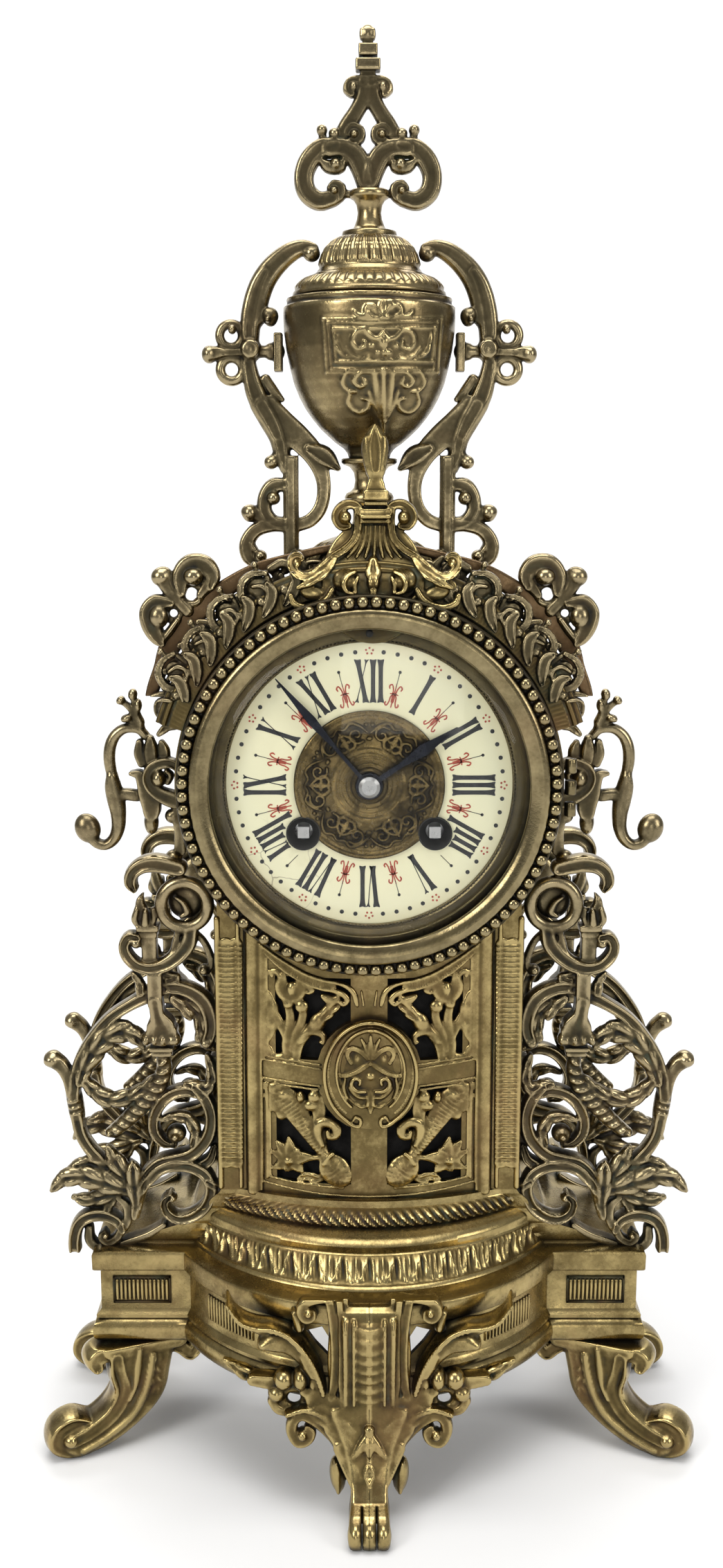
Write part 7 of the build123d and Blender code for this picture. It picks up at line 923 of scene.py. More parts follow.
CAST['urn'] = [
 ('s', {'y':0.25,'h':0.75,'p':2}, [[-14.22,379.79,0.46],[-9.66,379.63,0.46],[-5.14,379.56,0.46],[-0.64,379.56,0.46],[3.87,379.64,0.46],[8.39,379.78,0.46],[12.96,380.01,0.46],[17.61,380.36,0.46],[22.42,380.9,0.46]]),
 ('s', {'y':0.25,'h':0.75,'p':2}, [[22.42,380.9,0.46],[21.91,372.46,0.46],[21.49,364.5,0.46]]),
 ('s', {'y':0.25,'h':0.75,'p':2}, [[21.48,364.65,0.46],[16.92,364.29,0.46],[12.53,364.08,0.46],[8.21,363.94,0.46],[3.94,363.85,0.46],[-0.31,363.81,0.46],[-4.56,363.82,0.46],[-8.82,363.87,0.46],[-13.13,363.98,0.46]]),
 ('s', {'y':0.25,'h':0.75,'p':2}, [[-13.13,363.98,0.46],[-13.66,371.88,0.46],[-14.22,379.79,0.46]]),
 ('s', {'y':0.25,'h':0.75,'p':2}, [[-13.0,378.62,0.33],[-8.75,378.48,0.33],[-4.53,378.42,0.33],[-0.33,378.42,0.33],[3.87,378.47,0.33],[8.09,378.59,0.33],[12.35,378.78,0.33],[16.67,379.06,0.33],[21.12,379.49,0.33]]),
 ('s', {'y':0.25,'h':0.75,'p':2}, [[21.12,379.49,0.33],[20.59,372.3,0.33],[20.12,365.41,0.33]]),
 ('s', {'y':0.25,'h':0.75,'p':2}, [[20.11,365.51,0.33],[15.95,365.23,0.33],[11.89,365.05,0.33],[7.89,364.93,0.33],[3.93,364.86,0.33],[-0.01,364.82,0.33],[-3.95,364.83,0.33],[-7.9,364.88,0.33],[-11.87,364.97,0.33]]),
 ('s', {'y':0.25,'h':0.75,'p':2}, [[-11.87,364.97,0.33],[-12.43,371.79,0.33],[-13.0,378.62,0.33]]),
 ('s', {'y':0.25,'h':0.75,'p':2}, [[-11.24,376.8,0.46],[-7.32,376.72,0.46],[-3.43,376.7,0.46],[0.46,376.73,0.46],[4.34,376.81,0.46],[8.25,376.94,0.46],[12.19,377.12,0.46],[16.18,377.38,0.46],[20.27,377.75,0.46]]),
 ('s', {'y':0.25,'h':0.75,'p':2}, [[20.27,377.75,0.46],[19.87,372.46,0.46],[19.47,367.56,0.46]]),
 ('s', {'y':0.25,'h':0.75,'p':2}, [[19.47,367.72,0.46],[15.6,367.46,0.46],[11.82,367.28,0.46],[8.09,367.15,0.46],[4.39,367.07,0.46],[0.71,367.03,0.46],[-2.96,367.02,0.46],[-6.65,367.05,0.46],[-10.35,367.11,0.46]]),
 ('s', {'y':0.25,'h':0.75,'p':2}, [[-10.35,367.11,0.46],[-10.79,371.96,0.46],[-11.24,376.8,0.46]]),
 ('s', {'y':0.25,'h':1.0,'p':2}, [[4.22,375.46,0.4],[2.48,373.53,0.66],[0.46,374.16,0.66],[-1.55,376.08,0.6],[-4.24,375.46,0.6],[-5.25,372.92,0.6],[-3.57,370.65,0.6],[-1.55,371.28,0.53],[-1.55,372.88,0.4]]),
 ('s', {'y':0.25,'h':0.9,'p':2,'lobes':1,'pitch':2.2,'notch':0.3,'kind':'leaf'}, [[-5.59,368.43,0.4],[-8.3,369.77,0.93],[-9.63,373.02,0.8],[-10.3,375.61,0.4]]),
 ('s', {'y':0.25,'h':0.9,'p':2,'lobes':1,'pitch':2.2,'notch':0.3,'kind':'leaf'}, [[3.17,368.08,0.53],[-0.2,368.39,0.8],[-4.24,369.05,0.8],[-6.94,371.02,0.33]]),
 ('e', {'y':0.3}, [0.47,371.59,0.8,1.0,0.8]),
 ('e', {'y':0.3}, [2.49,369.68,0.66,1.0,0.66]),
 ('s', {'y':0.25,'h':1.0,'p':2}, [[0.45,380.26,0.4],[-1.22,381.23,0.66],[-0.62,383.16,0.66],[1.12,383.29,0.4]]),
 ('s', {'y':0.25,'h':0.8,'p':2}, [[3.8,380.28,0.4],[2.99,383.18,0.6],[3.65,384.8,0.27]]),
 ('s', {'y':0.25,'h':0.9,'p':2}, [[-1.56,380.26,0.33],[-3.96,380.74,0.46],[-4.63,381.78,0.33]]),
 ('s', {'y':0.25,'h':1.0,'p':2}, [[-6.97,363.94,0.53],[-8.34,361.39,0.66],[-6.72,358.76,0.66],[-4.4,358.21,0.53]]),
 ('s', {'y':0.25,'h':1.0,'p':2}, [[-5.63,358.42,0.53],[-6.47,354.87,0.73],[-3.59,352.23,0.73],[-0.43,353.39,0.6],[-0.17,355.47,0.53],[-2.22,356.12,0.4]]),
 ('s', {'y':0.25,'h':1.0,'p':2}, [[-2.9,363.57,0.53],[-4.8,361.65,0.73],[-3.04,359.63,0.66],[-1.27,360.53,0.53],[-1.95,361.95,0.4]]),
 ('s', {'y':0.25,'h':1.1,'p':2,'g':0.2}, [[1.5,363.57,0.66],[2.13,359.36,0.93],[2.99,354.18,0.93],[3.87,349.61,0.6]]),
 ('s', {'y':0.25,'h':0.9,'p':2}, [[-0.18,358.06,0.4],[1.07,354.82,0.66],[3.02,350.92,0.53]]),
 ('s', {'y':0.25,'h':1.0,'p':2}, [[4.22,375.46,0.4],[5.98,373.57,0.66],[8.0,374.26,0.66],[10.02,376.24,0.6],[12.75,375.7,0.6],[13.81,373.18,0.6],[12.12,370.85,0.6],[10.06,371.42,0.53],[10.05,373.03,0.4]]),
 ('s', {'y':0.25,'h':0.9,'p':2,'lobes':1,'pitch':2.2,'notch':0.3,'kind':'leaf'}, [[14.22,368.68,0.4],[17.0,370.12,0.93],[18.35,373.45,0.8],[19.01,376.09,0.4]]),
 ('s', {'y':0.25,'h':0.9,'p':2,'lobes':1,'pitch':2.2,'notch':0.3,'kind':'leaf'}, [[5.34,368.1,0.53],[8.73,368.49,0.8],[12.83,369.27,0.8],[15.57,371.33,0.33]]),
 ('e', {'y':0.3}, [8.02,371.69,0.8,1.0,0.8]),
 ('e', {'y':0.3}, [6.0,369.72,0.66,1.0,0.66]),
 ('s', {'y':0.25,'h':1.0,'p':2}, [[7.96,380.37,0.4],[9.65,381.4,0.66],[9.03,383.31,0.66],[7.28,383.39,0.4]]),
 ('s', {'y':0.25,'h':0.8,'p':2}, [[4.6,380.29,0.4],[5.4,383.21,0.6],[4.72,384.81,0.27]]),
 ('s', {'y':0.25,'h':0.9,'p':2}, [[9.99,380.44,0.33],[12.44,381.0,0.46],[13.12,382.07,0.33]]),
 ('s', {'y':0.25,'h':1.0,'p':2}, [[15.7,364.22,0.53],[17.19,361.7,0.66],[15.54,359.01,0.66],[13.15,358.39,0.53]]),
 ('s', {'y':0.25,'h':1.0,'p':2}, [[14.42,358.64,0.53],[15.38,355.1,0.73],[12.48,352.39,0.73],[9.22,353.48,0.6],[8.89,355.55,0.53],[10.96,356.25,0.4]]),
 ('s', {'y':0.25,'h':1.0,'p':2}, [[11.53,363.73,0.53],[13.51,361.86,0.73],[11.73,359.78,0.66],[9.92,360.64,0.53],[10.59,362.09,0.4]]),
 ('s', {'y':0.25,'h':1.1,'p':2,'g':0.2}, [[7.07,363.62,0.66],[6.5,359.41,0.93],[5.74,354.21,0.93],[4.98,349.62,0.6]]),
 ('s', {'y':0.25,'h':0.9,'p':2}, [[8.85,358.15,0.4],[7.66,354.88,0.66],[5.79,350.94,0.53]]),
 ('s', {'y':0.25,'h':1.3,'p':2}, [[4.28,364.55,0.66],[4.33,356.78,0.8],[4.26,350.93,0.8],[4.46,347.32,0.66],[4.62,345.93,0.53]]),
 ('e', {'y':0.2}, [4.23,372.9,1.33,1.2,1.86]),
 ('e', {'y':0.2}, [4.78,369.7,1.06,1.2,1.06]),
 ('e', {'y':0.3}, [6.27,383.56,1.19,1.1,1.59]),
]
M_CAST = brass("cast_bronze", bright=(0.345, 0.280, 0.160), mid=(0.108, 0.087, 0.048), dark=(0.009, 0.008, 0.005), green=0.28, grime_and_shade=0.55, rough=(0.20, 0.55))
M_GILT = brass("gilt_brass", bright=(0.420, 0.325, 0.140), mid=(0.150, 0.110, 0.044), dark=(0.012, 0.009, 0.004), brown=(0.27, 0.135, 0.07), tarn=0.5, green=0.30, grime_and_shade=0.48, rough=(0.20, 0.52))
M_BEZ = brass("bezel_brass", bright=(0.290, 0.235, 0.125), mid=(0.110, 0.086, 0.042), dark=(0.012, 0.010, 0.006), green=0.05, grime_and_shade=0.45, rough=(0.17, 0.42), tarn=0.3, cavs=1.6)
M_ARCH = brass("arch_brown", bright=(0.16, 0.105, 0.055), mid=(0.075, 0.045, 0.022), dark=(0.012, 0.008, 0.005), green=0.12, grime_and_shade=0.55, rough=(0.28, 0.6), tarn=0.5)
M_MOV = brass("movement_brass", bright=(0.74, 0.57, 0.27), mid=(0.60, 0.44, 0.19), dark=(0.12, 0.08, 0.035), green=0.0, grime_and_shade=0.28, rough=(0.22, 0.42), tarn=0.1)
M_BELL = brass("bell_metal", bright=(0.70, 0.62, 0.46), mid=(0.50, 0.43, 0.30), dark=(0.14, 0.11, 0.07), green=0.0, grime_and_shade=0.3, rough=(0.2, 0.4), tarn=0.1)


def metal(name, a, b, r0, r1, scale=300, bump=0.12):
    M = Mat(name)
    f = M.noise(scale, 4, 0.6)
    g = M.noise(45, 3, 0.5)
    M.link(M.ramp(M.math("ADD", M.math("MULTIPLY", f, 0.5), M.math("MULTIPLY", g, 0.5)), [(0.35, a), (0.65, b)]), M.b.inputs["Base Color"])
    M.set(Metallic=1.0)
    M.link(M.mapr(f, 0.3, 0.7, r0, r1), M.b.inputs["Roughness"])
    M.bump(f, bump, 0.0001)
    return M.m


M_STEEL = metal("steel", (0.36, 0.36, 0.37), (0.56, 0.56, 0.57), 0.22, 0.42)
M_NUT = metal("worn_nut_steel", (0.30, 0.29, 0.28), (0.66, 0.66, 0.66), 0.18, 0.5, 500, 0.5)
M_BLUE = metal("blued_steel", (0.012, 0.013, 0.017), (0.030, 0.033, 0.045), 0.16, 0.32)


def cloth():
    M = Mat("black_cloth")
    sep = M.n("ShaderNodeSeparateXYZ")
    M.link(M.co, sep.inputs[0])
    a = M.math("SINE", M.math("MULTIPLY", sep.outputs["X"], 9000.0))
    b = M.math("SINE", M.math("MULTIPLY", sep.outputs["Z"], 9000.0))
    f = M.math("MULTIPLY_ADD", M.math("MULTIPLY", a, b), 0.25, M.noise(400, 3))
    M.link(M.ramp(f, [(0.2, (0.004, 0.004, 0.004)), (0.8, (0.016, 0.015, 0.014))]), M.b.inputs["Base Color"])
    M.set(Roughness=0.95)
    M.b.inputs["Specular IOR Level"].default_value = 0.1
    M.bump(f, 0.4, 0.0002)
    return M.m


M_CLOTH = cloth()


def enamel():
    """Cream enamel, a little darker to the rim, with hairline cracks and a brown stain near the lower left."""
    M = Mat("cream_enamel")
    sep = M.n("ShaderNodeSeparateXYZ")
    M.link(M.co, sep.inputs[0])
    z = M.math("SUBTRACT", sep.outputs["Z"], ZD * 0.001)
    r = M.math("POWER", M.math("ADD", M.math("MULTIPLY", sep.outputs["X"], sep.outputs["X"]), M.math("MULTIPLY", z, z)), 0.5)
    base = M.ramp(M.mapr(M.math("ADD", r, M.math("MULTIPLY", M.noise(60, 3), 0.004)), 0.024, 0.050), [(0.0, (0.93, 0.87, 0.58)), (0.25, (0.96, 0.92, 0.64)), (0.72, (0.96, 0.93, 0.66)), (0.93, (0.86, 0.80, 0.52))])
    v = M.n("ShaderNodeTexVoronoi")
    v.feature = "DISTANCE_TO_EDGE"
    v.inputs["Scale"].default_value = 75
    nz = M.noise(90, 3, 0.6, out="Color")
    co = M.n("ShaderNodeVectorMath")
    co.operation = "MULTIPLY_ADD"
    M.link(nz, co.inputs[0])
    co.inputs[1].default_value = (0.008, 0.008, 0.008)
    M.link(M.co, co.inputs[2])
    M.link(co.outputs[0], v.inputs["Vector"])
    crack = M.mapr(v.outputs["Distance"], 0.0, 0.022, 1.0, 0.0)
    dx = M.math("ADD", sep.outputs["X"], 0.031)
    dz = M.math("ADD", z, 0.030)
    near = M.mapr(M.math("POWER", M.math("ADD", M.math("MULTIPLY", dx, dx), M.math("MULTIPLY", dz, dz)), 0.5), 0.006, 0.020, 1.0, 0.0)
    col = M.mix(M.math("MULTIPLY", M.math("MULTIPLY", crack, near), 0.75), base, (0.20, 0.15, 0.08))
    stain = M.mapr(M.noise(110, 4, 0.6), 0.55, 0.72, 0.0, 0.35)
    col = M.mix(M.math("MULTIPLY", stain, near), col, (0.45, 0.36, 0.18))
    M.link(col, M.b.inputs["Base Color"])
    M.set(Roughness=0.16)
    M.b.inputs["Coat Weight"].default_value = 0.4
    M.b.inputs["Coat Roughness"].default_value = 0.06
    M.bump(M.noise(70, 2), 0.08, 0.0004)
    return M.m


M_ENAM = enamel()


def paint(name, a, b, rough=0.35):
    M = Mat(name)
    M.link(M.ramp(M.noise(700, 4, 0.6), [(0.35, a), (0.7, b)]), M.b.inputs["Base Color"])
    M.set(Roughness=rough)
    return M.m


M_BLACK = paint("black_numeral", (0.006, 0.007, 0.009), (0.028, 0.030, 0.036))
M_RED = paint("red_fleuron", (0.36, 0.045, 0.022), (0.55, 0.10, 0.05))
# near-black paint for the insides of holes: painted shade
M_HOLE_SHADE = paint("painted_hole_shade", (0.003, 0.003, 0.003), (0.010, 0.009, 0.008), 0.6)


def glass():
    M = Mat("clear_glass")
    gl = M.n("ShaderNodeBsdfTransparent")
    gs = M.n("ShaderNodeBsdfGlossy")
    fr = M.n("ShaderNodeFresnel")
    fr.inputs["IOR"].default_value = 1.45
    mx = M.n("ShaderNodeMixShader")
    f = M.noise(30, 3)
    M.link(M.ramp(f, [(0.3, (0.955, 0.96, 0.95)), (0.7, (0.985, 0.985, 0.975))]), gl.inputs["Color"])
    gs.inputs["Roughness"].default_value = 0.03
    M.link(M.math("MULTIPLY_ADD", fr.outputs[0], 0.3, 0.0, clamp=True), mx.inputs[0])
    M.link(gl.outputs[0], mx.inputs[1])
    M.link(gs.outputs[0], mx.inputs[2])
    M.link(mx.outputs[0], M.out.inputs[0])
    return M.m


M_GLASS = glass()
SLOT = {"gilt_brass": M_GILT, "bronze_ornament": M_CAST, "black_cloth": M_CLOTH, "bezel_brass": M_BEZ, "clear_glass": M_GLASS,
        "cream_enamel": M_ENAM, "movement_brass": M_MOV, "steel": M_STEEL, "bell_metal": M_BELL, "blued_steel": M_BLUE}
NODE_SLOT = {"bell": "bell_metal", "grille_cloth": "black_cloth", "bezel_glass": "clear_glass", "enamel_dial": "cream_enamel",
             "hour_hand": "blued_steel", "minute_hand": "blued_steel"}
for n in ("bezel", "dial_centre", "dial_surround"):
    NODE_SLOT[n] = "bezel_brass"
for n in ("arch_band", "crest", "finial", "front_feet", "hooks", "rear_feet", "side_scrolls_front", "side_scrolls_rear", "urn_supports"):
    NODE_SLOT[n] = "bronze_ornament"
for n in ("back_cocks", "back_plate", "cannon_pinion", "centre_wheel", "dial_plate", "escape_wheel", "front_plate", "going_barrel", "hour_wheel",
          "intermediate_wheel", "minute_wheel", "movement_straps", "pendulum_bob", "plate_pillars", "strike_barrel", "strike_fly",
          "strike_pin_wheel", "strike_second_wheel", "third_wheel"):
    NODE_SLOT[n] = "movement_brass"
for n in ("anchor_and_crutch", "going_click", "going_mainspring", "going_winding_arbor", "hammer", "hand_nut", "pendulum_rod",
          "regulator_arbor", "strike_click", "strike_mainspring", "strike_winding_arbor", "urn_bolt"):
    NODE_SLOT[n] = "steel"
for n, o in NODES.items():
    o.data.materials.clear()
    o.data.materials.append(SLOT[NODE_SLOT.get(n, "gilt_brass")])
    o.data.polygons.foreach_set("use_smooth", [True] * len(o.data.polygons))
    o.data.set_sharp_from_angle(angle=radians(32))


def scroll_casting():
    F = Field(-110, -46, -3.6, 11, 70, 212, 0.48)
    sculpt(F, CAST["scroll"])
    return F.arrays()


def right(arr):
    return (*flipm(arr[0], arr[1], arr[2]), arr[3])


arr = scroll_casting()
place("side_scroll_front_left_casting", arr, "case", "side_scrolls_front", M_CAST)
place("side_scroll_front_right_casting", right(arr), "case", None, M_CAST)
# the rear pair is the same casting turned to show its face to the back
v, t, q, c = arr
rv = v.copy()
rv[:, 1] = 47.0 - v[:, 1]
rear = (rv, t[:, ::-1], q[:, ::-1], c)
place("side_scroll_rear_left_casting", rear, "case", "side_scrolls_rear", M_CAST)
place("side_scroll_rear_right_casting", right(rear), "case", None, M_CAST)



# ------------------------------------------------------------------ pierced castings of the upper part
def cast_of(lo, hi, v, *keys, extra=None, grow=1.0, plain=False):
    F = Field(lo[0], hi[0], lo[1], hi[1], lo[2], hi[2], v)
    for k in keys:
        sculpt(F, CAST[k], grow=grow, plain=plain)
    if extra:
        extra(F)
    return F.arrays()


def crest():
    """The crest stands forward over the moulding at its lower end and leans back to the urn's foot."""
    v, t, q, c = cast_of((-31, -8.0, 279), (31, 5.2, 350), 0.40, "crest_b", "crest_a", grow=1.08)
    f = np.clip((309.0 - v[:, 2]) / 9.0, 0, 1)
    v = v.copy()
    v[:, 1] -= 7.0 * f * f * (3 - 2 * f) * np.clip((4.6 - v[:, 1]) / 1.6, 0, 1)
    return v, t, q, c


place("urn_supports_casting", both(cast_of((-56, 15.8, 299), (-7, 28.0, 409), 0.42, "support_a", "support_b", grow=1.14, plain=True)), "case", "urn_supports", M_CAST)
place("finial_casting", cast_of((-26, 16.5, 396), (26, 27.5, 470.0), 0.40, "finial", grow=1.1, plain=True), "case", "finial", M_CAST)
place("crest_casting", crest(), "case", "crest", M_GILT)
place("hooks_casting", both(cast_of((-99, 0.5, 202), (-57, 12.5, 270), 0.42, "hook", grow=1.15)), "case", "hooks", M_CAST)


def arch_band():
    F = Field(-84, 1.0, -10.4, 12.0, 262, 317.5, 0.46)
    rows = []
    for a, ro in ((14, 76.0), (22, 78.0), (28, 78.9), (34, 80.9), (45, 81.0), (53, 79.9), (61.5, 78.9), (70, 77.2), (80, 76.6), (91, 76.6)):
        ri = 74.0
        r, w = (ro + ri) / 2, (ro - ri) / 2
        rows.append([-r * cos(radians(a)), ZD + r * sin(radians(a)), w])
    F.stroke([[x, z, w * 0.4] for x, z, w in rows], y=8.6, h=1.0, kind="flat", soft=0.3)
    B = Field(-84, 1.0, 5.6, 11.4, 262, 317.5, 0.44)
    B.stroke(rows, y=8.3, h=1.7, kind="flat", soft=0.5)
    # openwork between the band and the moulding: a running stem with curls
    for s in (0, 1):
        pts = []
        for i in range(0, 27):
            a = 16 + 2.75 * i
            r = 71.2 + 1.5 * sin(i * 1.25 + s * pi)
            pts.append([-r * cos(radians(a)), ZD + r * sin(radians(a)), 0.85])
        F.stroke(pts, y=5.6 + s, h=1.3, k=0.3)
    for i, a in enumerate((20, 27, 34.5, 42, 49.5, 57, 64, 71)):
        c, q = cos(radians(a)), sin(radians(a))
        F.stroke([[-69.0 * c, ZD + 69.0 * q, 1.3], [-72 * cos(radians(a + 2)), ZD + 72 * sin(radians(a + 2)), 1.7], [-75 * cos(radians(a + 1)), ZD + 75 * sin(radians(a + 1)), 1.0]], y=5.4, h=1.8, k=0.3, g=0.3)
        F.ell(-72.6 * cos(radians(a - 2.6)), 5.2, ZD + 72.6 * sin(radians(a - 2.6)), 1.3, 1.5, 1.3)
    # the curl at the foot of the crest
    F.stroke([[-31.5, 303.5, 1.4], [-27.5, 305.4, 1.5], [-24.2, 303.2, 1.4], [-24.6, 299.6, 1.3], [-27.6, 299.2, 1.2], [-28.2, 301.4, 1.0]], y=4.5, h=1.9, g=0.3)
    sculpt(F, CAST["trefoil"], grow=1.12, plain=True)
    buds = CAST["buds"]
    for i in range(0, len(buds), 7):
        cx, cz = buds[i][2][:2]
        ux, uz = cx / hypot(cx, cz - ZD), (cz - ZD) / hypot(cx, cz - ZD)
        grp = []
        for kind, o, r in buds[i:i + 7]:
            if kind == "s":
                r = [[cx - 1.0 * ux + 1.32 * (q[0] - cx), cz - 1.0 * uz + 1.32 * (q[1] - cz), 1.3 * q[2]] for q in r]
            else:
                r = [cx - 1.0 * ux + 1.32 * (r[0] - cx), cz - 1.0 * uz + 1.32 * (r[1] - cz), 1.25 * r[2], r[3], 1.25 * r[4]]
            grp.append((kind, o, r))
        sculpt(F, grp, dy=-6.4)
        F.disc(cx, -6.0, 6.5, cz, 2.4)
    # leaves that run over the moulding from bud to bud
    for i in range(8):
        a = 17.5 + 6.9 * i
        pts = []
        for da, r, w in ((-0.4, 63.4, 0.8), (1.2, 64.4, 1.7), (3.2, 66.2, 2.3), (4.9, 69.0, 2.0), (4.6, 71.4, 1.0)):
            pts.append([-r * cos(radians(a + da)), ZD + r * sin(radians(a + da)), w])
        F.stroke(pts, y=-6.0, h=2.6, g=0.45, gw=0.4, rim=0.2)
        F.ell(-67.6 * cos(radians(a + 0.9)), -5.6, ZD + 67.6 * sin(radians(a + 0.9)), 1.7, 2.2, 1.7)
    return F.arrays(), B.arrays()


band, rim = arch_band()
place("arch_band_rim", both(rim), "case", None, M_ARCH)
place("arch_band_casting", both(band), "case", "arch_band", M_CAST)


# ------------------------------------------------------------------ turned work
def lathe(prof, n=360, axis="y", c=(0.0, ZD), closed=True, disp=None, cav=None):
    """prof rows are radius and place along the axis; c is x and z of a y axis, or x and y of a z axis."""
    p = np.array(prof, float)
    m = len(p)
    th = 2 * pi * np.arange(n) / n
    R = np.repeat(p[:, 0][:, None], n, 1)
    A = np.repeat(p[:, 1][:, None], n, 1)
    T = np.repeat(th[None, :], m, 0)
    if disp is not None:
        dR, dA = disp(R, A, T)
        R, A = R + dR, A + dA
    if axis == "y":
        V = np.stack([c[0] + R * np.cos(T), A, c[1] + R * np.sin(T)], -1)
    else:
        V = np.stack([c[0] + R * np.cos(T), c[1] + R * np.sin(T), A], -1)
    V = V.reshape(-1, 3)
    i = np.arange(m if closed else m - 1)[:, None]
    j = np.arange(n)[None, :]
    i2 = (i + 1) % m
    j2 = (j + 1) % n
    Q = np.stack([i * n + j + 0 * i2, i2 * n + j, i2 * n + j2, i * n + j2], -1).reshape(-1, 4)
    w = np.full((m, n), 0.12) if cav is None else np.repeat(np.asarray(cav, float)[:, None], n, 1)
    if disp is not None and cav is None:
        w = 0.1 + (dR if axis == "z" else -dA)
    return outward((V, np.zeros((0, 3), int), Q, w.reshape(-1)))


def outward(arr):
    v, t, q, c = arr
    f = np.vstack([t, q[:, [0, 1, 2]], q[:, [0, 2, 3]]])
    a, b, d = v[f[:, 0]], v[f[:, 1]], v[f[:, 2]]
    vol = np.einsum("ij,ij->i", a, np.cross(b, d)).sum()
    return arr if vol > 0 else (v, t[:, ::-1], q[:, ::-1], c)


def caps(prof):
    """Ends a profile that touches the axis with a tiny radius, so that the mesh stays a closed ring."""
    return [(max(r, 0.02), a) for r, a in prof]


def dense(prof, d=0.7):
    out = []
    for i in range(len(prof)):
        a, b = prof[i], prof[(i + 1) % len(prof)]
        n = max(1, int(hypot(b[0] - a[0], b[1] - a[1]) / d))
        for k in range(n):
            out.append((a[0] + (b[0] - a[0]) * k / n, a[1] + (b[1] - a[1]) * k / n))
    return out


def soft(prof, r=0.25):
    """Takes the sharp corners off a closed profile."""
    out, n = [], len(prof)
    for i in range(n):
        p, a, b = np.array(prof[i]), np.array(prof[i - 1]), np.array(prof[(i + 1) % n])
        da, db = a - p, b - p
        la, lb = np.linalg.norm(da), np.linalg.norm(db)
        q = min(r, 0.4 * la, 0.4 * lb)
        A, B = p + da / la * q, p + db / lb * q
        out += [tuple(A), tuple(0.25 * A + 0.5 * p + 0.25 * B), tuple(B)]
    return out


def ball(c, r, n=14, m=8, sy=1.0):
    th = 2 * pi * np.arange(n) / n
    V = [np.array([[0, 0, r]])]
    for i in range(1, m):
        a = pi * i / m
        V.append(np.stack([r * sin(a) * np.cos(th), r * sin(a) * np.sin(th), np.full(n, r * cos(a))], -1))
    V.append(np.array([[0, 0, -r]]))
    V = np.vstack(V)
    V[:, 1] *= sy
    T = [(0, 1 + j, 1 + (j + 1) % n) for j in range(n)]
    e = len(V) - 1
    T += [(e, 1 + (m - 2) * n + (j + 1) % n, 1 + (m - 2) * n + j) for j in range(n)]
    Q = [(1 + i * n + j, 1 + (i + 1) * n + j, 1 + (i + 1) * n + (j + 1) % n, 1 + i * n + (j + 1) % n) for i in range(m - 2) for j in range(n)]
    return V + np.array(c), np.array(T), np.array(Q), np.full(len(V), 0.35)


# bezel with its ring of 88 beads
bez = [(50.6, -14.4), (50.6, -15.3), (51.0, -15.9), (52.2, -16.6), (53.4, -17.0), (54.6, -17.25), (55.8, -17.1), (56.7, -16.6), (57.05, -15.8), (57.1, -14.2),
       (57.9, -13.5), (59.7, -13.5), (60.4, -14.4), (61.0, -14.2), (61.25, -13.6), (61.25, -8.7), (57.4, -8.7), (57.4, -10.8), (53.6, -11.4), (53.6, -14.4)]
parts = [lathe(soft(bez, 0.3), 360, cav=None)]
# the step under and behind the ring of beads is marked deep so the brass takes its dark colour there: painted shade
parts[0] = (parts[0][0], parts[0][1], parts[0][2], np.where((np.hypot(parts[0][0][:, 0], parts[0][0][:, 2] - ZD) > 57.0) & (parts[0][0][:, 1] > -14.9), -0.5, 0.15))
for i in range(88):
    a = 2 * pi * (i + 0.5) / 88
    parts.append(ball((58.9 * cos(a), -15.1, ZD + 58.9 * sin(a)), 1.98, sy=0.95))
for z in (-7.0, 0.0, 7.0):
    kn = lathe(soft([(0.05, 0), (1.9, 0), (1.9, 4.6), (0.05, 4.6)], 0.4), 20, "z", (63.9, -10.0), cav=None)
    v = kn[0].copy(); v[:, 2] += ZD + z - 2.3
    parts.append((v, kn[1], kn[2], kn[3]))
v, t, q, c = ball((0, 0, 0), 1.0)
place("bezel_turned", join_arrays(parts), "bezel_door", "bezel", M_BEZ)

# glass with a ground bevel near its rim
gp = []
for r in np.linspace(0.02, 47.0, 24):
    gp.append((r, -15.2 - 0.6 + 3.2 * (r / 53.3) ** 2 * 0.75))
e0 = gp[-1][1]
gp += [(47.4, e0 + 0.25), (51.5, e0 + 1.5), (53.3, e0 + 1.9), (53.3, e0 + 2.6)]
inner = [(r, a + 1.3) for r, a in gp[:24]][::-1]
gp += [(52.6, e0 + 2.6), (48.0, e0 + 1.6)] + inner
place("bezel_glass_lens", lathe(gp, 240), "bezel_door", "bezel_glass", M_GLASS)

# surround: a stepped ring with a fine beaded edge next to the enamel
sur = [(45.7, -6.5), (46.0, -7.1), (46.6, -7.1), (47.3, -7.6), (49.8, -7.9), (50.1, -8.3), (54.5, -8.5), (60.0, -8.4), (60.0, -6.4), (52.0, -6.2)]
parts = [lathe(soft(sur, 0.2), 300)]
for i in range(240):
    a = 2 * pi * i / 240
    parts.append(ball((46.35 * cos(a), -7.2, ZD + 46.35 * sin(a)), 0.42, 7, 4))
place("dial_surround_turned", join_arrays(parts), "case", "dial_surround", M_BEZ)


# moulding round the drum: a hatched flat band, then two ridges
def hatch(R, A, T):
    m = np.clip((R - 62.0) / 0.7, 0, 1) * np.clip((66.6 - R) / 0.6, 0, 1) * (A < -2)
    w = 0.5 + 0.5 * np.cos(300 * T + 0.55 * (R - 62) + 1.3 * np.sin(23 * T))
    fine = 0.35 * np.cos(7 * T + 3 * np.sin(3 * T))
    return 0 * R, m * 0.14 * (w ** 1.5) * (0.8 + fine)


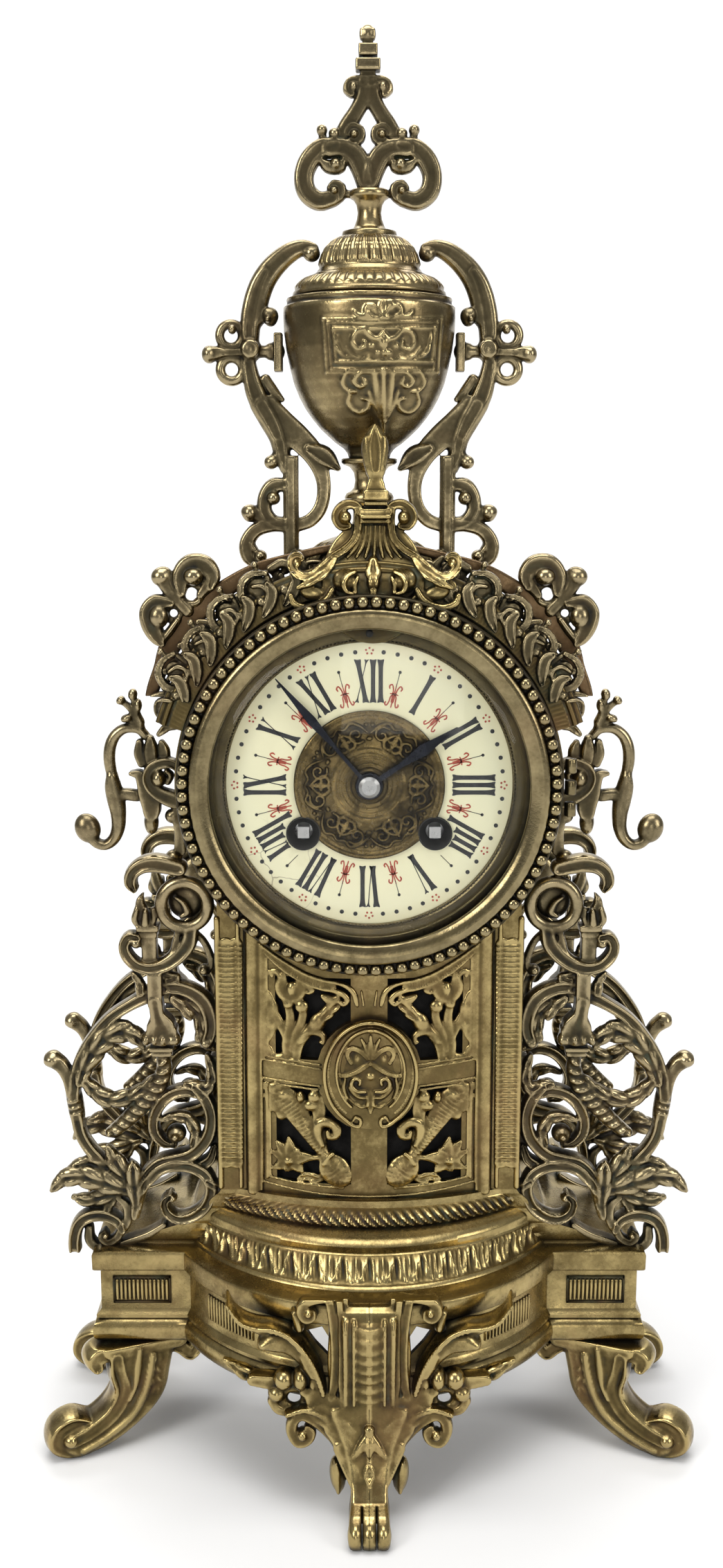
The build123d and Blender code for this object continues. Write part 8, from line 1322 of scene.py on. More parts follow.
fil = [(60.6, 3.0), (60.6, -4.6), (61.3, -6.6), (61.9, -7.3), (62.35, -6.6), (62.35, 3.0)]
ring = lathe(soft(fil, 0.2), 400)
mo = [(61.2, 3.0), (61.2, -6.2), (61.7, -7.3)] + [(62.2 + 0.55 * i, -7.3 + 0.09 * i) for i in range(9)]
mo += [(67.1, -5.9), (67.5, -6.6), (68.3, -7.0), (69.1, -6.5), (69.4, -5.6), (69.9, -5.1), (70.4, -5.2), (70.9, -4.8), (71.1, -4.0), (70.9, -3.2), (70.6, 3.0)]


def arc_lathe(prof, a0, a1, n, disp):
    """Part of a turned ring, from a0 to a1 degrees, with its ends closed."""
    p = np.array(prof, float)
    m = len(p)
    th = np.radians(np.linspace(a0, a1, n))
    R = np.repeat(p[:, 0][:, None], n, 1)
    A = np.repeat(p[:, 1][:, None], n, 1)
    T = np.repeat(th[None, :], m, 0)
    dR, dA = disp(R, A, T)
    R, A = R + dR, A + dA
    V = np.stack([R * np.cos(T), A, ZD + R * np.sin(T)], -1).reshape(-1, 3)
    i = np.arange(m)[:, None]
    j = np.arange(n - 1)[None, :]
    i2 = (i + 1) % m
    Q = np.stack([i * n + j + 0 * i2, i2 * n + j, i2 * n + j + 1, i * n + j + 1], -1).reshape(-1, 4)
    mid = [[65.8 * cos(t), -1.6, ZD + 65.8 * sin(t)] for t in (th[0], th[-1])]
    b = len(V)
    T3 = [(k * n, b, ((k + 1) % m) * n) for k in range(m)] + [(k * n + n - 1, ((k + 1) % m) * n + n - 1, b + 1) for k in range(m)]
    w = np.r_[(0.1 - dA).reshape(-1), [0.1, 0.1]]
    return outward((np.vstack([V, mid]), np.array(T3), Q, w))


arr = arc_lathe(mo, 16.5, 163.5, 700, hatch)
# the moulding is marked a little deeper overall and much deeper in its two grooves, so the gilt brass darkens there:
# painted shade in the grooves
rr_ = np.hypot(arr[0][:, 0], arr[0][:, 2] - ZD)
cv = arr[3] - 0.22 - 0.45 * np.exp(-((rr_ - 66.9) / 0.35) ** 2) - 0.45 * np.exp(-((rr_ - 69.65) / 0.3) ** 2) + 0.1
place("dial_moulding_turned", join_arrays([ring, (arr[0], arr[1], arr[2], cv)]), "case", "dial_moulding", M_GILT)




# ------------------------------------------------------------------ dial
def slab(name, polys, y0, y1, body, mat):
    """Closed slabs whose outlines are strips: each outline is left side out, right side back."""
    V, F, off = [], [], 0
    for P in polys:
        P = np.array(P, float)
        a2 = (P[:, 0] * np.roll(P[:, 1], -1) - np.roll(P[:, 0], -1) * P[:, 1]).sum()
        if a2 < 0:
            P = P[::-1]
        n = len(P)
        V += [(p[0], y0, p[1]) for p in P] + [(p[0], y1, p[1]) for p in P]
        F.append([off + i for i in range(n)])
        F.append([off + n + i for i in range(n - 1, -1, -1)])
        for i in range(n):
            j = (i + 1) % n
            F.append([off + i, off + n + i, off + n + j, off + j])
        off += 2 * n
    ob = mesh_obj(name, V, faces=F, smooth=False)
    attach(ob, body)
    ob.data.materials.append(mat)
    return ob


def polar(u, r, a):
    """u to the clockwise side and r outward, at a degrees clockwise from twelve."""
    s, c = sin(radians(a)), cos(radians(a))
    return (u * c + r * s, ZD - u * s + r * c)


def strip(pts, wid, a):
    P = spl([[x, y, w] for (x, y), w in zip(pts, wid)], 0.35)
    d = np.gradient(P[:, :2], axis=0)
    n = np.stack([-d[:, 1], d[:, 0]], -1) / (np.linalg.norm(d, axis=1)[:, None] + 1e-9)
    L, R = P[:, :2] + n * P[:, 2:3], P[:, :2] - n * P[:, 2:3]
    cap0 = P[0, :2] - d[0] / np.linalg.norm(d[0]) * P[0, 2] * 0.7
    cap1 = P[-1, :2] + d[-1] / np.linalg.norm(d[-1]) * P[-1, 2] * 0.7
    return [polar(x, y, a) for x, y in np.vstack([cap0[None], L, cap1[None], R[::-1]])]


HOLE = [(21.2, ZD - 15.7), (-21.2, ZD - 15.7)]


def clear(P, gap=5.7):
    return all(min(hypot(x - hx, z - hz) for x, z in P) > gap for hx, hz in HOLE)


def bar(u0, u1, a, thick, r0=26.5, r1=40.4):
    """A stroke of a numeral; one that would run into a winding hole is shortened."""
    for i in range(40):
        P = bar_at(u0 + (u1 - u0) * 0.018 * i, u1, a, thick, r0 + 0.25 * i, r1)
        if clear(P):
            return P
    return P


def bar_at(u0, u1, a, thick, r0, r1):
    t = np.array([0, 0.02, 0.05, 0.10, 0.2, 0.5, 0.8, 0.90, 0.95, 0.98, 1.0])
    if thick:
        w = np.array([0.96, 1.06, 1.00, 0.80, 0.70, 0.68, 0.72, 0.84, 1.04, 1.10, 0.98])
    else:
        w = np.array([0.62, 0.70, 0.42, 0.2, 0.14, 0.12, 0.14, 0.2, 0.42, 0.70, 0.62])
    L = [(u0 + (u1 - u0) * q - b, r0 + (r1 - r0) * q) for q, b in zip(t, w)]
    R = [(u0 + (u1 - u0) * q + b, r0 + (r1 - r0) * q) for q, b in zip(t, w)]
    mb = (0.5 * (L[0][0] + R[0][0]), r0 + 0.28)
    mt = (0.5 * (L[-1][0] + R[-1][0]), r1 - 0.28)
    return [polar(x, y, a) for x, y in [mb] + L + [mt] + R[::-1]]


polys = []
for k, s in enumerate(("XII", "I", "II", "III", "IIII", "V", "VI", "VII", "VIII", "IX", "X", "XI")):
    adv = {"I": 2.42, "V": 4.35, "X": 4.75}
    tot = sum(adv[q] for q in s)
    u = -tot / 2
    for q in s:
        if q == "I":
            polys.append(bar(u + 1.2, u + 1.2, 30 * k, True))
        elif q == "V":
            polys.append(bar(u + 2.35, u + 0.95, 30 * k, True))
            polys.append(bar(u + 2.6, u + 3.75, 30 * k, False))
        else:
            polys.append(bar(u + 3.75, u + 0.95, 30 * k, True))
            polys.append(bar(u + 0.75, u + 3.95, 30 * k, False))
        u += adv[q]


def dot(u, r, a, rad, n=12):
    return [polar(u + rad * cos(2 * pi * i / n), r + rad * sin(2 * pi * i / n), a) for i in range(n)]


for i in range(60):
    if i % 5:
        polys.append(dot(0, 42.8, 6 * i, 0.70))
for k in range(12):
    polys.append(dot(0, 37.5, 30 * k + 15, 0.5))
    polys.append(strip([(0, 32.6), (0, 35.0), (0, 37.4)], (0.10, 0.09, 0.13), 30 * k + 15))
slab("dial_numerals", polys, -6.30, -6.16, "case", M_BLACK)
red = []
for k in range(12):
    a = 30 * k + 15
    big = 1.3
    red.append(strip([(0, 25.9), (0.05, 29.2), (0, 33.8)], (0.19, 0.22, 0.14), a))
    for s in (-1, 1):
        red.append(strip([(u_ * s * 0.95, 26.0 + (r_ - 26.0) * big) for u_, r_ in ((0.35, 27.2), (0.42, 28.9), (0.75, 30.6), (1.5, 31.5), (2.15, 31.0), (1.9, 30.4))], (0.14, 0.22, 0.22, 0.22, 0.26, 0.20), a))
        red.append(strip([(u_ * s * 0.95, 26.0 + (r_ - 26.0) * big) for u_, r_ in ((0.2, 29.4), (0.9, 28.6), (1.1, 27.2), (1.7, 26.2), (2.3, 26.6), (2.1, 27.1))], (0.16, 0.21, 0.22, 0.22, 0.26, 0.18), a))
    red.append(strip([(-1.3, 30.2), (0, 30.4), (1.3, 30.2)], (0.19, 0.21, 0.19), a))
    for j in range(5):
        b = 2 * pi * j / 5 + 0.3
        red.append(dot(1.15 * cos(b), 43.0 + 0.95 * sin(b), 30 * k, 0.36, 8))
slab("dial_fleurons", [P for P in red if clear(P, 5.5)], -6.28, -6.16, "case", M_RED)

# embossed centre
F = Field(-25.2, 25.2, -9.0, -5.2, ZD - 25.2, ZD + 25.2, 0.30)
F.disc(0, -7.15, -6.25, ZD, 24.2)


def rings(X, Y, Z):
    r = np.hypot(X, Z - ZD)
    top = -7.15 - 0.22 * np.cos(2 * pi * r / 1.55) * (r < 11.2) - 0.35 * np.exp(-((r - 11.6) / 0.7) ** 2) - 0.55 * np.exp(-((r - 23.3) / 0.75) ** 2) - 0.25 * np.exp(-((r - 21.8) / 0.35) ** 2) - 0.3 * (r < 5.2)
    return np.maximum(np.maximum(top - Y, Y + 6.3), r - 24.2)


F.fn((-25, -9, ZD - 25), (25, -6, ZD + 25), rings, k=0.1)
for k in range(6):
    a = 60 * k + 30
    for s in (-1, 1):
        cx, cz = polar(4.6 * s, 16.2, a)
        vol = volute(cx, cz, 2.9, 0.5, 90 - a + (200 if s > 0 else -20), -1.25 * s, 0.5, 0.42)
        F.stroke(vol, y=-7.15, h=0.75, k=0.15, step=0.6)
        p = [polar(u_ * s, r_, a) for u_, r_ in ((0.3, 20.6), (2.2, 19.6), (4.6, 20.4), (7.0, 18.2), (8.2, 15.0))]
        F.stroke([[x, z, w] for (x, z), w in zip(p, (0.35, 0.5, 0.55, 0.5, 0.3))], y=-7.15, h=0.7, k=0.15, step=0.6)
        p = [polar(u_ * s, r_, a) for u_, r_ in ((0.2, 13.2), (1.8, 13.0), (3.0, 14.6), (2.2, 16.6), (0.6, 18.4))]
        F.stroke([[x, z, w] for (x, z), w in zip(p, (0.3, 0.55, 0.6, 0.5, 0.3))], y=-7.15, h=0.8, k=0.15, step=0.6, g=0.2)
        for (u_, r_) in ((7.4, 13.4), (9.0, 17.6), (1.4, 15.4)):
            x, z = polar(u_ * s, r_, a)
            F.ell(x, -7.35, z, 0.65, 0.55, 0.65, k=0.15)
    p = [polar(u_, r_, a) for u_, r_ in ((0, 12.8), (0, 15.8), (0, 19.2))]
    F.stroke([[x, z, w] for (x, z), w in zip(p, (0.5, 1.0, 0.4))], y=-7.2, h=0.9, k=0.15, step=0.6, kind="leaf", lobes=1, pitch=1.2, notch=0.2)
for hx, hz in HOLE:
    F.disc(hx, -12, -2, hz, 5.25, cut=True, k=0.1)
F.disc(0, -12, -2, ZD, 2.75, cut=True, k=0.1)
arr = F.arrays()
# dark ground and bright ridges on the embossed centre: painted shade in the ground between the ridges and painted
# highlight on them
M_CENT = brass("embossed_centre", bright=(0.33, 0.235, 0.096), mid=(0.026, 0.018, 0.007), dark=(0.004, 0.0025, 0.001), brown=(0.03, 0.015, 0.006), green=0.1, grime_and_shade=0.9, rough=(0.22, 0.5), cavs=0.36, tarn=0.3)
place("dial_centre_embossed", arr, "case", "dial_centre", M_CENT)
# a flat near-black disc where the regulator hole is: painted shade
place("regulator_hole_painted_shade", ball((0, -8.2, ZD + 48.7), 1.3, 20, 10, sy=0.4), "case", None, M_HOLE_SHADE)
# the collars lining the winding holes take the same near-black paint: painted shade inside the holes
for i, (hx, hz) in enumerate(HOLE):
    prof = [(4.95, -7.35), (5.35, -7.55), (5.55, -7.2), (5.4, -6.0), (5.05, -2.6), (2.9, -2.6), (2.9, -3.0), (4.75, -3.0)]
    arr = lathe(prof, 48, c=(hx, hz))
    place("winding_hole_collar_%d" % (i + 1), arr, "case", None, M_HOLE_SHADE)


# ------------------------------------------------------------------ relief laid on a curved face
def sculpt_on(F, items, surf, grow=1.0):
    """As sculpt, with every y counted from the face y = surf(x, z)."""
    for kind, o, r in items:
        o, r = tuned(kind, o, r, grow)
        if kind == "s":
            y, h = o.pop("y", 0.0), o.pop("h", 1.0)
            F.stroke([[q[0], q[1], q[2], surf(q[0], q[1]) + y, h] for q in r], **o)
        elif kind == "e":
            y = o.pop("y")
            F.ell(r[0], surf(r[0], r[1]) + y, r[1], r[2], r[3], r[4], **o)


# ------------------------------------------------------------------ urn
UP = [(338.2, 6.6), (339.6, 7.0), (341.2, 8.2), (342.8, 10.6), (344.8, 12.9), (347.4, 15.7), (350.5, 18.3), (353.6, 20.5), (357.3, 22.5), (361.5, 24.2), (366.2, 25.4), (372.0, 26.6),
      (377.7, 27.3), (382.0, 27.5), (385.2, 27.4), (385.7, 26.4), (386.6, 26.2), (387.4, 26.5), (387.9, 26.3)]


def urn_r(z):
    return float(np.interp(z, [p[0] for p in UP], [p[1] for p in UP]))


def urn_face(x, z):
    r = urn_r(z)
    return 22.0 - math.sqrt(max(r * r - min(abs(x), r * 0.97) ** 2, 0.0))


F = Field(-28.6, 28.6, -6.6, 50.6, 337.0, 389.2, 0.44)
zz = np.linspace(338.2, 387.9, 200)
F.turned([(z, float(np.interp(z, [p[0] for p in UP], [p[1] for p in UP]))) for z in zz], 0, 22)
sculpt_on(F, CAST["urn"], urn_face, grow=1.2)
ua = F.arrays()
M_URN = brass("urn_brass", bright=(0.380, 0.300, 0.150), mid=(0.195, 0.150, 0.074), dark=(0.016, 0.012, 0.006), green=0.2, grime_and_shade=0.52, rough=(0.20, 0.46), tarn=0.5, cavs=0.75)
place("urn_body_cast", ua, "case", "urn_body", M_URN)

# lid: reeded leaf dome, plain ring, gadroon ring and two fillets
lid = [(0.02, 388.2), (24.0, 388.2), (24.5, 388.9), (24.3, 389.7), (23.7, 390.2), (23.8, 390.9), (23.5, 391.4), (23.0, 392.0), (22.2, 392.8), (21.4, 393.5), (20.6, 394.0), (19.8, 394.3),
       (18.9, 394.5), (18.6, 394.9), (17.6, 395.3), (16.8, 395.9), (16.4, 396.6), (15.8, 397.2)]
DOME = [(16.0, 397.6), (15.7, 399.4), (15.0, 401.6), (13.8, 403.6), (12.3, 405.2), (10.6, 406.3), (9.0, 406.9)]
for a, b in zip(DOME, DOME[1:]):
    for i in range(6):
        lid.append((a[0] + (b[0] - a[0]) * i / 6, a[1] + (b[1] - a[1]) * i / 6))
lid += [(8.3, 407.0), (8.7, 407.5), (8.5, 408.3), (7.0, 408.7), (5.2, 409.1), (4.7, 410.2), (4.0, 412.0), (3.7, 414.0), (4.1, 416.4), (5.0, 417.8), (6.1, 418.5), (6.5, 419.3), (6.3, 420.5), (5.6, 421.0), (0.02, 421.0)]


def lid_disp(R, A, T):
    dome = np.clip((A - 397.7) / 0.7, 0, 1) * np.clip((406.5 - A) / 0.7, 0, 1)
    frac = np.clip((A - 397.4) / 9.3, 0, 1)
    leaf = np.abs(np.cos(13 * T)) ** 0.5 * (1 - 0.45 * frac) + 0.16 * np.cos(78 * T + 3 * frac) + 0.35 * np.exp(-((frac - 0.62) / 0.06) ** 2) * np.abs(np.sin(13 * T))
    gad = np.clip((A - 391.1) / 0.4, 0, 1) * np.clip((394.4 - A) / 0.4, 0, 1)
    d = dome * (0.75 * leaf - 0.35) + gad * (1.0 * np.sqrt(np.abs(np.sin(23 * T))) - 0.55)
    return d, 0 * A


place("urn_lid_turned", lathe(lid, 720, "z", (0.0, 22.0), disp=lid_disp), "case", "urn_lid", M_URN)

foot = [(0.02, 297.2), (19.5, 297.2), (20.4, 297.8), (20.5, 299.0), (19.6, 300.0), (19.8, 301.2), (20.9, 302.4), (21.0, 304.2), (20.2, 306.2), (18.5, 309.0), (15.6, 311.2), (12.6, 312.6), (9.4, 313.5), (7.2, 314.4),
        (6.0, 316.2), (5.4, 318.0), (5.2, 321.0), (5.4, 322.4), (6.9, 323.0), (7.8, 324.2), (8.0, 325.8), (7.4, 327.0), (6.0, 327.7), (5.0, 328.8), (4.6, 331.0), (5.0, 333.6), (6.4, 335.4), (8.4, 336.2), (9.0, 336.8), (9.0, 337.9), (8.4, 338.2), (0.02, 338.2)]
fo = []
for a, b in zip(foot, foot[1:]):
    n = 3 if a[1] < 314 else 1
    for i in range(n):
        fo.append((a[0] + (b[0] - a[0]) * i / n, a[1] + (b[1] - a[1]) * i / n))
fo.append(foot[-1])


def cap_disp(R, A, T):
    m = np.clip((A - 301.0) / 1.0, 0, 1) * np.clip((312.4 - A) / 1.5, 0, 1)
    return m * (0.9 * np.abs(np.sin(11 * T)) ** 0.7 - 0.4 + 0.25 * np.cos(66 * T)), 0 * A


place("urn_foot_turned", lathe(fo, 500, "z", (0.0, 22.0), disp=cap_disp), "case", "urn_foot", M_URN)


# ------------------------------------------------------------------ relief of the front panel
def panel_face(x, z):
    return -3.0 - 5.2 * (1 - (min(abs(x), 36.0) / 36.0) ** 2)


def flip_items(items):
    out = []
    for k, o, r in items:
        if k == "s":
            out.append((k, o, [[-q[0]] + list(q[1:]) for q in r]))
        else:
            o = dict(o)
            if "rot" in o:
                o["rot"] = -o["rot"]
            out.append((k, o, [-r[0]] + list(r[1:])))
    return out


F = Field(-52.5, 0.9, -11.6, 4.5, 93.5, 192.0, 0.40)
sculpt_on(F, [q for q in CAST["panel"] if q[1].get("y", 0) < 0.35], panel_face, grow=1.15)
sculpt_on(F, [q for q in CAST["panel"] if q[1].get("y", 0) >= 0.35], panel_face, grow=1.75)
# rounded fillet beside the curved panel, and the pilaster's edges
F.stroke([[-38.6, 95, 2.7], [-38.4, 140, 2.7], [-38.2, 186, 2.7]], y=-1.6, h=2.7)
for x, w in ((-50.0, 1.1), (-43.2, 0.9)):
    F.stroke([[x, 96, w], [x, 140, w], [x, 190, w]], y=-1.4, h=1.5)
F.stroke([[-36.2, 95.5, 0.5], [-36, 140, 0.5], [-35.8, 182, 0.5]], y=-3.2, h=0.9)
pan = F.arrays()
F = Field(-17.5, 17.5, -14.6, -7.0, 116.0, 160.0, 0.34)


def cart_face(x, z):
    return -11.1


def cart_base(X, Y, Z):
    r = np.sqrt((X / 15.2) ** 2 + ((Z - 138.4) / 17.3) ** 2)
    q = np.sqrt((X / 9.9) ** 2 + ((Z - 139.5) / 12.3) ** 2)
    top = -11.2 - 0.9 * np.clip(1 - q, 0, 1) ** 0.6 + 0.9 * np.exp(-((r - 0.82) / 0.09) ** 2)
    return np.maximum(np.maximum(top - Y, Y + 8.2), (r - 1.0) * 15)


F.fn((-17, -13.5, 117), (17, -7.5, 159), cart_base, k=0.1)
sculpt_on(F, CAST["cart"], cart_face)
cr = F.arrays()
place("front_panel_relief_left", pan, "case", None, M_GILT)
place("front_panel_relief_right", right(pan), "case", None, M_GILT)
place("front_panel_cartouche", cr, "case", None, M_GILT)

# ------------------------------------------------------------------ base: mouldings drawn along the bowed plan
NB = 520


def plan(half, out, xs, front, back):
    r = (half ** 2 + out ** 2) / (2 * out)
    a = math.asin(min(1.0, half / r))
    t = -a + 2 * a * np.arange(NB + 1) / NB
    bow = np.stack([r * np.sin(t), front - out + r - r * np.cos(t)], -1)
    L, R = bow[0], bow[-1]
    side = []
    for p, q, n in (((-xs, back), (-xs, front), 8), ((-xs, front), tuple(L), 8)):
        side += [(p[0] + (q[0] - p[0]) * i / n, p[1] + (q[1] - p[1]) * i / n) for i in range(n)]
    rside = [(-x, y) for x, y in side[::-1]]
    return np.vstack([side, bow, rside]), t, r


def loft(rows, wave=None):
    """rows: z, half, out, xs, front, back, pattern number."""
    V, W = [], []
    for row in rows:
        z, half, out, xs, front, back = row[:6]
        P, t, r = plan(half, out, xs, front, back)
        zc = np.full(len(P), z)
        w = np.full(len(P), 0.12)
        if wave is not None and len(row) > 6 and row[6]:
            d, dz = wave(row[6], t * r, t, z)
            P = P.copy()
            s = slice(16, 16 + NB + 1)
            P[s, 0] += d * np.sin(t)
            P[s, 1] -= d * np.cos(t)
            zc[s] += dz
            w[s] = 0.1 + d * 0.9 - 0.15
        V.append(np.c_[P, zc])
        W.append(w)
    return V, W


def base_rows():
    def A(z, o, tag=0):
        return (z, 62.0 + 0.7 * o, 37.0, 93.0 + o, -2.3 - o, 48.0, tag)
    rows = [A(39.0, -0.6), A(39.6, 0.6), A(41.0, 1.6), A(43.2, 2.0), A(45.4, 1.7), A(46.8, 0.9), A(47.2, 0.1), A(47.6, -0.2), A(48.0, 0.6), A(49.2, 0.7), A(49.8, 0.1), A(50.4, -0.5), A(51.0, -0.9),
            A(64.9, -0.9), A(65.4, -0.4), A(65.8, 1.0), A(66.4, 1.5), A(71.6, 1.6), A(72.6, 1.2), A(73.0, 0.4)]
    rows += [(73.05, 60.8, 34.2, 90.0, 0.8, 47.5, 0), (73.3, 60.2, 33.4, 88.4, 1.8, 47.0, 0), (74.2, 60.0, 33.0, 86.0, 2.0, 47.0, 0), (74.5, 59.4, 32.0, 84.0, 1.9, 47.0, 0)]
    # lotus leaves round the bow
    for i in range(15):
        q = i / 14
        rows.append((74.6 + 6.6 * q, 59.2 - 3.6 * q - 1.2 * sin(pi * q), 31.6 - 8.2 * q ** 0.8 + 0.9 * sin(pi * q), 83.0 - 19.0 * q, 1.8 - 1.2 * q, 47.0, 1))
    rows += [(81.4, 55.0, 23.4, 63.0, 0.6, 47.2, 0), (81.8, 54.6, 22.6, 62.0, 0.4, 47.2, 0), (82.6, 54.2, 22.8, 61.0, 0.3, 47.2, 0), (84.2, 54.2, 22.9, 60.6, 0.2, 47.2, 0), (85.4, 53.4, 22.0, 60.0, 0.2, 47.2, 0),
             (86.2, 52.0, 20.2, 58.0, 0.1, 47.3, 0), (86.8, 51.0, 18.4, 56.6, 0.0, 47.4, 0), (87.3, 50.4, 17.4, 55.6, 0.0, 47.5, 0)]
    # roped torus
    for i in range(9):
        q = i / 8
        rows.append((87.6 + 5.0 * q, 48.4 - 2.6 * q + 1.6 * sin(pi * q), 15.4 - 4.0 * q + 2.3 * sin(pi * q), 54.4 - 2.4 * q + 1.0 * sin(pi * q), -0.2 - 1.0 * q, 47.6, 2))
    rows += [(92.9, 45.0, 10.6, 51.5, -1.3, 47.8, 0), (93.4, 44.6, 10.4, 51.0, -1.4, 48.0, 0), (95.0, 44.0, 10.0, 50.0, -1.5, 48.0, 0)]
    return rows


def base_wave(tag, s, t, z):
    if tag == 1:
        q = np.clip((z - 74.6) / 6.6, 0, 1)
        m = min(1.0, 5 * q) * min(1.0, 5 * (1 - q))
        ph = np.abs(((s / 8.8) % 1.0) - 0.5) * 2
        tip = np.clip(1 - np.abs(ph - (0.25 + 0.55 * q)) / 0.28, 0, 1)
        vein = np.exp(-((ph - 0.0) / 0.10) ** 2) - 0.8 * np.exp(-((ph - 1.0) / 0.10) ** 2)
        fine = 0.2 * np.cos(2 * pi * s / 1.76 + 3 * q)
        return m * (0.75 * tip + 0.45 * vein + fine), 0 * s
    k = np.cos(2 * pi * (s + 1.1 * (z - 90)) / 3.1)
    q = np.clip((z - 87.6) / 5.0, 0, 1)
    return sin(pi * q) * (0.55 * np.sign(k) * np.abs(k) ** 0.5), 0 * s


rows = base_rows()
V, W = loft(rows, base_wave)


def inner(z, o):
    return (z, 62.0 - o, 37.0, 93.0 - o, -2.3 + o, 48.0 - o, 0)


Vi, Wi = loft([inner(39.0, 3.0), inner(69.9, 3.0)])
ring_n = len(V[0])
allv = [V[i] for i in range(len(V))]
VV = np.vstack(allv + Vi)
# the inner wall of the plinth, seen through the openwork, is marked deep so it takes the dark brass colour: painted
# shade
WW = np.concatenate(W + [w * 0 - 0.6 for w in Wi])
faces = []
nr = len(V)
Qs = []
j = np.arange(ring_n)
j2 = (j + 1) % ring_n
for i in range(nr - 1):
    Qs.append(np.stack([i * ring_n + j, (i + 1) * ring_n + j, (i + 1) * ring_n + j2, i * ring_n + j2], -1))
o = nr * ring_n
Qs.append(np.stack([o + j2, o + ring_n + j2, o + ring_n + j, o + j], -1))
Qs.append(np.stack([j, j2, o + j2, o + j], -1))
Q = np.vstack(Qs)
polys_ = [list(map(int, f)) for f in Q] + [list(range((nr - 1) * ring_n, nr * ring_n))[::-1], list(range(o + ring_n, o + 2 * ring_n))]
ob = mesh_obj("plinth_uncut", VV, faces=polys_, smooth=True)
at = ob.data.attributes.new("cav", "FLOAT", "POINT")
at.data.foreach_set("value", WW.astype(np.float32))
import bmesh


def tidy(me):
    bm = bmesh.new()
    bm.from_mesh(me)
    bmesh.ops.recalc_face_normals(bm, faces=bm.faces)
    bm.to_mesh(me)
    bm.free()


tidy(ob.data)
# openwork either side of the centre bracket
OPEN = [(-20.3, 62.0), (-15.2, 64.1), (-13.0, 60.6), (-12.0, 54.7), (-12.3, 53.2), (-17.4, 58.2)]
cutv, cutf = [], []
for m in (1, -1):
    b = len(cutv)
    cutv += [(m * x, -60.0, z) for x, z in OPEN] + [(m * x, -20.0, z) for x, z in OPEN]
    n = len(OPEN)
    cutf += [[b + i for i in range(n)], [b + n + i for i in range(n)][::-1]] + [[b + i, b + n + i, b + n + (i + 1) % n, b + (i + 1) % n] for i in range(n)]
cutter = mesh_obj("openwork_cutter", cutv, faces=cutf, smooth=False)
tidy(cutter.data)
md = ob.modifiers.new("openwork", "BOOLEAN")
md.operation = "DIFFERENCE"
md.solver = "EXACT"
md.object = cutter
cut_me = bpy.data.meshes.new_from_object(ob.evaluated_get(bpy.context.evaluated_depsgraph_get()))
old = [ob, cutter]
ob = bpy.data.objects.new("plinth_cast", cut_me)
COLL.objects.link(ob)
for x in old:
    me_ = x.data
    bpy.data.objects.remove(x)
    bpy.data.meshes.remove(me_)
ob.data.name = "plinth_cast"
ob.data.materials.clear()
ob.data.set_sharp_from_angle(angle=radians(40))
print("plinth faces", len(ob.data.polygons), "cav" in ob.data.attributes)
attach(ob, "case")
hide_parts("plinth")
ob.data.materials.append(M_GILT)

# fluted tablets on the blocks and on the bow
parts = []


def reed(x, y, z, r, h):
    v, t, q, c = ball((0, 0, 0), r, 10, 8)
    v[:, 2] = np.sign(v[:, 2]) * np.maximum(np.abs(v[:, 2]) * 1.0 + (h - r) * (np.abs(v[:, 2]) > 0.02 * r), 0)
    return v + np.array((x, y, z)), t, q, c


def slab_arr(x0, x1, y0, y1, z0, z1):
    v = np.array([(x, y, z) for x in (x0, x1) for y in (y0, y1) for z in (z0, z1)], float)
    q = np.array([(0, 1, 3, 2), (4, 6, 7, 5), (0, 4, 5, 1), (2, 3, 7, 6), (0, 2, 6, 4), (1, 5, 7, 3)])
    return outward((v, np.zeros((0, 3), int), q, np.full(8, -0.3)))


for s in (-1, 1):
    for i in range(13):
        parts.append(reed(s * (69.4 + 1.42 * i), -1.7, 58.0, 0.62, 3.9))
    for (x0, x1, z0, z1) in ((68.2, 87.7, 62.2, 62.9), (68.2, 87.7, 53.1, 53.8), (68.0, 68.6, 53.1, 62.9), (87.3, 87.9, 53.1, 62.9)):
        parts.append(slab_arr(s * x0, s * x1, -2.1, -1.0, z0, z1))
    r0 = (61.4 ** 2 + 37.0 ** 2) / (2 * 37.0)
    for i in range(15):
        t = radians(50.5 - 1.22 * i) * s
        x, y = r0 * sin(t), -1.4 - 37.0 + r0 - r0 * cos(t)
        parts.append(reed(x + 0.1 * sin(t), y - 0.1 * cos(t), 58.0, 0.62, 4.6))
place("plinth_tablets", join_arrays(parts), "case", None, M_GILT)


# ------------------------------------------------------------------ apron with the centre leg
LEG = [(-36.5, 72.4), (-38.6, 73.3), (-40.6, 73.2), (-42.6, 71.9), (-44.2, 69.4), (-45.2, 66.0), (-45.7, 61.0), (-44.6, 54.0), (-43.2, 47.0), (-42.6, 40.0), (-43.6, 33.0), (-46.0, 25.0), (-49.0, 17.0), (-52.5, 11.6), (-57.0, 9.9), (-60.6, 7.0),
       (-61.9, 3.6), (-60.8, 0.9), (-58.0, 0.15), (-52.0, 0.15), (-48.4, 4.0), (-45.0, 11.0), (-41.0, 20.0), (-37.0, 31.0), (-34.6, 39.5), (-36.5, 50.0)]


def sdf_poly(P, Y, Z):
    P = np.array(P, float)
    d = np.full(np.broadcast(Y, Z).shape, 1e9)
    ins = np.zeros(d.shape, bool)
    n = len(P)
    for i in range(n):
        a, b = P[i], P[(i + 1) % n]
        e = b - a
        wy, wz = Y - a[0], Z - a[1]
        t = np.clip((wy * e[0] + wz * e[1]) / (e @ e), 0, 1)
        d = np.minimum(d, (wy - t * e[0]) ** 2 + (wz - t * e[1]) ** 2)
        c1 = (Z >= a[1]) & (Z < b[1]) & (e[0] * wz > e[1] * wy)
        c2 = (Z < a[1]) & (Z >= b[1]) & (e[0] * wz < e[1] * wy)
        ins ^= (c1 | c2)
    return np.where(ins, -np.sqrt(d), np.sqrt(d))


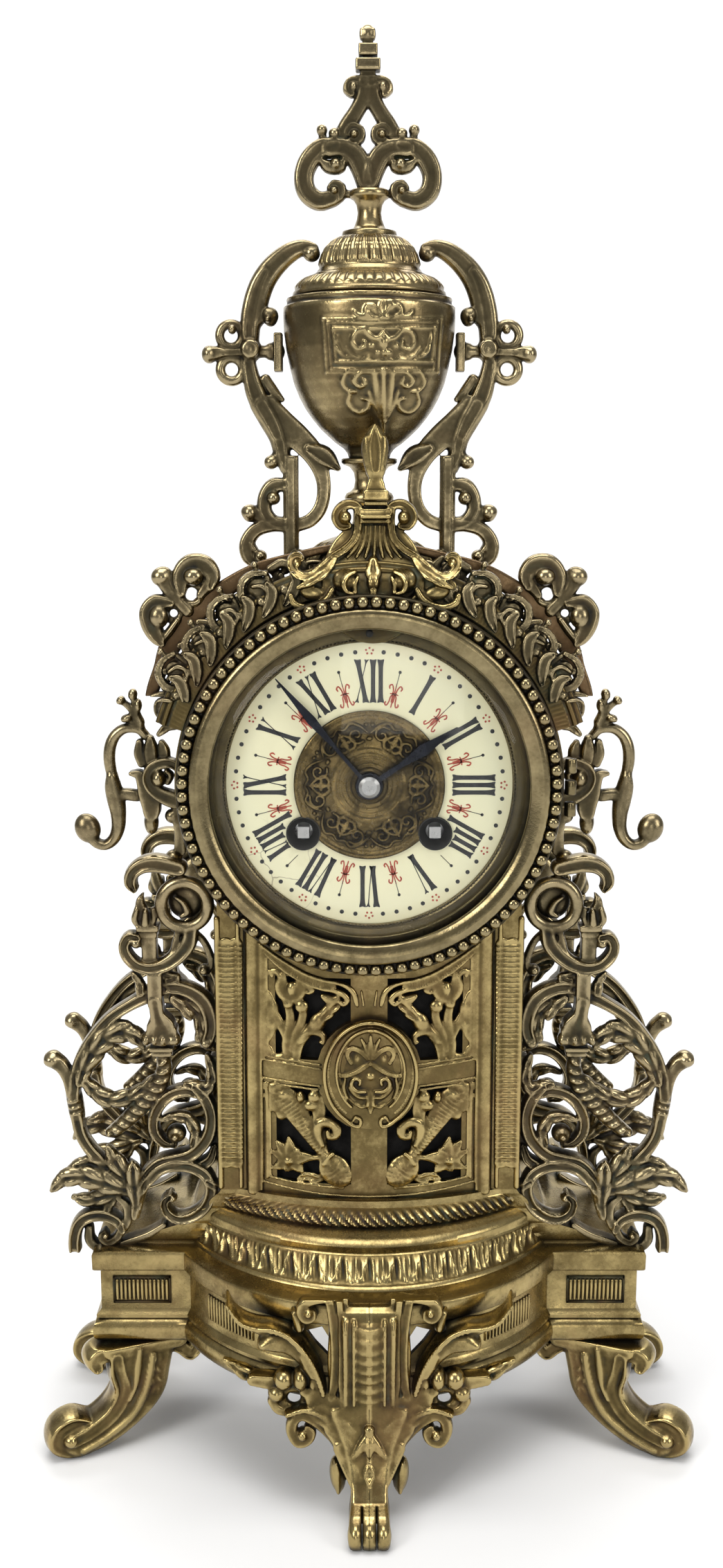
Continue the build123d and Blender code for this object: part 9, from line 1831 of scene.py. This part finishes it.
LZW = [(-1, 6.3), (3, 6.6), (8, 6.5), (11, 6.0), (14, 5.9), (20.5, 6.8), (26, 8.2), (30, 9.8), (35, 12.0), (38, 13.0), (39.5, 8.0), (50, 8.2), (66, 8.9), (74, 9.2)]
front_pts = [p for p in LEG if p[0] <= -38.0][:16]
fz = [p[1] for p in front_pts][::-1]
fy = [p[0] for p in front_pts][::-1]


def leg_face(x, z):
    return float(np.interp(z, fz, fy))


F = Field(-48, 0.9, -64.5, -29.0, -0.6, 76.0, 0.48)


def leg(X, Y, Z):
    sd = sdf_poly(LEG, Y[0], Z[0])[None, :, :]
    w = np.interp(Z, [p[0] for p in LZW], [p[1] for p in LZW])
    fx = np.abs(X) - w
    r = 1.3
    q = np.hypot(np.maximum(sd + r, 0), np.maximum(fx + r, 0)) + np.minimum(np.maximum(sd + r, fx + r), 0) - r
    return q


F.fn((-12, -63.5, -0.5), (1, -33, 75), leg, k=0.3)
sculpt(F, CAST["apron"], grow=1.12)
# the plate that fills between the scrolls and the leg
for x0, z0, x1, z1, w in ((-17.5, 40.5, -9.0, 38.5, 3.2), (-15.5, 36.0, -8.0, 31.0, 3.4), (-11.5, 31.0, -6.0, 24.0, 3.0), (-9.0, 25.0, -4.5, 17.0, 2.6)):
    F.stroke([[x0, z0, w, leg_face(0, z0) + 4.2, 2.6], [x1, z1, w, leg_face(0, z1) + 3.2, 2.8]], kind="flat", k=0.8)
# centre strip with overlapping scales, between two beads, and fluted sides
zs = np.linspace(40, 70, 12)
F.stroke([[-4.9, z, 0.55] + [leg_face(0, z) - 0.2, 0.9] for z in zs])
F.stroke([[-7.6, z, 0.8] + [leg_face(0, z) + 0.5, 1.2] for z in zs])
for i, z in enumerate(np.arange(41.5, 71, 3.7)):
    F.stroke([[-4.5, z + 0.9, 0.35, leg_face(0, z + 0.9) + 0.55, 0.5], [-2.3, z - 0.2, 0.6, leg_face(0, z - 0.2) + 0.5, 0.55], [0.2, z - 0.7, 0.7, leg_face(0, z - 0.7) + 0.52, 0.6]], k=1.0, step=0.6)
F.ell(0, leg_face(0, 32.0) - 0.3, 32.2, 1.7, 1.5, 1.5)
F.stroke([[-0.4, 30.5, 1.2, leg_face(0, 30.5) - 0.1, 1.2], [-2.2, 27.2, 1.6, leg_face(0, 27.2), 1.3], [-4.9, 24.0, 0.7, leg_face(0, 24) + 0.3, 1.0]], g=0.3)
F.stroke([[0, 31, 1.2, leg_face(0, 31) - 0.1, 1.2], [0, 27.5, 1.9, leg_face(0, 27.5) - 0.3, 1.3], [0, 24.2, 0.6, leg_face(0, 24) - 0.1, 1.0]], g=0.3)
F.stroke([[-1.0, 20.4, 0.35, leg_face(0, 20) - 0.1, 0.6], [-1.3, 18.6, 0.4, leg_face(0, 18.6) - 0.1, 0.6], [-0.1, 16.2, 0.4, leg_face(0, 16.2) - 0.1, 0.6]], k=0.2, step=0.5)
F.stroke([[-0.1, 21.6, 0.4, leg_face(0, 21.6) - 0.1, 0.6], [-1.0, 20.4, 0.4, leg_face(0, 20.4) - 0.1, 0.6]], k=0.2, step=0.5)
# toe: three lobes
for x in (-4.4, 0.0):
    F.ell(x, -58.2, 4.4, 2.6 if x else 2.9, 4.0, 4.4)
F.box(-2.5, -2.0, -64, -50, 0, 11, cut=True, r=0.2)
ap = both(F.arrays())
place("front_apron_cast", ap, "case", "front_apron", M_GILT)


# ------------------------------------------------------------------ corner feet
FOOTS = [
    (dict(y=0, h=6.6, kind="flat", soft=1.6), [[-90, 37.5, 3.0], [-80, 37.4, 3.4], [-66, 37.4, 3.0]]),
    (dict(y=0, h=6.6, g=0.8), [[-86, 36, 5.0], [-91.5, 36.6, 4.0], [-95.6, 34.6, 3.6], [-94.8, 31.8, 2.6]]),
    (dict(y=0, h=6.4, kind="flat", soft=2.4), [[-79.5, 36.5, 11.6], [-79.0, 29, 9.6], [-79.8, 22, 8.6], [-85.5, 14.0, 6.8], [-94, 8.2, 5.9], [-102, 6.2, 5.8]]),
    (dict(y=-2.2, h=5.2, g=1.2, gw=0.42, rim=0.4), [[-88.5, 35, 2.6], [-88.0, 29, 3.2], [-86.6, 22, 3.4], [-90.5, 14.8, 3.2], [-98.0, 9.8, 3.0], [-104, 7.6, 2.6]]),
    (dict(y=-2.6, h=4.8, rim=0.3), [[-76.0, 34, 1.6], [-77.2, 27, 1.8], [-79.6, 20, 1.8], [-84, 13.2, 1.8], [-92, 7.6, 1.8], [-101, 3.6, 1.7]]),
    (dict(y=-4.0, h=3.4), [[-80.5, 37, 1.4], [-81.5, 30, 2.0], [-82.4, 24, 1.3], [-84.6, 19, 0.8]]),
    (dict(y=0, h=6.6, g=0.9, rim=0.3), [[-98.6, 11.2, 2.6], [-103.6, 12.6, 3.4], [-108.2, 10.4, 3.8], [-109.2, 6.6, 4.0], [-105.5, 4.2, 4.1], [-100, 4.0, 3.6]]),
    (dict(y=0, h=6.0, g=0.6, rim=0.3), [[-74, 35.8, 3.0], [-69.6, 36.0, 3.0], [-65.2, 33.4, 2.8], [-61.6, 30.2, 2.7], [-59.6, 32.6, 2.4], [-60.8, 35.2, 1.8]]),
    (dict(y=-3.6, h=3.4, kind="leaf", lobes=1, pitch=4.0, notch=0.2), [[-73.8, 33, 1.6], [-75.4, 28, 3.4], [-74.8, 22, 2.6], [-76.6, 17, 0.8]]),
]
F = Field(-115.5, -56, -8.6, 8.6, -0.4, 42.6, 0.46)
for o, r in FOOTS:
    F.stroke(r, **o)
F.ell(-105.2, -3.8, 7.6, 2.9, 4.2, 2.8)
F.box(-120, -50, -12, 12, -3.0, 0.12, r=0.05, cut=True)
F.box(-120, -50, -12, 12, 38.9, 50, r=0.05, cut=True)
fa = F.arrays()


def put_foot(a, turn, dx, dy):
    v, t, q, c = a
    w = v.copy()
    x, y = v[:, 0] + 64.0, v[:, 1]
    s_, c_ = sin(radians(turn)), cos(radians(turn))
    w[:, 0] = x * c_ - y * s_ + dx
    w[:, 1] = x * s_ + y * c_ + dy
    return w, t, q, c


place("front_feet_cast", both(put_foot(fa, 22, -66.0, 7.5)), "case", "front_feet", M_GILT)
place("rear_feet_cast", both(put_foot(fa, -12, -63.5, 40.5)), "case", "rear_feet", M_GILT)


# ------------------------------------------------------------------ floor, light, camera
def stage():
    me = bpy.data.meshes.new("studio_floor")
    rows, n = [], 24
    prof = [(-3.2, 0.0), (0.9, 0.0)]
    for i in range(1, 11):
        a = radians(9 * i)
        prof.append((0.9 + 0.8 * sin(a), 0.8 - 0.8 * cos(a)))
    prof.append((1.7, 3.4))
    vs = [(x, y, z) for (y, z) in prof for x in (-4.0, 4.0)]
    fs = [(2 * i, 2 * i + 1, 2 * i + 3, 2 * i + 2) for i in range(len(prof) - 1)]
    me.from_pydata(vs, [], fs)
    me.polygons.foreach_set("use_smooth", [True] * len(me.polygons))
    ob = bpy.data.objects.new("studio_floor", me)
    COLL.objects.link(ob)
    M = Mat("studio_paper")
    col = M.ramp(M.noise(3.0, 3, 0.5), [(0.3, (0.80, 0.80, 0.80)), (0.7, (0.84, 0.84, 0.84))])
    M.link(col, M.b.inputs["Base Color"])
    M.set(Roughness=0.85)
    M.b.inputs["Specular IOR Level"].default_value = 0.25
    me.materials.append(M.m)
    return ob


stage()


def area(name, loc, target, size, energy, color=(1, 1, 1), size_y=None):
    li = bpy.data.lights.new(name, "AREA")
    li.shape = "RECTANGLE"
    li.size = size
    li.size_y = size_y or size
    li.energy = energy
    li.color = color
    ob = bpy.data.objects.new(name, li)
    ob.location = loc
    d = np.array(target, float) - np.array(loc, float)
    from mathutils import Vector
    ob.rotation_euler = Vector(d).to_track_quat("-Z", "Y").to_euler()
    COLL.objects.link(ob)
    return ob


area("key_left", (-1.0, -1.05, 0.95), (0, 0, 0.22), 0.55, 11.5, (1.0, 0.985, 0.95), 0.9)
area("fill_right", (1.15, -0.85, 0.75), (0, 0, 0.22), 0.5, 7.0, (1.0, 0.98, 0.95), 0.9)
area("top_soft", (0.0, -0.25, 1.55), (0, 0, 0.2), 1.1, 13.0, (1.0, 1.0, 1.0), 0.8)
area("front_low", (0.1, -1.5, 0.35), (0, 0, 0.2), 0.35, 1.6, (1.0, 0.98, 0.94), 0.5)
area("back_wash", (0.0, 1.25, 1.9), (0, 1.5, 0.5), 2.4, 26.0, (1, 1, 1), 0.6)

w = bpy.data.worlds.new("studio")
bpy.context.scene.world = w
w.use_nodes = True
nt = w.node_tree
nt.nodes.clear()
wo = nt.nodes.new("ShaderNodeOutputWorld")
bg = nt.nodes.new("ShaderNodeBackground")
tc = nt.nodes.new("ShaderNodeTexCoord")
sep = nt.nodes.new("ShaderNodeSeparateXYZ")
rr = nt.nodes.new("ShaderNodeValToRGB")
nt.links.new(tc.outputs["Generated"], sep.inputs[0])
mp = nt.nodes.new("ShaderNodeMapRange")
mp.inputs[1].default_value = -1.0
mp.inputs[2].default_value = 1.0
nt.links.new(sep.outputs["Z"], mp.inputs[0])
nt.links.new(mp.outputs[0], rr.inputs[0])
e = rr.color_ramp.elements
e[0].position, e[0].color = 0.0, (0.35, 0.35, 0.34, 1)
e[1].position, e[1].color = 1.0, (0.95, 0.96, 1.0, 1)
x = e.new(0.5); x.color = (0.30, 0.30, 0.295, 1)
x = e.new(0.62); x.color = (0.62, 0.62, 0.61, 1)
nt.links.new(rr.outputs[0], bg.inputs[0])
bg.inputs[1].default_value = 0.50
nt.links.new(bg.outputs[0], wo.inputs[0])

cam = bpy.data.cameras.new("camera")
cam.lens = 36.556
cam.sensor_width = 36.0
cam.sensor_fit = "AUTO"
cam.clip_start = 0.01
co = bpy.data.objects.new("camera", cam)
co.location = (-0.0025, -0.506, 0.333)
co.rotation_euler = (radians(79), 0, 0)
COLL.objects.link(co)
bpy.context.scene.camera = co
bpy.context.scene.view_settings.view_transform = "Standard"
bpy.context.scene.view_settings.look = "None"
bpy.context.scene.view_settings.exposure = 0.0
